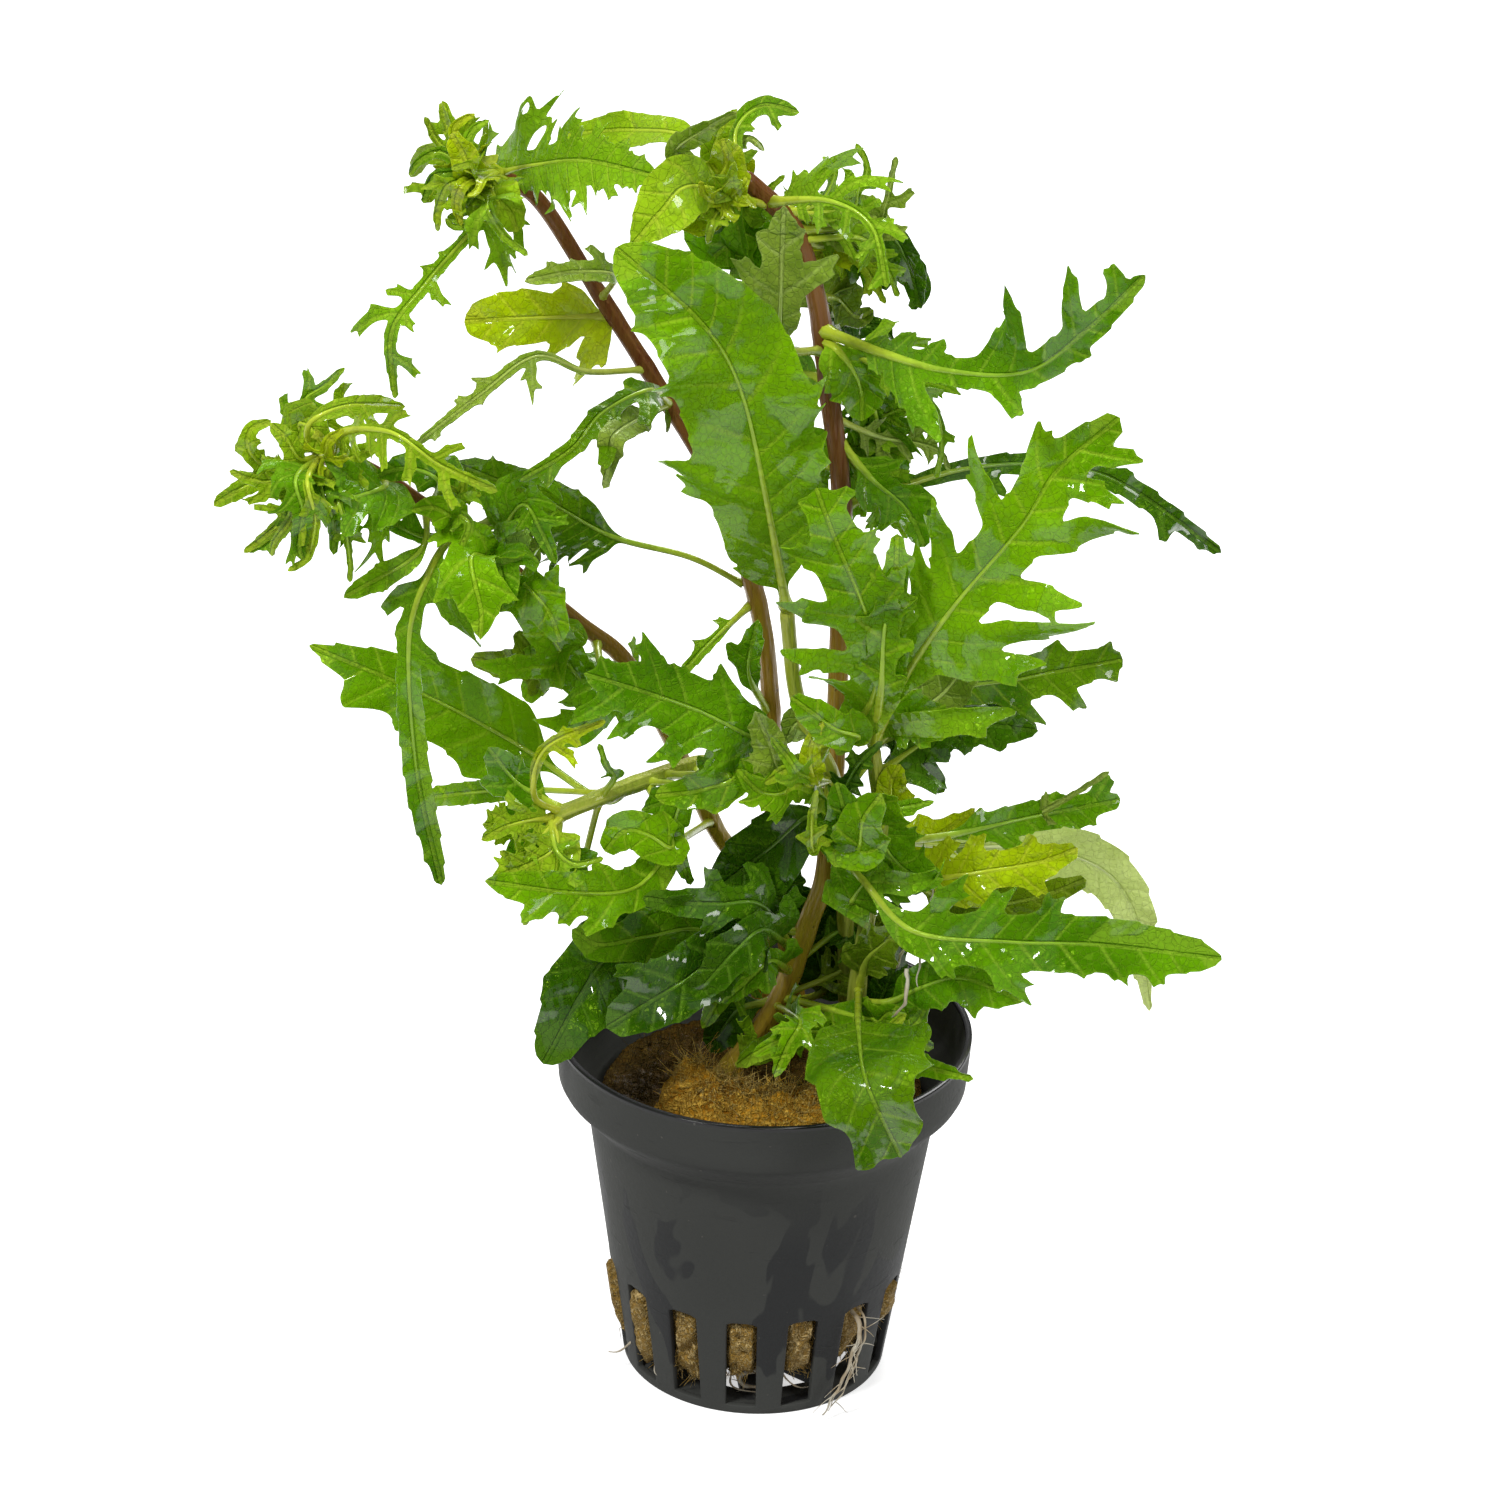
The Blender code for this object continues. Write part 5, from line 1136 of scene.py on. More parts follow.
    def phase(self, s: Array, v: Array) -> Array:
        """A number that is whole on every side vein.

        It runs straight between the feet of the veins, as s less the vein's run forward at that
        reach. Gaps wider than 7 mm between two lobes hold a vein more, feet within 0.8 mm share one.
        """
        result = np.zeros_like(s)
        for sign in self.SIDES:
            feet = [foot for foot, _, _ in self.feet[sign]]
            feet = feet if len(feet) > 1 else list(np.linspace(0.2, 0.8, 5) * self.length)
            filled = [feet[0]]
            for foot in feet[1:]:
                gap = foot - filled[-1]
                filled += [filled[-1] + gap / 2] if gap > 7 else []
                filled += [foot] if gap > 0.8 else []
            filled = [filled[0] - 8, filled[0] - 4, *filled, filled[-1] + 4, filled[-1] + 8]
            place_of = s - self.curve(np.abs(v), self.SLOPE_FINE if self.fine else self.SLOPE)
            read = np.interp(place_of, filled, np.arange(len(filled), dtype=float))
            result = np.where(v * sign >= 0, read, result)
        return result

    def rise(self, s: Array, v: Array) -> Array:
        """How far the blade stands out of its plane.

        With x = |v| / reach: both halves rise by the fold, droop by x^2, puff up between the side
        veins by cos(2 pi phase), ripple along the margin, and each lobe turns a little its own way.
        Over it all runs a fine crinkle, the product of two crossing waves about 3 mm long.
        """
        across = np.abs(v)
        x = across / self.reach
        phase = self.phase(s, v)
        play = 0.2 * self.reach * x**2
        own = np.sin(2.4 * phase + self.phase_at + np.where(v > 0, 0, 2.1))
        ripple = np.sin(math.tau * s / max(7.0, 0.9 * self.reach) + self.phase_at) * 0.05 * self.reach * x**2
        crinkle = np.sin(2.0 * s + 1.3 * np.sin(1.1 * v) + self.phase_at) * np.sin(2.2 * v - 0.8 * s)
        puff, high = (0.0, 0.05) if self.fine else (-0.14 * np.cos(math.tau * phase), 0.09)
        return (self.FOLD * across - 0.1 * self.reach * x**2 + play * own + ripple
                + (puff + high * crinkle) * step(0.3, 1.8, across))

    def lay(self, s: Array, v: Array) -> Array:
        """The points in space: midrib + across x side + rise x facing, kept inside the model's box."""
        share = np.clip(s / self.length, 0, 1)
        along, side, facing = self.route.directions(share)
        points = self.route.at(share) + (s - share * self.length)[:, None] * along
        points = points + (v * self.NARROWED)[:, None] * side + self.rise(s, v)[:, None] * facing
        low, high = (np.array(corner) / MM for corner in CAD_BOX)
        return np.clip(points, low + BOX_CLEARANCE, high - BOX_CLEARANCE)

    def skin(self, made: Skin, slot: int = 0) -> Skin:
        """Adds the two sheets of the blade and its rib to a piece.

        Args:
            made: The piece.
            slot: The number of the first of the leaf's three materials.

        Returns:
            The piece.
        """
        margin = self.reach + 1.5
        cell = self.CELL * self.coarse * (0.72 if self.fine else 1)
        s = np.arange(-0.5, self.length + 3.5, cell)
        v = np.arange(-math.ceil(margin / cell), math.ceil(margin / cell) + 1) * cell
        outline = Outline(s, v, self.depth(*np.meshgrid(s, v, indexing="ij")))
        s, v = outline.across, outline.up
        deep = np.clip(self.depth(s, v), 0, None)
        thickness = 0.12 + 0.16 * step(0, 1.2, deep)
        points, front, back, rim = sheet(self.lay(s, v), outline, thickness)
        veins = np.tile(np.stack([self.phase(s, v), v], axis=-1), (2, 1))
        blade = np.tile(np.stack([deep, s / self.length], axis=-1), (2, 1))
        slots = slot + np.repeat([0, 1], [len(front), len(back)])
        made.add(points, np.vstack([front, back]), slots, veins, blade, rim)
        self.add_rib(made, slot + 2)
        return made

    def add_rib(self, made: Skin, slot: int) -> None:
        """Adds the stalk and the midrib: a tube whose radius falls from the foot to the tip."""
        end = 0.97 * self.length
        s = np.linspace(0, end, max(16, int(end / 0.7)))
        path = self.lay(s, np.zeros_like(s))
        u = s / self.length
        thick = 0.95 * self.STALK * (0.75 if self.fine else 1) * self.leaf.rib
        fall = np.clip((u - self.start) / (1 - self.start), 0, 1)
        radius = thick * (1 - fall) ** 1.5 * (0.8 if self.leaf.cut is ENTIRE else 1) + 0.07
        radius = radius * (1 + 0.5 * np.exp(-((s / 1.2) ** 2)))
        points, faces = tubes(path[None], radius[None], self.RIB_SIDES)
        where = np.repeat(u, self.RIB_SIDES)
        pair = np.stack([np.concatenate([where, [0, 1]]), np.zeros(len(points))], axis=-1)
        made.add(points, faces, slot, pair, pair)


class Value:
    """A number in a shader, with Python's operators."""

    def __init__(self, recipe: Recipe, socket: NodeSocket) -> None:
        """Wraps an output of a node of the recipe."""
        self.recipe = recipe
        self.socket = socket

    def math(self, operation: str, *values: Value | float) -> Value:
        """A Math node of the values."""
        node = self.recipe.node("ShaderNodeMath", {"operation": operation}, dict(enumerate(values)))
        return Value(self.recipe, node.outputs[0])

    def __add__(self, other: Value | float) -> Value:
        """self + other."""
        return self.math("ADD", self, other)

    __radd__ = __add__

    def __mul__(self, other: Value | float) -> Value:
        """self x other."""
        return self.math("MULTIPLY", self, other)

    __rmul__ = __mul__

    def __sub__(self, other: Value | float) -> Value:
        """self - other."""
        return self.math("SUBTRACT", self, other)

    def __rsub__(self, other: float) -> Value:
        """other - self."""
        return self.math("SUBTRACT", other, self)

    def __abs__(self) -> Value:
        """The size of the number."""
        return self.math("ABSOLUTE", self)

    def nearest_whole(self) -> Value:
        """How far the number is from the nearest whole one, 0 to 0.5."""
        return abs(self - self.math("ROUND", self))

    def rise(self, low: float, high: float) -> Value:
        """A smooth step from 0 at low to 1 at high, or from 1 to 0 where high is below low."""
        node = self.recipe.node("ShaderNodeMapRange", {"interpolation_type": "SMOOTHSTEP", "clamp": True},
                                {0: self, 1: min(low, high), 2: max(low, high),
                                 3: float(low > high), 4: float(low < high)})
        return Value(self.recipe, node.outputs[0])


class Recipe:
    """One material, built of nodes."""

    def __init__(self, name: str) -> None:
        """Starts a material with only its output."""
        self.material = bpy.data.materials.new(name)
        self.material.use_nodes = True
        self.tree = self.material.node_tree
        self.tree.nodes.clear()
        self.output = self.node("ShaderNodeOutputMaterial", {}, {})
        self.place_of = self.node("ShaderNodeTexCoord", {}, {}).outputs["Object"]

    def node(self, kind: str, settings: dict[str, object], inputs: dict[str | int, object]) -> Node:
        """Adds a node.

        Args:
            kind: Its type.
            settings: Its properties, set first.
            inputs: A value, a link or a Value for each socket, by name or number.

        Returns:
            The node.
        """
        made = self.tree.nodes.new(kind)
        for name, value in settings.items():
            setattr(made, name, value)
        for name, value in inputs.items():
            given = value.socket if isinstance(value, Value) else value
            if isinstance(given, NodeSocket):
                self.tree.links.new(given, made.inputs[name])
            else:
                made.inputs[name].default_value = self.fitted(made.inputs[name], given)
        return made

    @staticmethod
    def fitted(socket: NodeSocket, given: object) -> object:
        """A colour gets its alpha where the socket has four numbers."""
        return (*given, 1.0) if socket.type == "RGBA" and len(given) == 3 else given

    def noise(
        self, scale: float, detail: float = 2.0, stretch: Point = (1, 1, 1), distortion: float = 0.0
    ) -> Value:
        """Noise of a scale per metre on the object's own coordinates, which stretch multiplies."""
        where = self.place_of
        if stretch != (1, 1, 1):
            where = self.node("ShaderNodeMapping", {}, {"Vector": where, "Scale": stretch}).outputs[0]
        inputs = {"Vector": where, "Scale": scale, "Detail": detail, "Distortion": distortion}
        return Value(self, self.node("ShaderNodeTexNoise", {}, inputs).outputs["Fac"])

    def cells(self, scale: float) -> Value:
        """How near a point is to the border of its Voronoi cell, of a scale per metre."""
        made = self.node("ShaderNodeTexVoronoi", {"feature": "DISTANCE_TO_EDGE"},
                         {"Vector": self.place_of, "Scale": scale})
        return Value(self, made.outputs["Distance"])

    def pair(self, name: str) -> tuple[Value, Value]:
        """The two numbers of one of the piece's own UV maps."""
        where = self.node("ShaderNodeUVMap", {"uv_map": name}, {}).outputs[0]
        parts = self.node("ShaderNodeSeparateXYZ", {}, {0: where})
        return Value(self, parts.outputs[0]), Value(self, parts.outputs[1])

    def axis(self, number: int) -> Value:
        """One of the three coordinates, in metres: 0 to the right, 1 backwards, 2 above the ground."""
        parts = self.node("ShaderNodeSeparateXYZ", {}, {0: self.place_of})
        return Value(self, parts.outputs[number])

    def mix(self, factor: Value | float, first: object, second: object) -> NodeSocket:
        """The first colour where the factor is 0 and the second where it is 1."""
        node = self.node("ShaderNodeMix", {"data_type": "RGBA"}, {0: factor, 6: first, 7: second})
        return node.outputs[2]

    def layers(self, colour: object, *coats: tuple[Value | float, object]) -> object:
        """The colour with others laid over it in turn, each by its own factor."""
        for factor, coat in coats:
            colour = self.mix(factor, colour, coat)
        return colour

    def bump(self, height: Value, distance: float) -> NodeSocket:
        """The normal of a relief that is distance metres high."""
        return self.node("ShaderNodeBump", {}, {"Height": height, "Distance": distance}).outputs[0]

    def surface(self, inputs: dict[str | int, object], lit: Colour | None = None,
                through: float = 0.0) -> Material:
        """Ends the material with a Principled shader, and light that comes through where it has some."""
        shader = self.node("ShaderNodeBsdfPrincipled", {}, inputs).outputs[0]
        if through:
            glow = self.node("ShaderNodeBsdfTranslucent", {}, {"Color": lit}).outputs[0]
            shader = self.node("ShaderNodeMixShader", {}, {0: through, 1: shader, 2: glow}).outputs[0]
        self.tree.links.new(shader, self.output.inputs["Surface"])
        return self.material


LEAF_FINISHES = {
    LIGHT: LeafFinish((0.1, 0.25, 0.004), (0.26, 0.51, 0.01), (0.49, 0.67, 0.05), (0.26, 0.44, 0.05),
                      (0.49, 0.81, 0.02), 0.30, 0.30, 0.55, "leaf_light"),
    YOUNG: LeafFinish((0.19, 0.35, 0.008), (0.38, 0.6, 0.015), (0.61, 0.7, 0.055), (0.31, 0.49, 0.055),
                      (0.61, 0.85, 0.02), 0.32, 0.30, 0.55, "leaf_light"),
    PALE: LeafFinish((0.14, 0.26, 0.015), (0.34, 0.49, 0.045), (0.53, 0.63, 0.16), (0.38, 0.51, 0.12),
                     (0.56, 0.77, 0.075), 0.28, 0.38, 0.4, "leaf_pale"),
    YELLOW: LeafFinish((0.25, 0.42, 0.002), (0.54, 0.74, 0.006), (0.72, 0.76, 0.06), (0.48, 0.59, 0.06),
                       (0.78, 0.85, 0.02), 0.32, 0.30, 0.5, "leaf_yellow"),
    DARK: LeafFinish((0.016, 0.07, 0.001), (0.057, 0.18, 0.002), (0.15, 0.31, 0.024), (0.11, 0.2, 0.042),
                     (0.19, 0.46, 0.01), 0.20, 0.26, 1.0, "leaf_dark"),
    GREY: LeafFinish((0.16, 0.26, 0.022), (0.34, 0.47, 0.058), (0.48, 0.59, 0.17), (0.33, 0.47, 0.12),
                     (0.52, 0.72, 0.11), 0.26, 0.42, 0.3, "leaf_pale"),
    MID: LeafFinish((0.048, 0.17, 0.001), (0.15, 0.38, 0.003), (0.4, 0.62, 0.045), (0.24, 0.41, 0.06),
                    (0.42, 0.78, 0.01), 0.26, 0.28, 0.6, "leaf_mid"),
    LUSH: LeafFinish((0.024, 0.1, 0.001), (0.12, 0.27, 0.002), (0.3, 0.46, 0.03), (0.2, 0.34, 0.05),
                     (0.36, 0.66, 0.01), 0.22, 0.28, 0.9, "leaf_mid"),
    BRIGHT: LeafFinish((0.081, 0.24, 0.001), (0.22, 0.49, 0.003), (0.52, 0.72, 0.045), (0.31, 0.5, 0.065),
                       (0.55, 0.85, 0.015), 0.30, 0.28, 0.6, "leaf_mid"),
    OLIVE: LeafFinish((0.062, 0.13, 0.002), (0.21, 0.33, 0.008), (0.43, 0.55, 0.06), (0.28, 0.39, 0.07),
                      (0.45, 0.65, 0.02), 0.24, 0.30, 0.5, "leaf_dark"),
    # SHADE is painted shade: its greens are darkened for leaves that sit in shadow.
    SHADE: LeafFinish((0.01, 0.048, 0.001), (0.039, 0.13, 0.002), (0.092, 0.2, 0.016), (0.063, 0.14, 0.025),
                      (0.11, 0.32, 0.01), 0.18, 0.26, 0.7, "leaf_dark"),
    WAN: LeafFinish((0.56, 0.68, 0.26), (0.74, 0.84, 0.38), (0.78, 0.86, 0.42), (0.78, 0.86, 0.42),
                    (0.85, 0.95, 0.42), 0.40, 0.45, 0.25, "leaf_pale"),
}


@dataclass
class Foliage:
    """All the leaves, each its own piece, and the materials that they share.

    coarse is how much larger the triangles of the lesser leaves are, vein_width the half width of a
    side vein in turns of the phase, rib_width and margin the pale strips along the midrib and the
    rim in millimetres. The others say how dark or wet the underside and the rib are.
    """

    leaves: tuple[Leaf, ...]
    clusters: tuple[Cluster, ...]
    stems: dict[str, Stem]
    coarse: float = 1.2
    vein_width: float = 0.06
    rib_width: float = 0.42
    margin: float = 0.4
    back_dark: float = 0.8
    back_wet: float = 0.4
    rib_dark: float = 0.75

    def build(self) -> None:
        """Makes every leaf."""
        dressed = {finish: self.materials(finish, colours) for finish, colours in LEAF_FINISHES.items()}
        for leaf in self.leaves:
            name = leaf.name + "_leaf"
            mesh = Blade(leaf, self.stems[leaf.stem]).skin(Skin()).mesh(name)
            replaced = (leaf.name,) if leaf.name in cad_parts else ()
            place(name, mesh, dressed[leaf.finish], replaced)
        for cluster in self.clusters:
            self.lesser(cluster, dressed)

    def lesser(self, cluster: Cluster, dressed: dict[Finish, list[Material]]) -> None:
        """Makes the lesser leaves of a cluster, one piece for each slot of the record."""
        pieces: dict[str, Skin] = {}
        worn: dict[str, list[Finish]] = {}
        for leaf in cluster.leaves():
            slot = LEAF_FINISHES[leaf.finish].slot
            made, kinds = pieces.setdefault(slot, Skin()), worn.setdefault(slot, [])
            if leaf.finish not in kinds:
                kinds.append(leaf.finish)
            Blade(leaf, self.stems[cluster.stem], self.coarse).skin(made, 3 * kinds.index(leaf.finish))
        for slot, made in pieces.items():
            name = f"{cluster.name}_{slot}"
            materials = [material for kind in worn[slot] for material in dressed[kind]]
            place(name, made.mesh(name), materials)

    def materials(self, finish: Finish, colours: LeafFinish) -> list[Material]:
        """The face, the underside and the rib of one kind of leaf."""
        name = finish.value + "_leaf_"
        darker = tuple(self.back_dark * part for part in colours.back)
        return [
            self.face(name + "face", colours, colours.deep, colours.fresh, 1.0),
            self.face(name + "back", colours, darker, colours.back, self.back_wet),
            self.rib(name + "rib", colours),
        ]

    def face(
        self, name: str, colours: LeafFinish, deep: Colour, fresh: Colour, wet: float
    ) -> Material:
        """One side of a blade.

        The colour wanders between two greens, pales towards the midrib, the side veins and the
        margin, and carries a fine net of veins and a few brown specks. Water lies on it in patches.

        Args:
            name: The name of the material.
            colours: The finish.
            deep: The darker green of this side.
            fresh: The lighter green of this side.
            wet: How much water lies on this side, against the finish.

        Returns:
            The material.
        """
        made = Recipe(name)
        phase, across = made.pair("veins")
        inside, share = made.pair("blade")
        off_rib = abs(across)
        wander = made.noise(70, 3).rise(0.38, 0.62)
        mottle = made.noise(420, 3).rise(0.3, 0.75)
        side_vein = phase.nearest_whole().rise(self.vein_width + 0.05, 0.01) * off_rib.rise(9.0, 1.5)
        midrib = off_rib.rise(self.rib_width, 0.2)
        net = made.cells(1100).rise(0.09, 0.02)
        edge = inside.rise(self.margin, 0.0)
        specks = made.noise(900, 2).rise(0.745, 0.79)
        green = made.layers(deep, (wander, fresh), (mottle * 0.35, fresh))
        for factor in (share.rise(0.5, 0.0) * 0.25, net * 0.14, side_vein * 0.45, edge * 0.2, midrib * 0.42):
            green = made.mix(factor, green, colours.vein)
        green = made.mix(specks * 0.6, green, (0.10, 0.055, 0.012))
        swells = made.noise(120, 2, distortion=0.5) * 1.3
        relief = (swells + made.noise(260, 3) * 0.6 + made.noise(800, 2) * 0.16 - side_vein * 0.1
                  - midrib * 0.2 - net * 0.08)
        water = made.noise(150, 3, distortion=0.6).rise(0.5, 0.56)
        relief = relief + water * made.noise(480, 2) * 0.3
        return made.surface({
            "Base Color": green,
            "Roughness": made.noise(300, 2).rise(0.3, 0.7) * 0.16 + colours.roughness - 0.06,
            "Specular IOR Level": 0.34,
            "Specular Tint": (0.62, 1.0, 0.04),
            "Coat Weight": water * (1.3 * colours.wet * wet),
            "Coat Roughness": 0.06,
            "Coat IOR": 1.5,
            "Normal": made.bump(relief, 0.0012),
        }, colours.lit, colours.through)

    def rib(self, name: str, colours: LeafFinish) -> Material:
        """A stalk and midrib: the veins' colour, streaked lengthwise, yellower towards the foot."""
        made = Recipe(name)
        share, _ = made.pair("veins")
        streak = made.noise(500, 2).rise(0.35, 0.65)
        colour = made.layers(
            tuple(self.rib_dark * part for part in colours.vein),
            (streak, colours.vein),
            (share.rise(0.1, 0.75) * 0.6, colours.fresh),
            (share.rise(0.45, 0.05) * 0.6, (0.52, 0.56, 0.03)),
        )
        return made.surface({
            "Base Color": colour,
            "Specular Tint": (0.7, 1.0, 0.2),
            "Roughness": streak * 0.12 + 0.26,
            "Coat Weight": 0.4,
            "Coat Roughness": 0.06,
            "Normal": made.bump(streak, 0.0001),
        })


@dataclass
class Stems:
    """The six stems: fluted tubes with a swollen ring where each leaf grows.

    swelling is a ring's share of the radius, swelling_length its length and spacing the distance
    between two rings of points, in millimetres.
    """

    stems: tuple[Stem, ...]
    leaves: tuple[Leaf, ...]
    sides: int = 20
    flutes: int = 6
    flute_depth: float = 0.035
    swelling: float = 0.08
    swelling_length: float = 1.3
    spacing: float = 0.55

    def build(self) -> None:
        """Makes every stem."""
        dressed = {True: self.bark("stem_brown_skin", True), False: self.bark("stem_green_skin", False)}
        for stem in self.stems:
            place(stem.name + "_skin", self.mesh(stem), [dressed[stem.brown]], (stem.name,))

    def mesh(self, stem: Stem) -> Mesh:
        """The tube of one stem.

        Its radius is the stem's, from foot to tip, x (1 + flute cos(6 angle)) x (1 + swelling
        exp(-(distance to a leaf's foot / length)^2)), and its end closes as a dome.
        """
        path = Route(stem.points)
        share = np.linspace(0, 1, int(path.length / self.spacing))
        length = share * path.length
        radius = stem.radius + (stem.tip_radius - stem.radius) * share
        knots = sorted({leaf.share for leaf in self.leaves if leaf.stem == stem.name})
        swell = sum(np.exp(-(((share - knot) * path.length / self.swelling_length) ** 2)) for knot in knots)
        chance = seeded(stem.name)
        waver = 0.02 * np.sin(length / 5.1 + chance.uniform(0, 6)) + 0.01 * np.sin(length / 1.9)
        radius = radius * (1 + self.swelling * np.clip(swell, 0, 1) + waver)
        radius = radius * np.sqrt(np.clip((path.length - length + 0.15) / stem.tip_radius, 0, 1))
        angle = np.linspace(0, math.tau, self.sides, endpoint=False)
        fluted = 1 + self.flute_depth * np.cos(self.flutes * angle[None] + 0.02 * length[:, None])
        points, faces = tubes(path.at(share)[None], (radius[:, None] * fluted)[None], self.sides)
        turn = np.tile(angle, len(share))
        run = np.repeat(length, self.sides)
        pair = np.stack([np.append(turn, [0, 0]), np.append(run, [0, path.length])], axis=-1)
        return Skin().add(points, faces, 0, pair, pair).mesh(stem.name + "_skin")

    @staticmethod
    def bark(name: str, brown: bool) -> Material:
        """A wet stem.

        A brown one runs from yellow-green at the foot through red-brown, in patches, to reddish
        brown at the top; a green one is yellow-green with paler ribs. Both have fine lengthwise
        streaks and small dark scars.
        """
        made = Recipe(name)
        streak = made.noise(1, 3, (1400, 1400, 90)).rise(0.3, 0.7)
        patch = made.noise(55, 3).rise(0.36, 0.64)
        angle, _ = made.pair("veins")
        ribs = angle.math("COSINE", angle * 6).rise(-0.4, 0.9)
        scars = made.noise(700, 2).rise(0.68, 0.75)
        if brown:
            colour = made.layers(
                made.mix(patch, (0.4, 0.25, 0.016), (0.52, 0.4, 0.03)),
                (made.axis(2).rise(0.075, 0.13), made.mix(patch, (0.11, 0.028, 0.008), (0.2, 0.07, 0.016))),
                (streak * 0.35, (0.26, 0.14, 0.03)),
                (ribs * 0.15, (0.30, 0.12, 0.05)),
            )
        else:
            colour = made.layers(
                made.mix(patch, (0.16, 0.23, 0.015), (0.30, 0.33, 0.02)),
                (made.axis(2).rise(0.055, 0.1), made.mix(patch, (0.24, 0.36, 0.015), (0.42, 0.48, 0.04))),
                (made.axis(0).rise(-0.006, -0.018) * 0.8, (0.42, 0.52, 0.06)),
                (streak * 0.4, (0.46, 0.50, 0.08)),
                (ribs * 0.25, (0.55, 0.60, 0.14)),
            )
        colour = made.mix(scars * 0.7, colour, (0.07, 0.03, 0.01))
        relief = streak * 0.5 + ribs * 0.3 - scars * 0.4
        return made.surface({
            "Base Color": colour,
            "Roughness": streak * 0.2 + 0.27,
            "Specular Tint": (1.0, 0.6, 0.2),
            "Specular IOR Level": 0.35,
            "Coat IOR": 1.3,
            "Coat Weight": made.noise(160, 2).rise(0.45, 0.58) * 0.6,
            "Coat Roughness": 0.05,
            "Normal": made.bump(relief, 0.00025),
        })


@dataclass
class Pot:
    """The moulded net pot: a tapered body with slots round its foot, a collar, and a floor of spokes.

    first_slot is how far the middle of one slot lies to the right of the front, in degrees,
    slot_round how much lower a slot's top is at its corners, slot_columns and bar_columns how many
    cells a slot and a bar are wide, and bend how far the rings stay from a bend of the wall.
    gap_radius and gap_corner are the place and the size of the floor's gaps.
    """

    rim_radius: float = 27.5
    height: float = 49.2
    foot_radius: float = 17.7
    body_top_radius: float = 23.2
    body_top: float = 38.2
    collar_foot: float = 42.2
    collar_flare: float = 0.5
    wall: float = 0.9
    floor: float = 1.2
    slots: int = 15
    slot_width: float = 4.1
    slot_foot: float = 1.3
    slot_top: float = 15.3
    slot_round: float = 0.35
    first_slot: float = -5.0
    slot_columns: int = 6
    bar_columns: int = 8
    floor_gaps: int = 8
    gap_radius: float = 11.0
    gap_corner: float = 4.4
    floor_cell: float = 0.5
    bend: float = 0.35
    edge_round: float = 0.14

    def radius(self, height: Array) -> Array:
        """The outside's radius: straight between the foot, the body's top, the collar and the rim."""
        collar = self.rim_radius - self.collar_flare
        return np.interp(height, [0, self.body_top, self.collar_foot, self.height],
                         [self.foot_radius, self.body_top_radius, collar, self.rim_radius])

    def heights(self) -> Array:
        """The heights of the rings, with one at each edge of the slots and at each bend."""
        bend = self.bend
        marks = [0.0, 0.45, self.slot_foot, self.slot_top, self.slot_top + 1.2, self.body_top - bend,
                 self.body_top + bend, self.collar_foot - bend, self.collar_foot + bend,
                 self.height - 0.5, self.height]
        counts = [1, 1, 12, 1, 14, 1, 4, 1, 5, 1]
        spans = zip(marks, marks[1:], counts)
        rings = [np.linspace(low, high, count, endpoint=False) for low, high, count in spans]
        return np.concatenate([*rings, [self.height]])

    def wall_points(self, heights: Array, inwards: float) -> Array:
        """The rings of the outside, or of the inside where inwards is the wall.

        In a pitch of 24 degrees the first columns cross the slot, whose half width in degrees is
        asin(width / 2 / radius), so that its sides stay parallel, and the others cross the bar. The
        top edge of a slot is lower towards its corners by round x |share|^4.
        """
        radius = self.radius(heights) - inwards
        half = np.degrees(np.arcsin(self.slot_width / 2 / self.radius(np.minimum(heights, self.slot_top))))
        pitch = 360 / self.slots
        across = np.linspace(-1, 1, self.slot_columns + 1)
        over = np.linspace(0, 1, self.bar_columns, endpoint=False)[1:]
        slot = half[:, None] * across[None]
        bar = half[:, None] + (pitch - 2 * half)[:, None] * over[None]
        one = np.hstack([slot, bar])
        angle = np.concatenate([one + number * pitch for number in range(self.slots)], axis=1)
        angle = np.radians(angle + self.first_slot - 90)
        level = np.repeat(heights[:, None], angle.shape[1], axis=1)
        corner = np.tile(np.concatenate([np.abs(across) ** 4, np.zeros(len(over))]), self.slots)
        level = level - np.isclose(heights, self.slot_top)[:, None] * corner[None] * self.slot_round
        return polar(radius[:, None], angle, level)

    def body(self) -> Mesh:
        """The wall: two skins of the same grid, without the cells of the slots, closed along every edge."""
        heights = self.heights()
        outer = self.wall_points(heights, 0)
        rows, columns = outer.shape[:2]
        quads = self.cells(heights, columns)
        points = np.vstack([outer.reshape(-1, 3), self.wall_points(heights, self.wall).reshape(-1, 3)])
        count = rows * columns
        rim = open_edges(quads)
        strip = np.stack([rim[:, 1], rim[:, 0], rim[:, 0] + count, rim[:, 1] + count], axis=-1)
        faces = np.vstack([quads, quads[:, ::-1] + count, strip])
        made = bpy.data.meshes.new("pot_wall")
        made.from_pydata((points * MM).tolist(), [], faces.tolist())
        made.shade_smooth()
        return made

    def cells(self, heights: Array, columns: int) -> Array:
        """The cells of the grid outside the slots, turned outwards."""
        row, column = np.meshgrid(np.arange(len(heights) - 1), np.arange(columns), indexing="ij")
        middle = (heights[:-1] + heights[1:]) / 2
        in_height = (middle > self.slot_foot) & (middle < self.slot_top)
        in_slot = column % (self.slot_columns + self.bar_columns) < self.slot_columns
        keep = ~(in_height[:, None] & in_slot)
        after = (column + 1) % columns
        quads = np.stack([row * columns + column, row * columns + after, (row + 1) * columns + after,
                          (row + 1) * columns + column], axis=-1)
        return quads[keep]

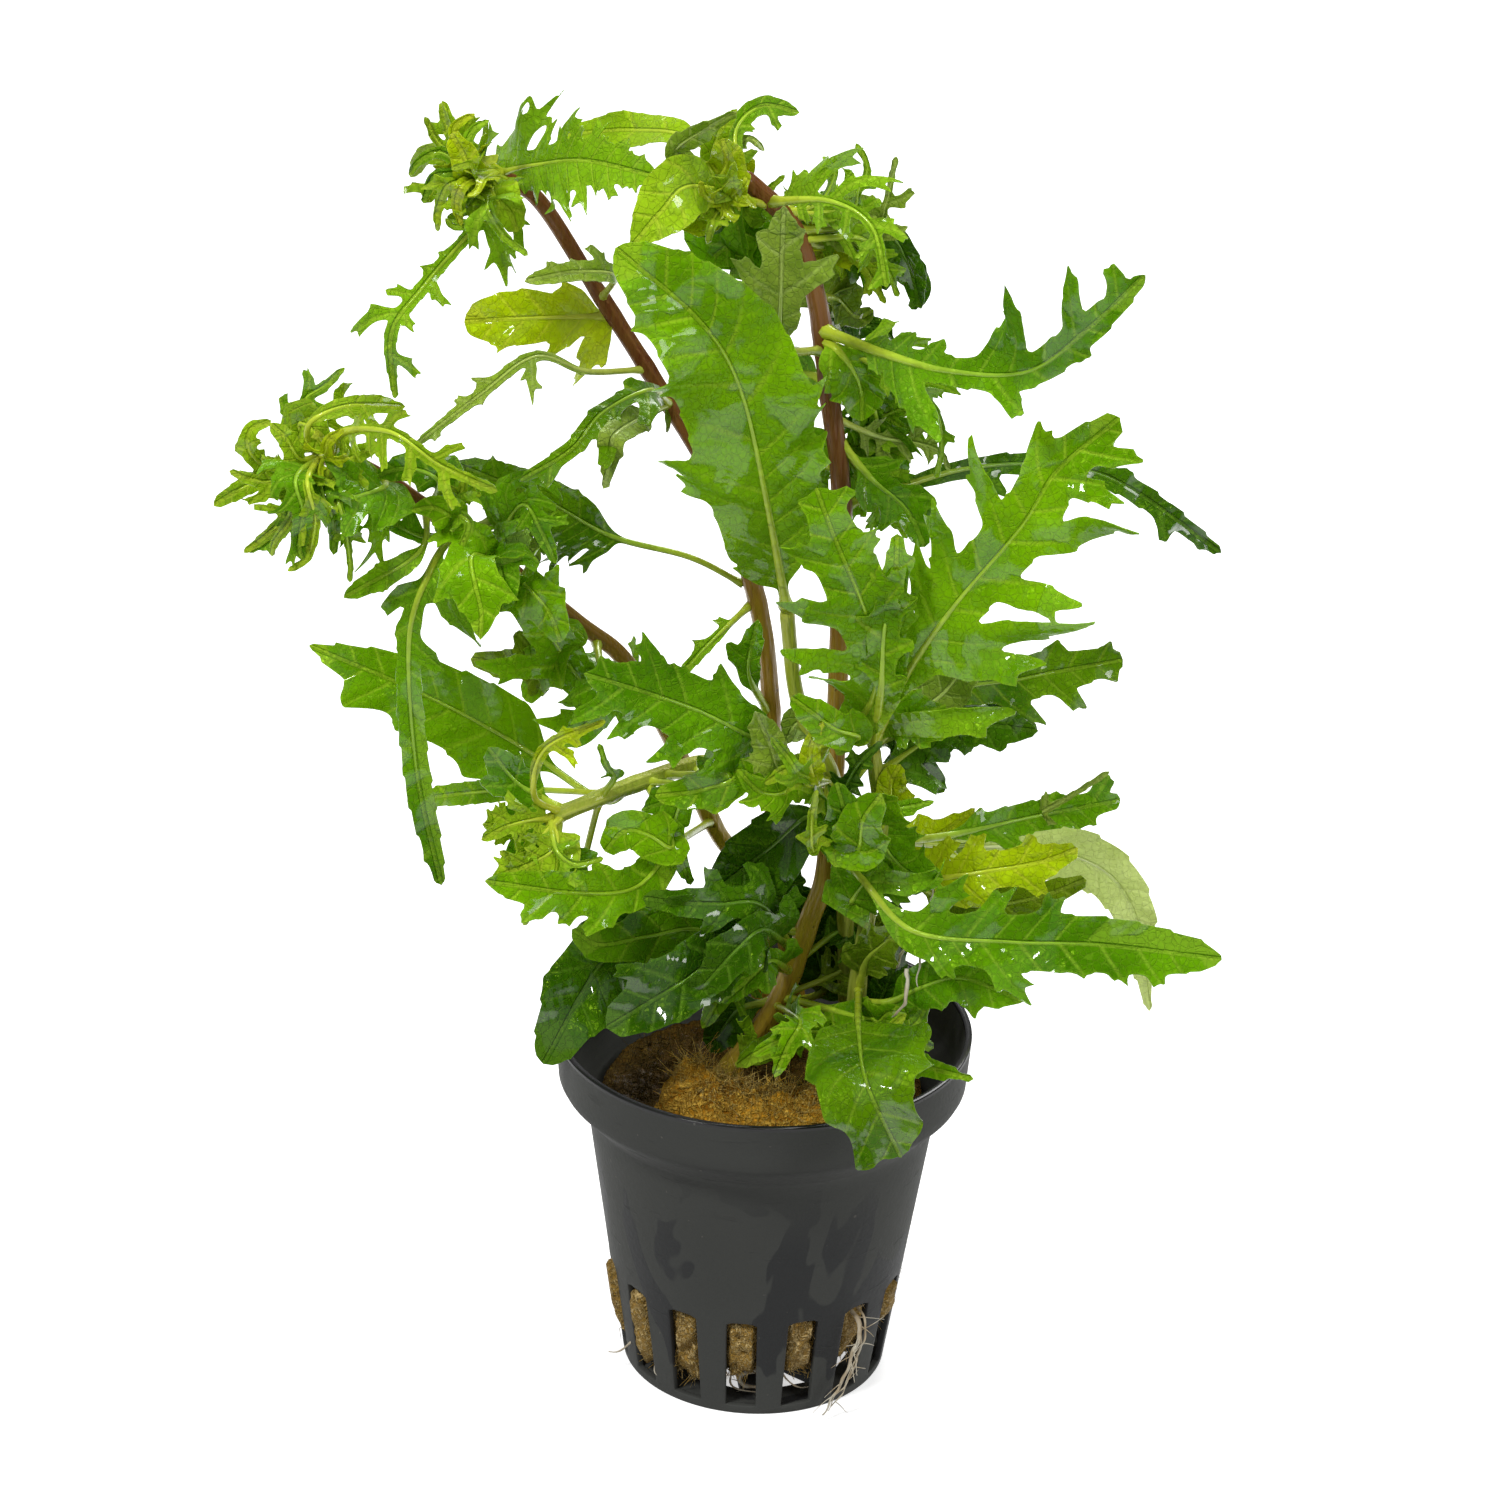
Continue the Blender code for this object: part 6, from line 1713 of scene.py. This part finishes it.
    def base(self) -> Mesh:
        """The floor: a disc with eight three-cornered gaps, given its thickness upwards.

        The field is the least of radius - r and, for each gap, the greatest of the three distances
        outside its sides. A side lies corner / 2 from the gap's middle.
        """
        edge = self.foot_radius - self.wall + 0.05
        line = np.arange(-edge - 0.5, edge + 0.5, self.floor_cell)
        x, y = np.meshgrid(line, line, indexing="ij")
        value = edge - np.hypot(x, y)
        for number in range(self.floor_gaps):
            turned = (number + 0.5) * math.tau / self.floor_gaps - math.pi / 2
            off_x = x - self.gap_radius * math.cos(turned)
            off_y = y - self.gap_radius * math.sin(turned)
            sides = [turned + math.tau * side / 3 for side in range(3)]
            beyond = [off_x * math.cos(side) + off_y * math.sin(side) - self.gap_corner / 2 for side in sides]
            value = np.minimum(value, np.max(beyond, axis=0))
        outline = Outline(line, line, value)
        flat = np.stack([outline.across, outline.up, np.full(len(outline.across), self.floor / 2)], axis=-1)
        points, top, below, rim = sheet(flat, outline, np.full(len(flat), self.floor - 0.02))
        return Skin().add(points, np.vstack([top, below]), rim=rim).mesh("pot_floor")

    def build(self) -> None:
        """Makes the wall with its rounded edges, and the floor."""
        plastic = self.plastic()
        wall = place("pot_wall", self.body(), [plastic], ("pot",))
        rounding = wall.modifiers.new("rounded_edges", "BEVEL")
        rounding.width = self.edge_round * MM
        rounding.segments = 2
        rounding.limit_method = "ANGLE"
        rounding.angle_limit = math.radians(38)
        place("pot_floor", self.base(), [plastic])

    @staticmethod
    def plastic() -> Material:
        """Near-black moulded plastic: satin, with darker wet blotches, painted shade on the chamfer under the
        collar, faint scuffs and dusty specks.
        """
        made = Recipe("pot_plastic_skin")
        low = made.axis(2).rise(0.04, 0.026)
        blotch = made.noise(75, 3, (1, 1, 0.5), distortion=0.5).rise(0.55, 0.565) * low
        haze = made.noise(28, 3).rise(0.3, 0.7)
        grain = made.noise(1500, 2)
        scuffs = made.noise(1, 4, (160, 160, 1100)).rise(0.62, 0.72)
        specks = made.noise(850, 1).rise(0.76, 0.8)
        lip = made.axis(2).rise(0.0486, 0.0489)
        # Painted shade: the chamfer under the collar, between about 39 and 42 mm up, is darkened where shade
        # falls.
        painted_collar_shade = made.axis(2).rise(0.0381, 0.039) * made.axis(2).rise(0.0428, 0.042)
        colour = made.layers(
            (0.065, 0.067, 0.062),
            (haze, (0.075, 0.077, 0.071)),
            (painted_collar_shade * 0.4, (0.02, 0.02, 0.019)),
            (blotch, (0.038, 0.039, 0.039)),
            (lip, (0.008, 0.008, 0.008)),
            (scuffs * 0.1, (0.06, 0.06, 0.058)),
            (specks * 0.5, (0.16, 0.15, 0.13)),
        )
        return made.surface({
            "Base Color": colour,
            "Specular IOR Level": 0.07,
            "Roughness": grain * 0.1 + 0.55 - blotch * 0.1 + scuffs * 0.1,
            "Coat Weight": lip * 0.5,
            "Coat Roughness": 0.15,
            "Normal": made.bump(grain * 0.4 + scuffs * 0.3, 0.00012),
        })


@dataclass
class WoolPlug:
    """The plug of mineral wool: a torn, fibrous body, and the loose fibres that stand out of it.

    crest and hem are rows of (angle in degrees, height), wads how far the wool bulges into each
    slot, and profile how many rings the underside, the side and the top have. top_share of the
    fibres lie on top, and front_share of those between the front_angles, in degrees.
    """

    pot: Pot
    top: float = 39.1
    foot: float = 6.6
    gap: float = 0.3
    tuft_share: float = 0.8
    tuft_depth: float = 0.15
    tuft_back: float = 0.6
    crest: tuple[tuple[float, float], ...] = (
        (-180, 0), (-140, 0.5), (-134, 2), (-130, 10), (-127, 12), (-118, 11.4), (-109, 10.7), (-100, 10.1),
        (-89, 8.7), (-78, 9.5), (-66, 8.6), (-55, 5), (-45, 2), (-35, 0), (180, 0))
    hem: tuple[tuple[float, float], ...] = (
        (-180, 5.5), (-150, 3.4), (-127, 4.0), (-112, 4.4), (-104, 6.4), (-82, 6.0), (-60, 6.6), (-38, 7.6),
        (-20, 9.5), (5, 8), (60, 6), (120, 5), (180, 5.5))
    wads: tuple[float, ...] = (1.2, 1.1, 1.0, 1.9, 1.3, 0.9, 1.2, 0.7, 1.1, 1.3, 0.9, 1.6, 2.1, 1.7, 1.1)
    turns: int = 360
    profile: tuple[int, int, int] = (21, 46, 44)
    fibres: int = 7600
    fibre_radius: float = 0.075
    top_share: float = 0.6
    front_share: float = 0.6
    front_angles: tuple[float, float] = (-128, -48)

    # The body's tones are darker and the fibres' paler: partly the wool's own amber, partly painted shade
    # among the fibres and painted highlight on them.
    SKIN_TONES_WITH_PAINTED_SHADE = ((0.3, 0.125, 0.005), (0.62, 0.3, 0.018), (0.86, 0.56, 0.09))
    FIBRE_TONES_WITH_PAINTED_HIGHLIGHT = ((0.5, 0.26, 0.02), (0.82, 0.5, 0.06), (0.95, 0.76, 0.28))

    def top_height(self, angle: Array, share: Array | float) -> Array:
        """The top: 0.4 sin(3a + 1) + 0.3 sin 5a at the rim, and the crest.

        Inwards the crest falls as e^-((share - its own) / depth)^2, and towards the rim it keeps the
        share tuft_back of its height, for its face stands steep.
        """
        waves = (0.4 * np.sin(3 * angle + 1) + 0.3 * np.sin(5 * angle)) * share
        inward = np.exp(-(((share - self.tuft_share) / self.tuft_depth) ** 2))
        inward = np.where(share > self.tuft_share, self.tuft_back + (1 - self.tuft_back) * inward, inward)
        return self.top + waves + self.read(self.crest, angle) * inward

    def foot_height(self, angle: Array, share: float) -> Array:
        """The torn underside: the hem with teeth of 0.5 sin 23a + 0.35 sin(41a + 1), flat in the middle."""
        teeth = 0.5 * np.sin(23 * angle) + 0.35 * np.sin(41 * angle + 1)
        return self.foot + (self.read(self.hem, angle) + teeth - self.foot) * share

    @staticmethod
    def read(table: tuple[tuple[float, float], ...], angle: Array) -> Array:
        """The heights of a table of (angle in degrees, height), straight between its rows."""
        turned = (np.degrees(angle) + 180) % 360 - 180
        return np.interp(turned, [row[0] for row in table], [row[1] for row in table])

    def wad(self, angle: Array, height: Array, reach: Array) -> Array:
        """How far the wool bulges into a slot: the slot's own bulge, faded over its sides and its top."""
        pitch = math.tau / self.pot.slots
        place_of = (angle - math.radians(self.pot.first_slot - 90)) / pitch
        number = np.round(place_of)
        off = np.abs(place_of - number) * pitch * reach
        bulge = np.array(self.wads)[number.astype(int) % self.pot.slots]
        half, top = self.pot.slot_width / 2, self.pot.slot_top
        return bulge * step(half - 0.2, half - 0.75, off) * step(top - 0.2, top - 1.2, height)

    @staticmethod
    def crumple(points: Array, scale: float, seed: str) -> Array:
        """Smooth noise of a size in millimetres: a fifth of the sum of twelve sines on random headings."""
        chance = seeded(seed)
        total = np.zeros(len(points))
        for _ in range(12):
            direction = unit(chance.normal(size=3)) * chance.uniform(0.6, 1.7) / scale
            total += np.sin(points @ direction * math.tau + chance.uniform(0, math.tau))
        return total / 5

    def rings(self) -> Array:
        """The body as rings of points: underside, side and top, one ring a step of its profile."""
        angle = np.linspace(-math.pi, math.pi, self.turns, endpoint=False)
        wall = self.pot.radius(np.array([self.foot, self.pot.body_top - 3])) - self.pot.wall - self.gap
        below, beside, above = self.profile
        low = self.foot_height(angle, 1)
        made = []
        for share in np.linspace(0.02, 1, below + 1)[:-1]:
            made.append((share * (wall[0] - 0.8), self.foot_height(angle, share)))
        for share in np.linspace(0, 1, beside):
            height = low + (self.pot.body_top - 2.6 - low) * share
            reach = self.pot.radius(height) - self.pot.wall - self.gap
            reach = reach - 0.9 * np.exp(-((share / 0.05) ** 2)) - 1.1 * np.exp(-(((1 - share) / 0.05) ** 2))
            made.append((reach + self.wad(angle, height, reach), height))
        for share in np.linspace(1, 0.02, above):
            made.append((share * (wall[1] - 0.3), self.top_height(angle, share)))
        return np.stack([polar(reach, angle, height) for reach, height in made])

    def push(self, flat: Array) -> Array:
        """How far points of the surface are pushed: noise of three sizes, and of two more on the crest."""
        depth = (0.55 * self.crumple(flat, 7.0, "lumps") + 0.35 * self.crumple(flat, 2.6, "tears")
                 + 0.12 * self.crumple(flat, 1.3, "curls"))
        crest = np.clip(self.read(self.crest, np.arctan2(flat[:, 1], flat[:, 0])) / 9, 0, 1)
        torn = self.crumple(flat, 3.4, "torn") + 0.7 * self.crumple(flat, 1.5, "wisps")
        depth = depth + crest * torn
        return np.clip(depth, -1.4, 1.6)

    def body(self) -> Mesh:
        """The plug's surface, pushed in and out by the noise, and closed at both ends."""
        rings = self.rings()
        flat = rings.reshape(-1, 3)
        push = self.push(flat)[:, None]
        row = np.repeat(np.arange(len(rings)), self.turns)
        below, beside, _ = self.profile
        on_side = (row >= below) & (row < below + beside)
        outward = unit(flat * (1, 1, 0))
        moved = flat + np.where(on_side[:, None], outward * (np.minimum(push, 0) * 0.7 - 0.1),
                                np.array((0, 0, 1.0)) * (push * 0.9))
        ends = [moved[: self.turns].mean(axis=0), moved[-self.turns:].mean(axis=0)]
        return Skin().add(np.vstack([moved, ends]), tube_faces(len(rings), self.turns)).mesh("wool_body")

    def loose(self) -> Mesh:
        """The loose fibres: each a bent, three-sided thread from a point of the surface.

        A thread's stations are start + t x heading + t^2 x bend, lying mostly along the surface on
        top, and pointing out of the slots and down round the foot.
        """
        chance = seeded("fibres")
        many = self.fibres
        angle = chance.uniform(-math.pi, math.pi, many)
        front = chance.random(many) < self.front_share
        angle = np.where(front, chance.uniform(*np.radians(self.front_angles), many), angle)
        share = np.sqrt(np.where(front, chance.uniform(0.25, 0.92, many), chance.uniform(0.01, 0.98, many)))
        reach = share * (self.pot.radius(self.pot.body_top - 3) - self.pot.wall - 1.9)
        top = polar(reach, angle, self.top_height(angle, share) - 0.1)
        top[:, 2] += 0.9 * self.push(top)
        side_angle = chance.uniform(-math.pi, math.pi, many)
        side_height = self.foot_height(side_angle, 1) + chance.exponential(2.6, many).clip(0, 8.5)
        side_reach = self.pot.radius(side_height) - self.pot.wall - self.gap - 0.5
        is_top = (np.arange(many) < int(many * self.top_share))[:, None]
        start = np.where(is_top, top, polar(side_reach, side_angle, side_height))
        flat = chance.normal(size=(many, 3)) * (1, 1, 0.3)
        spread = chance.normal(size=(many, 3)) * (0.7, 0.7, 0.6)
        outward = polar(1, side_angle, np.zeros(many)) * 0.5 + spread - (0, 0, 0.35)
        heading = np.where(is_top, unit(flat + (0, 0, 0.35)), unit(outward))
        length = chance.uniform(0.8, 2.3, many)[:, None] * np.where(is_top, 1.0, 0.75)
        bend = chance.normal(size=(many, 3)) * 0.6
        t = np.linspace(-0.15, 1, 4)[None, :, None]
        paths = start[:, None] + length[:, None] * (t * heading[:, None] + t * t * bend[:, None])
        thinned = self.fibre_radius * (1.1 - 0.75 * np.clip(t[..., 0], 0, 1))
        radii = thinned * chance.uniform(0.7, 1.3, (many, 1))
        return Skin().add(*tubes(self.held_in(paths), radii, 3)).mesh("wool_fibres")

    def held_in(self, paths: Array) -> Array:
        """Keeps the fibres inside the pot's bars, and above its floor."""
        across = np.hypot(paths[..., 0], paths[..., 1])
        most = self.pot.radius(paths[..., 2]) - self.pot.wall - 0.12
        pitch = math.tau / self.pot.slots
        start = math.radians(self.pot.first_slot - 90)
        off = np.abs(np.mod(np.arctan2(paths[..., 1], paths[..., 0]) - start + pitch / 2, pitch) - pitch / 2)
        in_slot = (off * across < self.pot.slot_width / 2 - 0.2) & (paths[..., 2] < self.pot.slot_top - 0.4)
        most = np.where(in_slot, most + self.pot.wall + 0.5, most)
        shrink = np.minimum(1, most / np.maximum(across, 1e-6))
        height = np.maximum(paths[..., 2], self.pot.floor + 0.2)
        return np.stack([paths[..., 0] * shrink, paths[..., 1] * shrink, height], axis=-1)

    def build(self) -> None:
        """Makes the body and the fibres."""
        place("wool_body", self.body(), [self.wool("wool_skin", self.SKIN_TONES_WITH_PAINTED_SHADE)], ("wool_plug",))
        place("wool_fibres", self.loose(), [self.wool("wool_fibre", self.FIBRE_TONES_WITH_PAINTED_HIGHLIGHT)])

    @staticmethod
    def wool(name: str, tones: tuple[Colour, Colour, Colour]) -> Material:
        """Damp amber wool: brown in its hollows, golden on its threads, darker at the back and the left of
        its upper part, partly with water and partly as painted shade.
        """
        made = Recipe(name)
        thread = made.noise(1, 3, (1500, 330, 1100), distortion=2.0).rise(0.42, 0.62)
        cross = made.noise(1, 3, (330, 1400, 900), distortion=2.0).rise(0.43, 0.63)
        clump = made.noise(190, 4).rise(0.38, 0.62)
        wet = made.noise(48, 2).rise(0.45, 0.62)
        dark, mid, gold = tones
        # Painted shade, with some water: masks that darken the upper part of the plug towards the back and
        # towards the left.
        back = made.axis(1).rise(-0.0135, -0.008)
        left = made.axis(0).rise(-0.010, -0.017)
        upper = made.axis(2).rise(0.02, 0.03)
        lower = made.axis(2).rise(0.019, 0.015)
        colour = made.layers(
            dark,
            (clump, mid),
            (thread * 0.6, gold),
            (cross * 0.4, gold),
            (wet * 0.35, dark),
            (lower * 0.7, made.mix(thread, (0.42, 0.27, 0.07), (0.86, 0.66, 0.32))),
            # Painted shade, with some water: the upper part of the plug darkened at the left and at the back.
            (left * 0.5 * upper, (0.06, 0.036, 0.003)),
            (back * 0.8 * upper, (0.03, 0.018, 0.002)),
        )
        return made.surface({
            "Base Color": colour,
            "Roughness": 0.95 - wet * 0.3,
            "Specular IOR Level": 0.1,
            "Coat Weight": wet * 0.04,
            "Coat Roughness": 0.2,
            "Normal": made.bump(thread * 0.6 + cross * 0.5 + clump, 0.0007),
        })


@dataclass
class Roots:
    """The pale roots round the foot, and a few dry threads among the stems.

    A row of CURVED is (CAD node, radius, points), and one of LOOSE or DRY is (radius, points).
    lowest is the least height of a hair's middle line.
    """

    sides: int = 6
    hair_radius: float = 0.09
    lowest: float = 0.25

    BUNDLE = (
        ((12.2, -13, 14.3), (13.3, -14.8, 13.8), (13.8, -15.9, 12.2), (13.4, -16.7, 9.8),
         (12.1, -17.6, 6.3), (10.6, -18.3, 3), (9.2, -18.6, 0.9)),
        ((12.9, -12.8, 13.6), (13.9, -14.4, 13.2), (14.3, -15.6, 11.4), (13.7, -16.4, 8.8),
         (12.7, -17.2, 5.8), (11.7, -17.9, 3.6), (10.6, -18.2, 2)),
        ((13.2, -12.9, 14.5), (14.3, -14.3, 14), (14.7, -15.4, 12.2), (13.9, -16.4, 9.2),
         (12.4, -17.5, 5.4), (11.3, -18, 3.6), (10.1, -18.4, 1.4)),
    )
    BUNDLE_RADII = (0.33, 0.24, 0.18)
    CURVED = (
        ("root_curved", 0.42, ((0.8, -14.6, 5), (-1, -14.9, 4.7), (-1.8, -14.9, 3.8), (-1, -14.8, 2.7),
                               (0.8, -14.4, 2.2), (2.4, -14, 2.4))),
        ("root_curved_left", 0.55, ((-8.3, -12.1, 6.8), (-7.6, -12.7, 5.6), (-7.2, -13.1, 4.2),
                                    (-7.6, -13.2, 2.4))),
    )
    LOOSE = (
        (0.2, ((-0.6, -13.6, 6.6), (-2.6, -15, 5.2), (-3, -15.4, 3.4), (-1.6, -15.4, 2.2), (1, -15.2, 1.9))),
        (0.16, ((3.4, -13.0, 6.4), (4.2, -14.6, 4.0), (6.2, -15.0, 2.9), (8.4, -14.2, 2.6))),
        (0.22, ((-14.5, -7.5, 6.2), (-16.6, -7.8, 4.4), (-18.0, -8.0, 3.0), (-19.4, -7.6, 2.7))),
        (0.16, ((-11.0, -10.8, 7.2), (-12.8, -11.8, 5.0), (-13.2, -12.4, 3.0), (-12.0, -12.9, 1.9))),
        (0.18, ((9.4, -11.0, 7.0), (10.0, -13.4, 5.2), (9.0, -14.6, 3.6), (10.6, -14.0, 2.2))),
    )
    DRY = (
        (0.3, ((18, -12, 64.5), (18, -13, 63.5), (18, -14, 62), (17.5, -14, 60), (16, -13, 57.5))),
        (0.2, ((19.5, -13, 68.5), (19.5, -14, 66), (19.5, -14, 63))),
        (0.2, ((17.0, -3, 60), (18.6, -5, 66), (21.0, -6, 71), (20.4, -7, 75.5))),
    )

    def strand(
        self, made: Skin, points: tuple[Point, ...], radius: float, wander: float, name: str
    ) -> Array:
        """One strand: its radius falls to a third at the end, and it wanders by smooth noise.

        Args:
            made: The piece that it is added to.
            points: The points that it runs through.
            radius: Its radius at the start.
            wander: How far it wanders.
            name: What its chances are drawn from.

        Returns:
            The points of its middle line.
        """
        path = Route(points)
        share = np.linspace(0, 1, max(18, int(path.length / 0.35)))
        run = share * path.length
        chance = seeded(name)
        wave = sum(np.sin(run[:, None] / pitch + chance.uniform(0, 6, 3)) for pitch in (0.55, 1.1, 2.3))
        middle = path.at(share) + wave * wander * np.minimum(share * 6, 1)[:, None]
        radii = radius * (1 - 0.65 * share**1.5) * (1 + 0.12 * np.sin(run * 3.0))
        made.add(*tubes(middle[None], radii[None], self.sides))
        return middle

    def hairs(self, made: Skin, middle: Array, count: int, length: float, name: str) -> None:
        """Fine side hairs along a strand, pointing outwards and down."""
        chance = seeded(name)
        start = middle[chance.integers(2, len(middle) - 2, count)]
        outward = unit(start * (1, 1, 0) + 1e-9)
        aside = np.cross(outward, (0, 0, 1.0)) * chance.choice([-1, 1], count)[:, None]
        heading = unit(aside + outward * 0.35 + chance.normal(size=start.shape) * 0.35 - (0, 0, 0.15))
        bend = chance.normal(size=start.shape) * 0.12 - (0, 0, 0.08)
        t = np.linspace(0, 1, 7)[None, :, None]
        long = chance.uniform(0.4, 1.0, count)[:, None, None] * length
        paths = start[:, None] + long * (t * heading[:, None] + t * t * bend[:, None])
        radii = self.hair_radius * (1.1 - 0.7 * t[..., 0]) * np.ones((count, 1))
        paths[..., 2] = np.maximum(paths[..., 2], self.lowest)
        made.add(*tubes(paths, radii, 4))

    def build(self) -> None:
        """Makes the bundle, the curved roots and the threads."""
        pale = self.skin()
        bundle = Skin()
        for number, (points, radius) in enumerate(zip(self.BUNDLE, self.BUNDLE_RADII)):
            middle = self.strand(bundle, points, radius, 0.1, f"bundle{number}")
            self.hairs(bundle, middle, 6, 4.0, f"hairs{number}")
        place("root_bundle_strands", bundle.mesh("root_bundle_strands"), [pale], ("root_bundle",))
        for name, radius, points in self.CURVED:
            made = Skin()
            self.hairs(made, self.strand(made, points, radius, 0.05, name), 5, 1.6, name)
            place(name + "_strand", made.mesh(name + "_strand"), [pale], (name,))
        for title, rows, wander in (("loose_roots", self.LOOSE, 0.06), ("dry_threads", self.DRY, 0.14)):
            made = Skin()
            for number, (radius, points) in enumerate(rows):
                self.strand(made, points, radius, wander, f"{title}{number}")
            place(title, made.mesh(title), [pale])

    @staticmethod
    def skin() -> Material:
        """A pale root: cream, with straw-brown stains and fine streaks."""
        made = Recipe("pale_root")
        stain = made.noise(260, 3).rise(0.42, 0.66)
        streak = made.noise(1800, 2)
        stained = made.mix(stain, (0.66, 0.60, 0.46), (0.36, 0.25, 0.11))
        colour = made.mix(streak * 0.3, stained, (0.80, 0.76, 0.66))
        return made.surface({
            "Base Color": colour,
            "Roughness": streak * 0.2 + 0.45,
            "Normal": made.bump(streak, 0.0001),
        })


@dataclass
class Studio:
    """The floor, the lights and the camera of the photograph.

    camera_down and camera_roll are in degrees. A lamp is (name, place, width in metres, watts).
    floor_half is in metres, and world and floor_glow are the light of the air and of the floor.
    """

    floor_half: float = 6.0
    lens: float = 108.0
    sensor: float = 36.0
    camera_at: Point = (-2.988, -522.89, 333.00)
    camera_down: float = 25.0
    camera_roll: float = 1.803
    world: float = 0.34
    floor_glow: float = 0.62
    aim: Point = (0.0, 0.0, 85.0)
    lamps: tuple[tuple[str, Point, float, float], ...] = (
        ("key_softbox", (-420, -420, 780), 0.16, 4.4),
        ("fill_softbox", (560, -420, 420), 0.22, 1.3),
        ("back_softbox", (120, 640, 640), 0.30, 2.8),
        ("top_softbox", (60, -60, 900), 0.20, 2.4),
    )

    def build(self) -> None:
        """Sets up the stage."""
        self.ground()
        self.sky()
        for name, where, size, power in self.lamps:
            self.lamp(name, where, size, power)
        self.camera()
        settings = bpy.context.scene.view_settings
        settings.view_transform = "Standard"
        settings.look = "None"

    def ground(self) -> None:
        """A plain white floor."""
        half = self.floor_half
        mesh = bpy.data.meshes.new("studio_floor")
        corners = [(-half, -half, 0), (half, -half, 0), (half, half, 0), (-half, half, 0)]
        mesh.from_pydata(corners, [], [range(4)])
        made = Recipe("studio_paper")
        paper = made.mix(made.noise(3, 2), (0.93, 0.93, 0.93), (0.95, 0.95, 0.95))
        mesh.materials.append(made.surface({
            "Base Color": paper, "Roughness": 0.9, "Specular IOR Level": 0.1,
            "Emission Color": paper, "Emission Strength": self.floor_glow,
        }))
        floor = linked("studio_floor", mesh)
        floor.visible_diffuse = False

    def sky(self) -> None:
        """An even white world."""
        world = bpy.data.worlds.new("studio_air")
        world.use_nodes = True
        background = world.node_tree.nodes["Background"]
        background.inputs["Color"].default_value = (1, 1, 1, 1)
        background.inputs["Strength"].default_value = self.world
        bpy.context.scene.world = world

    def lamp(self, name: str, where: Point, size: float, power: float) -> None:
        """A square soft light that looks at the middle of the plant."""
        data = bpy.data.lights.new(name, "AREA")
        data.shape = "SQUARE"
        data.size = size
        data.energy = power
        lamp = linked(name, data)
        lamp.location = Vector(where) * MM
        lamp.rotation_euler = (Vector(self.aim) - Vector(where)).to_track_quat("-Z", "Y").to_euler()

    def camera(self) -> None:
        """The camera of the photograph: straight ahead, looking down, and turned a little."""
        data = bpy.data.cameras.new("photo_camera")
        data.lens = self.lens
        data.sensor_width = self.sensor
        data.sensor_fit = "HORIZONTAL"
        data.clip_start = 0.01
        down, roll = math.radians(self.camera_down), math.radians(self.camera_roll)
        right = Vector((1, 0, 0))
        up = Vector((0, math.sin(down), math.cos(down)))
        back = Vector((0, -math.cos(down), math.sin(down)))
        across = right * math.cos(roll) + up * math.sin(roll)
        upward = up * math.cos(roll) - right * math.sin(roll)
        turned = Matrix((across, upward, back)).transposed().to_4x4()
        camera = linked("photo_camera", data)
        camera.matrix_world = Matrix.Translation(Vector(self.camera_at) * MM) @ turned
        bpy.context.scene.camera = camera


def main() -> None:
    """Dresses the pot, the wool, the roots, the stems and the leaves, and sets up the studio."""
    logging.basicConfig(level=logging.INFO, format="%(message)s")
    Studio().build()
    pot = Pot()
    pot.build()
    WoolPlug(pot).build()
    Roots().build()
    Stems(STEMS, LEAVES).build()
    Foliage(LEAVES, CLUSTERS, {stem.name: stem for stem in STEMS}).build()


if __name__ == "__main__":
    main()
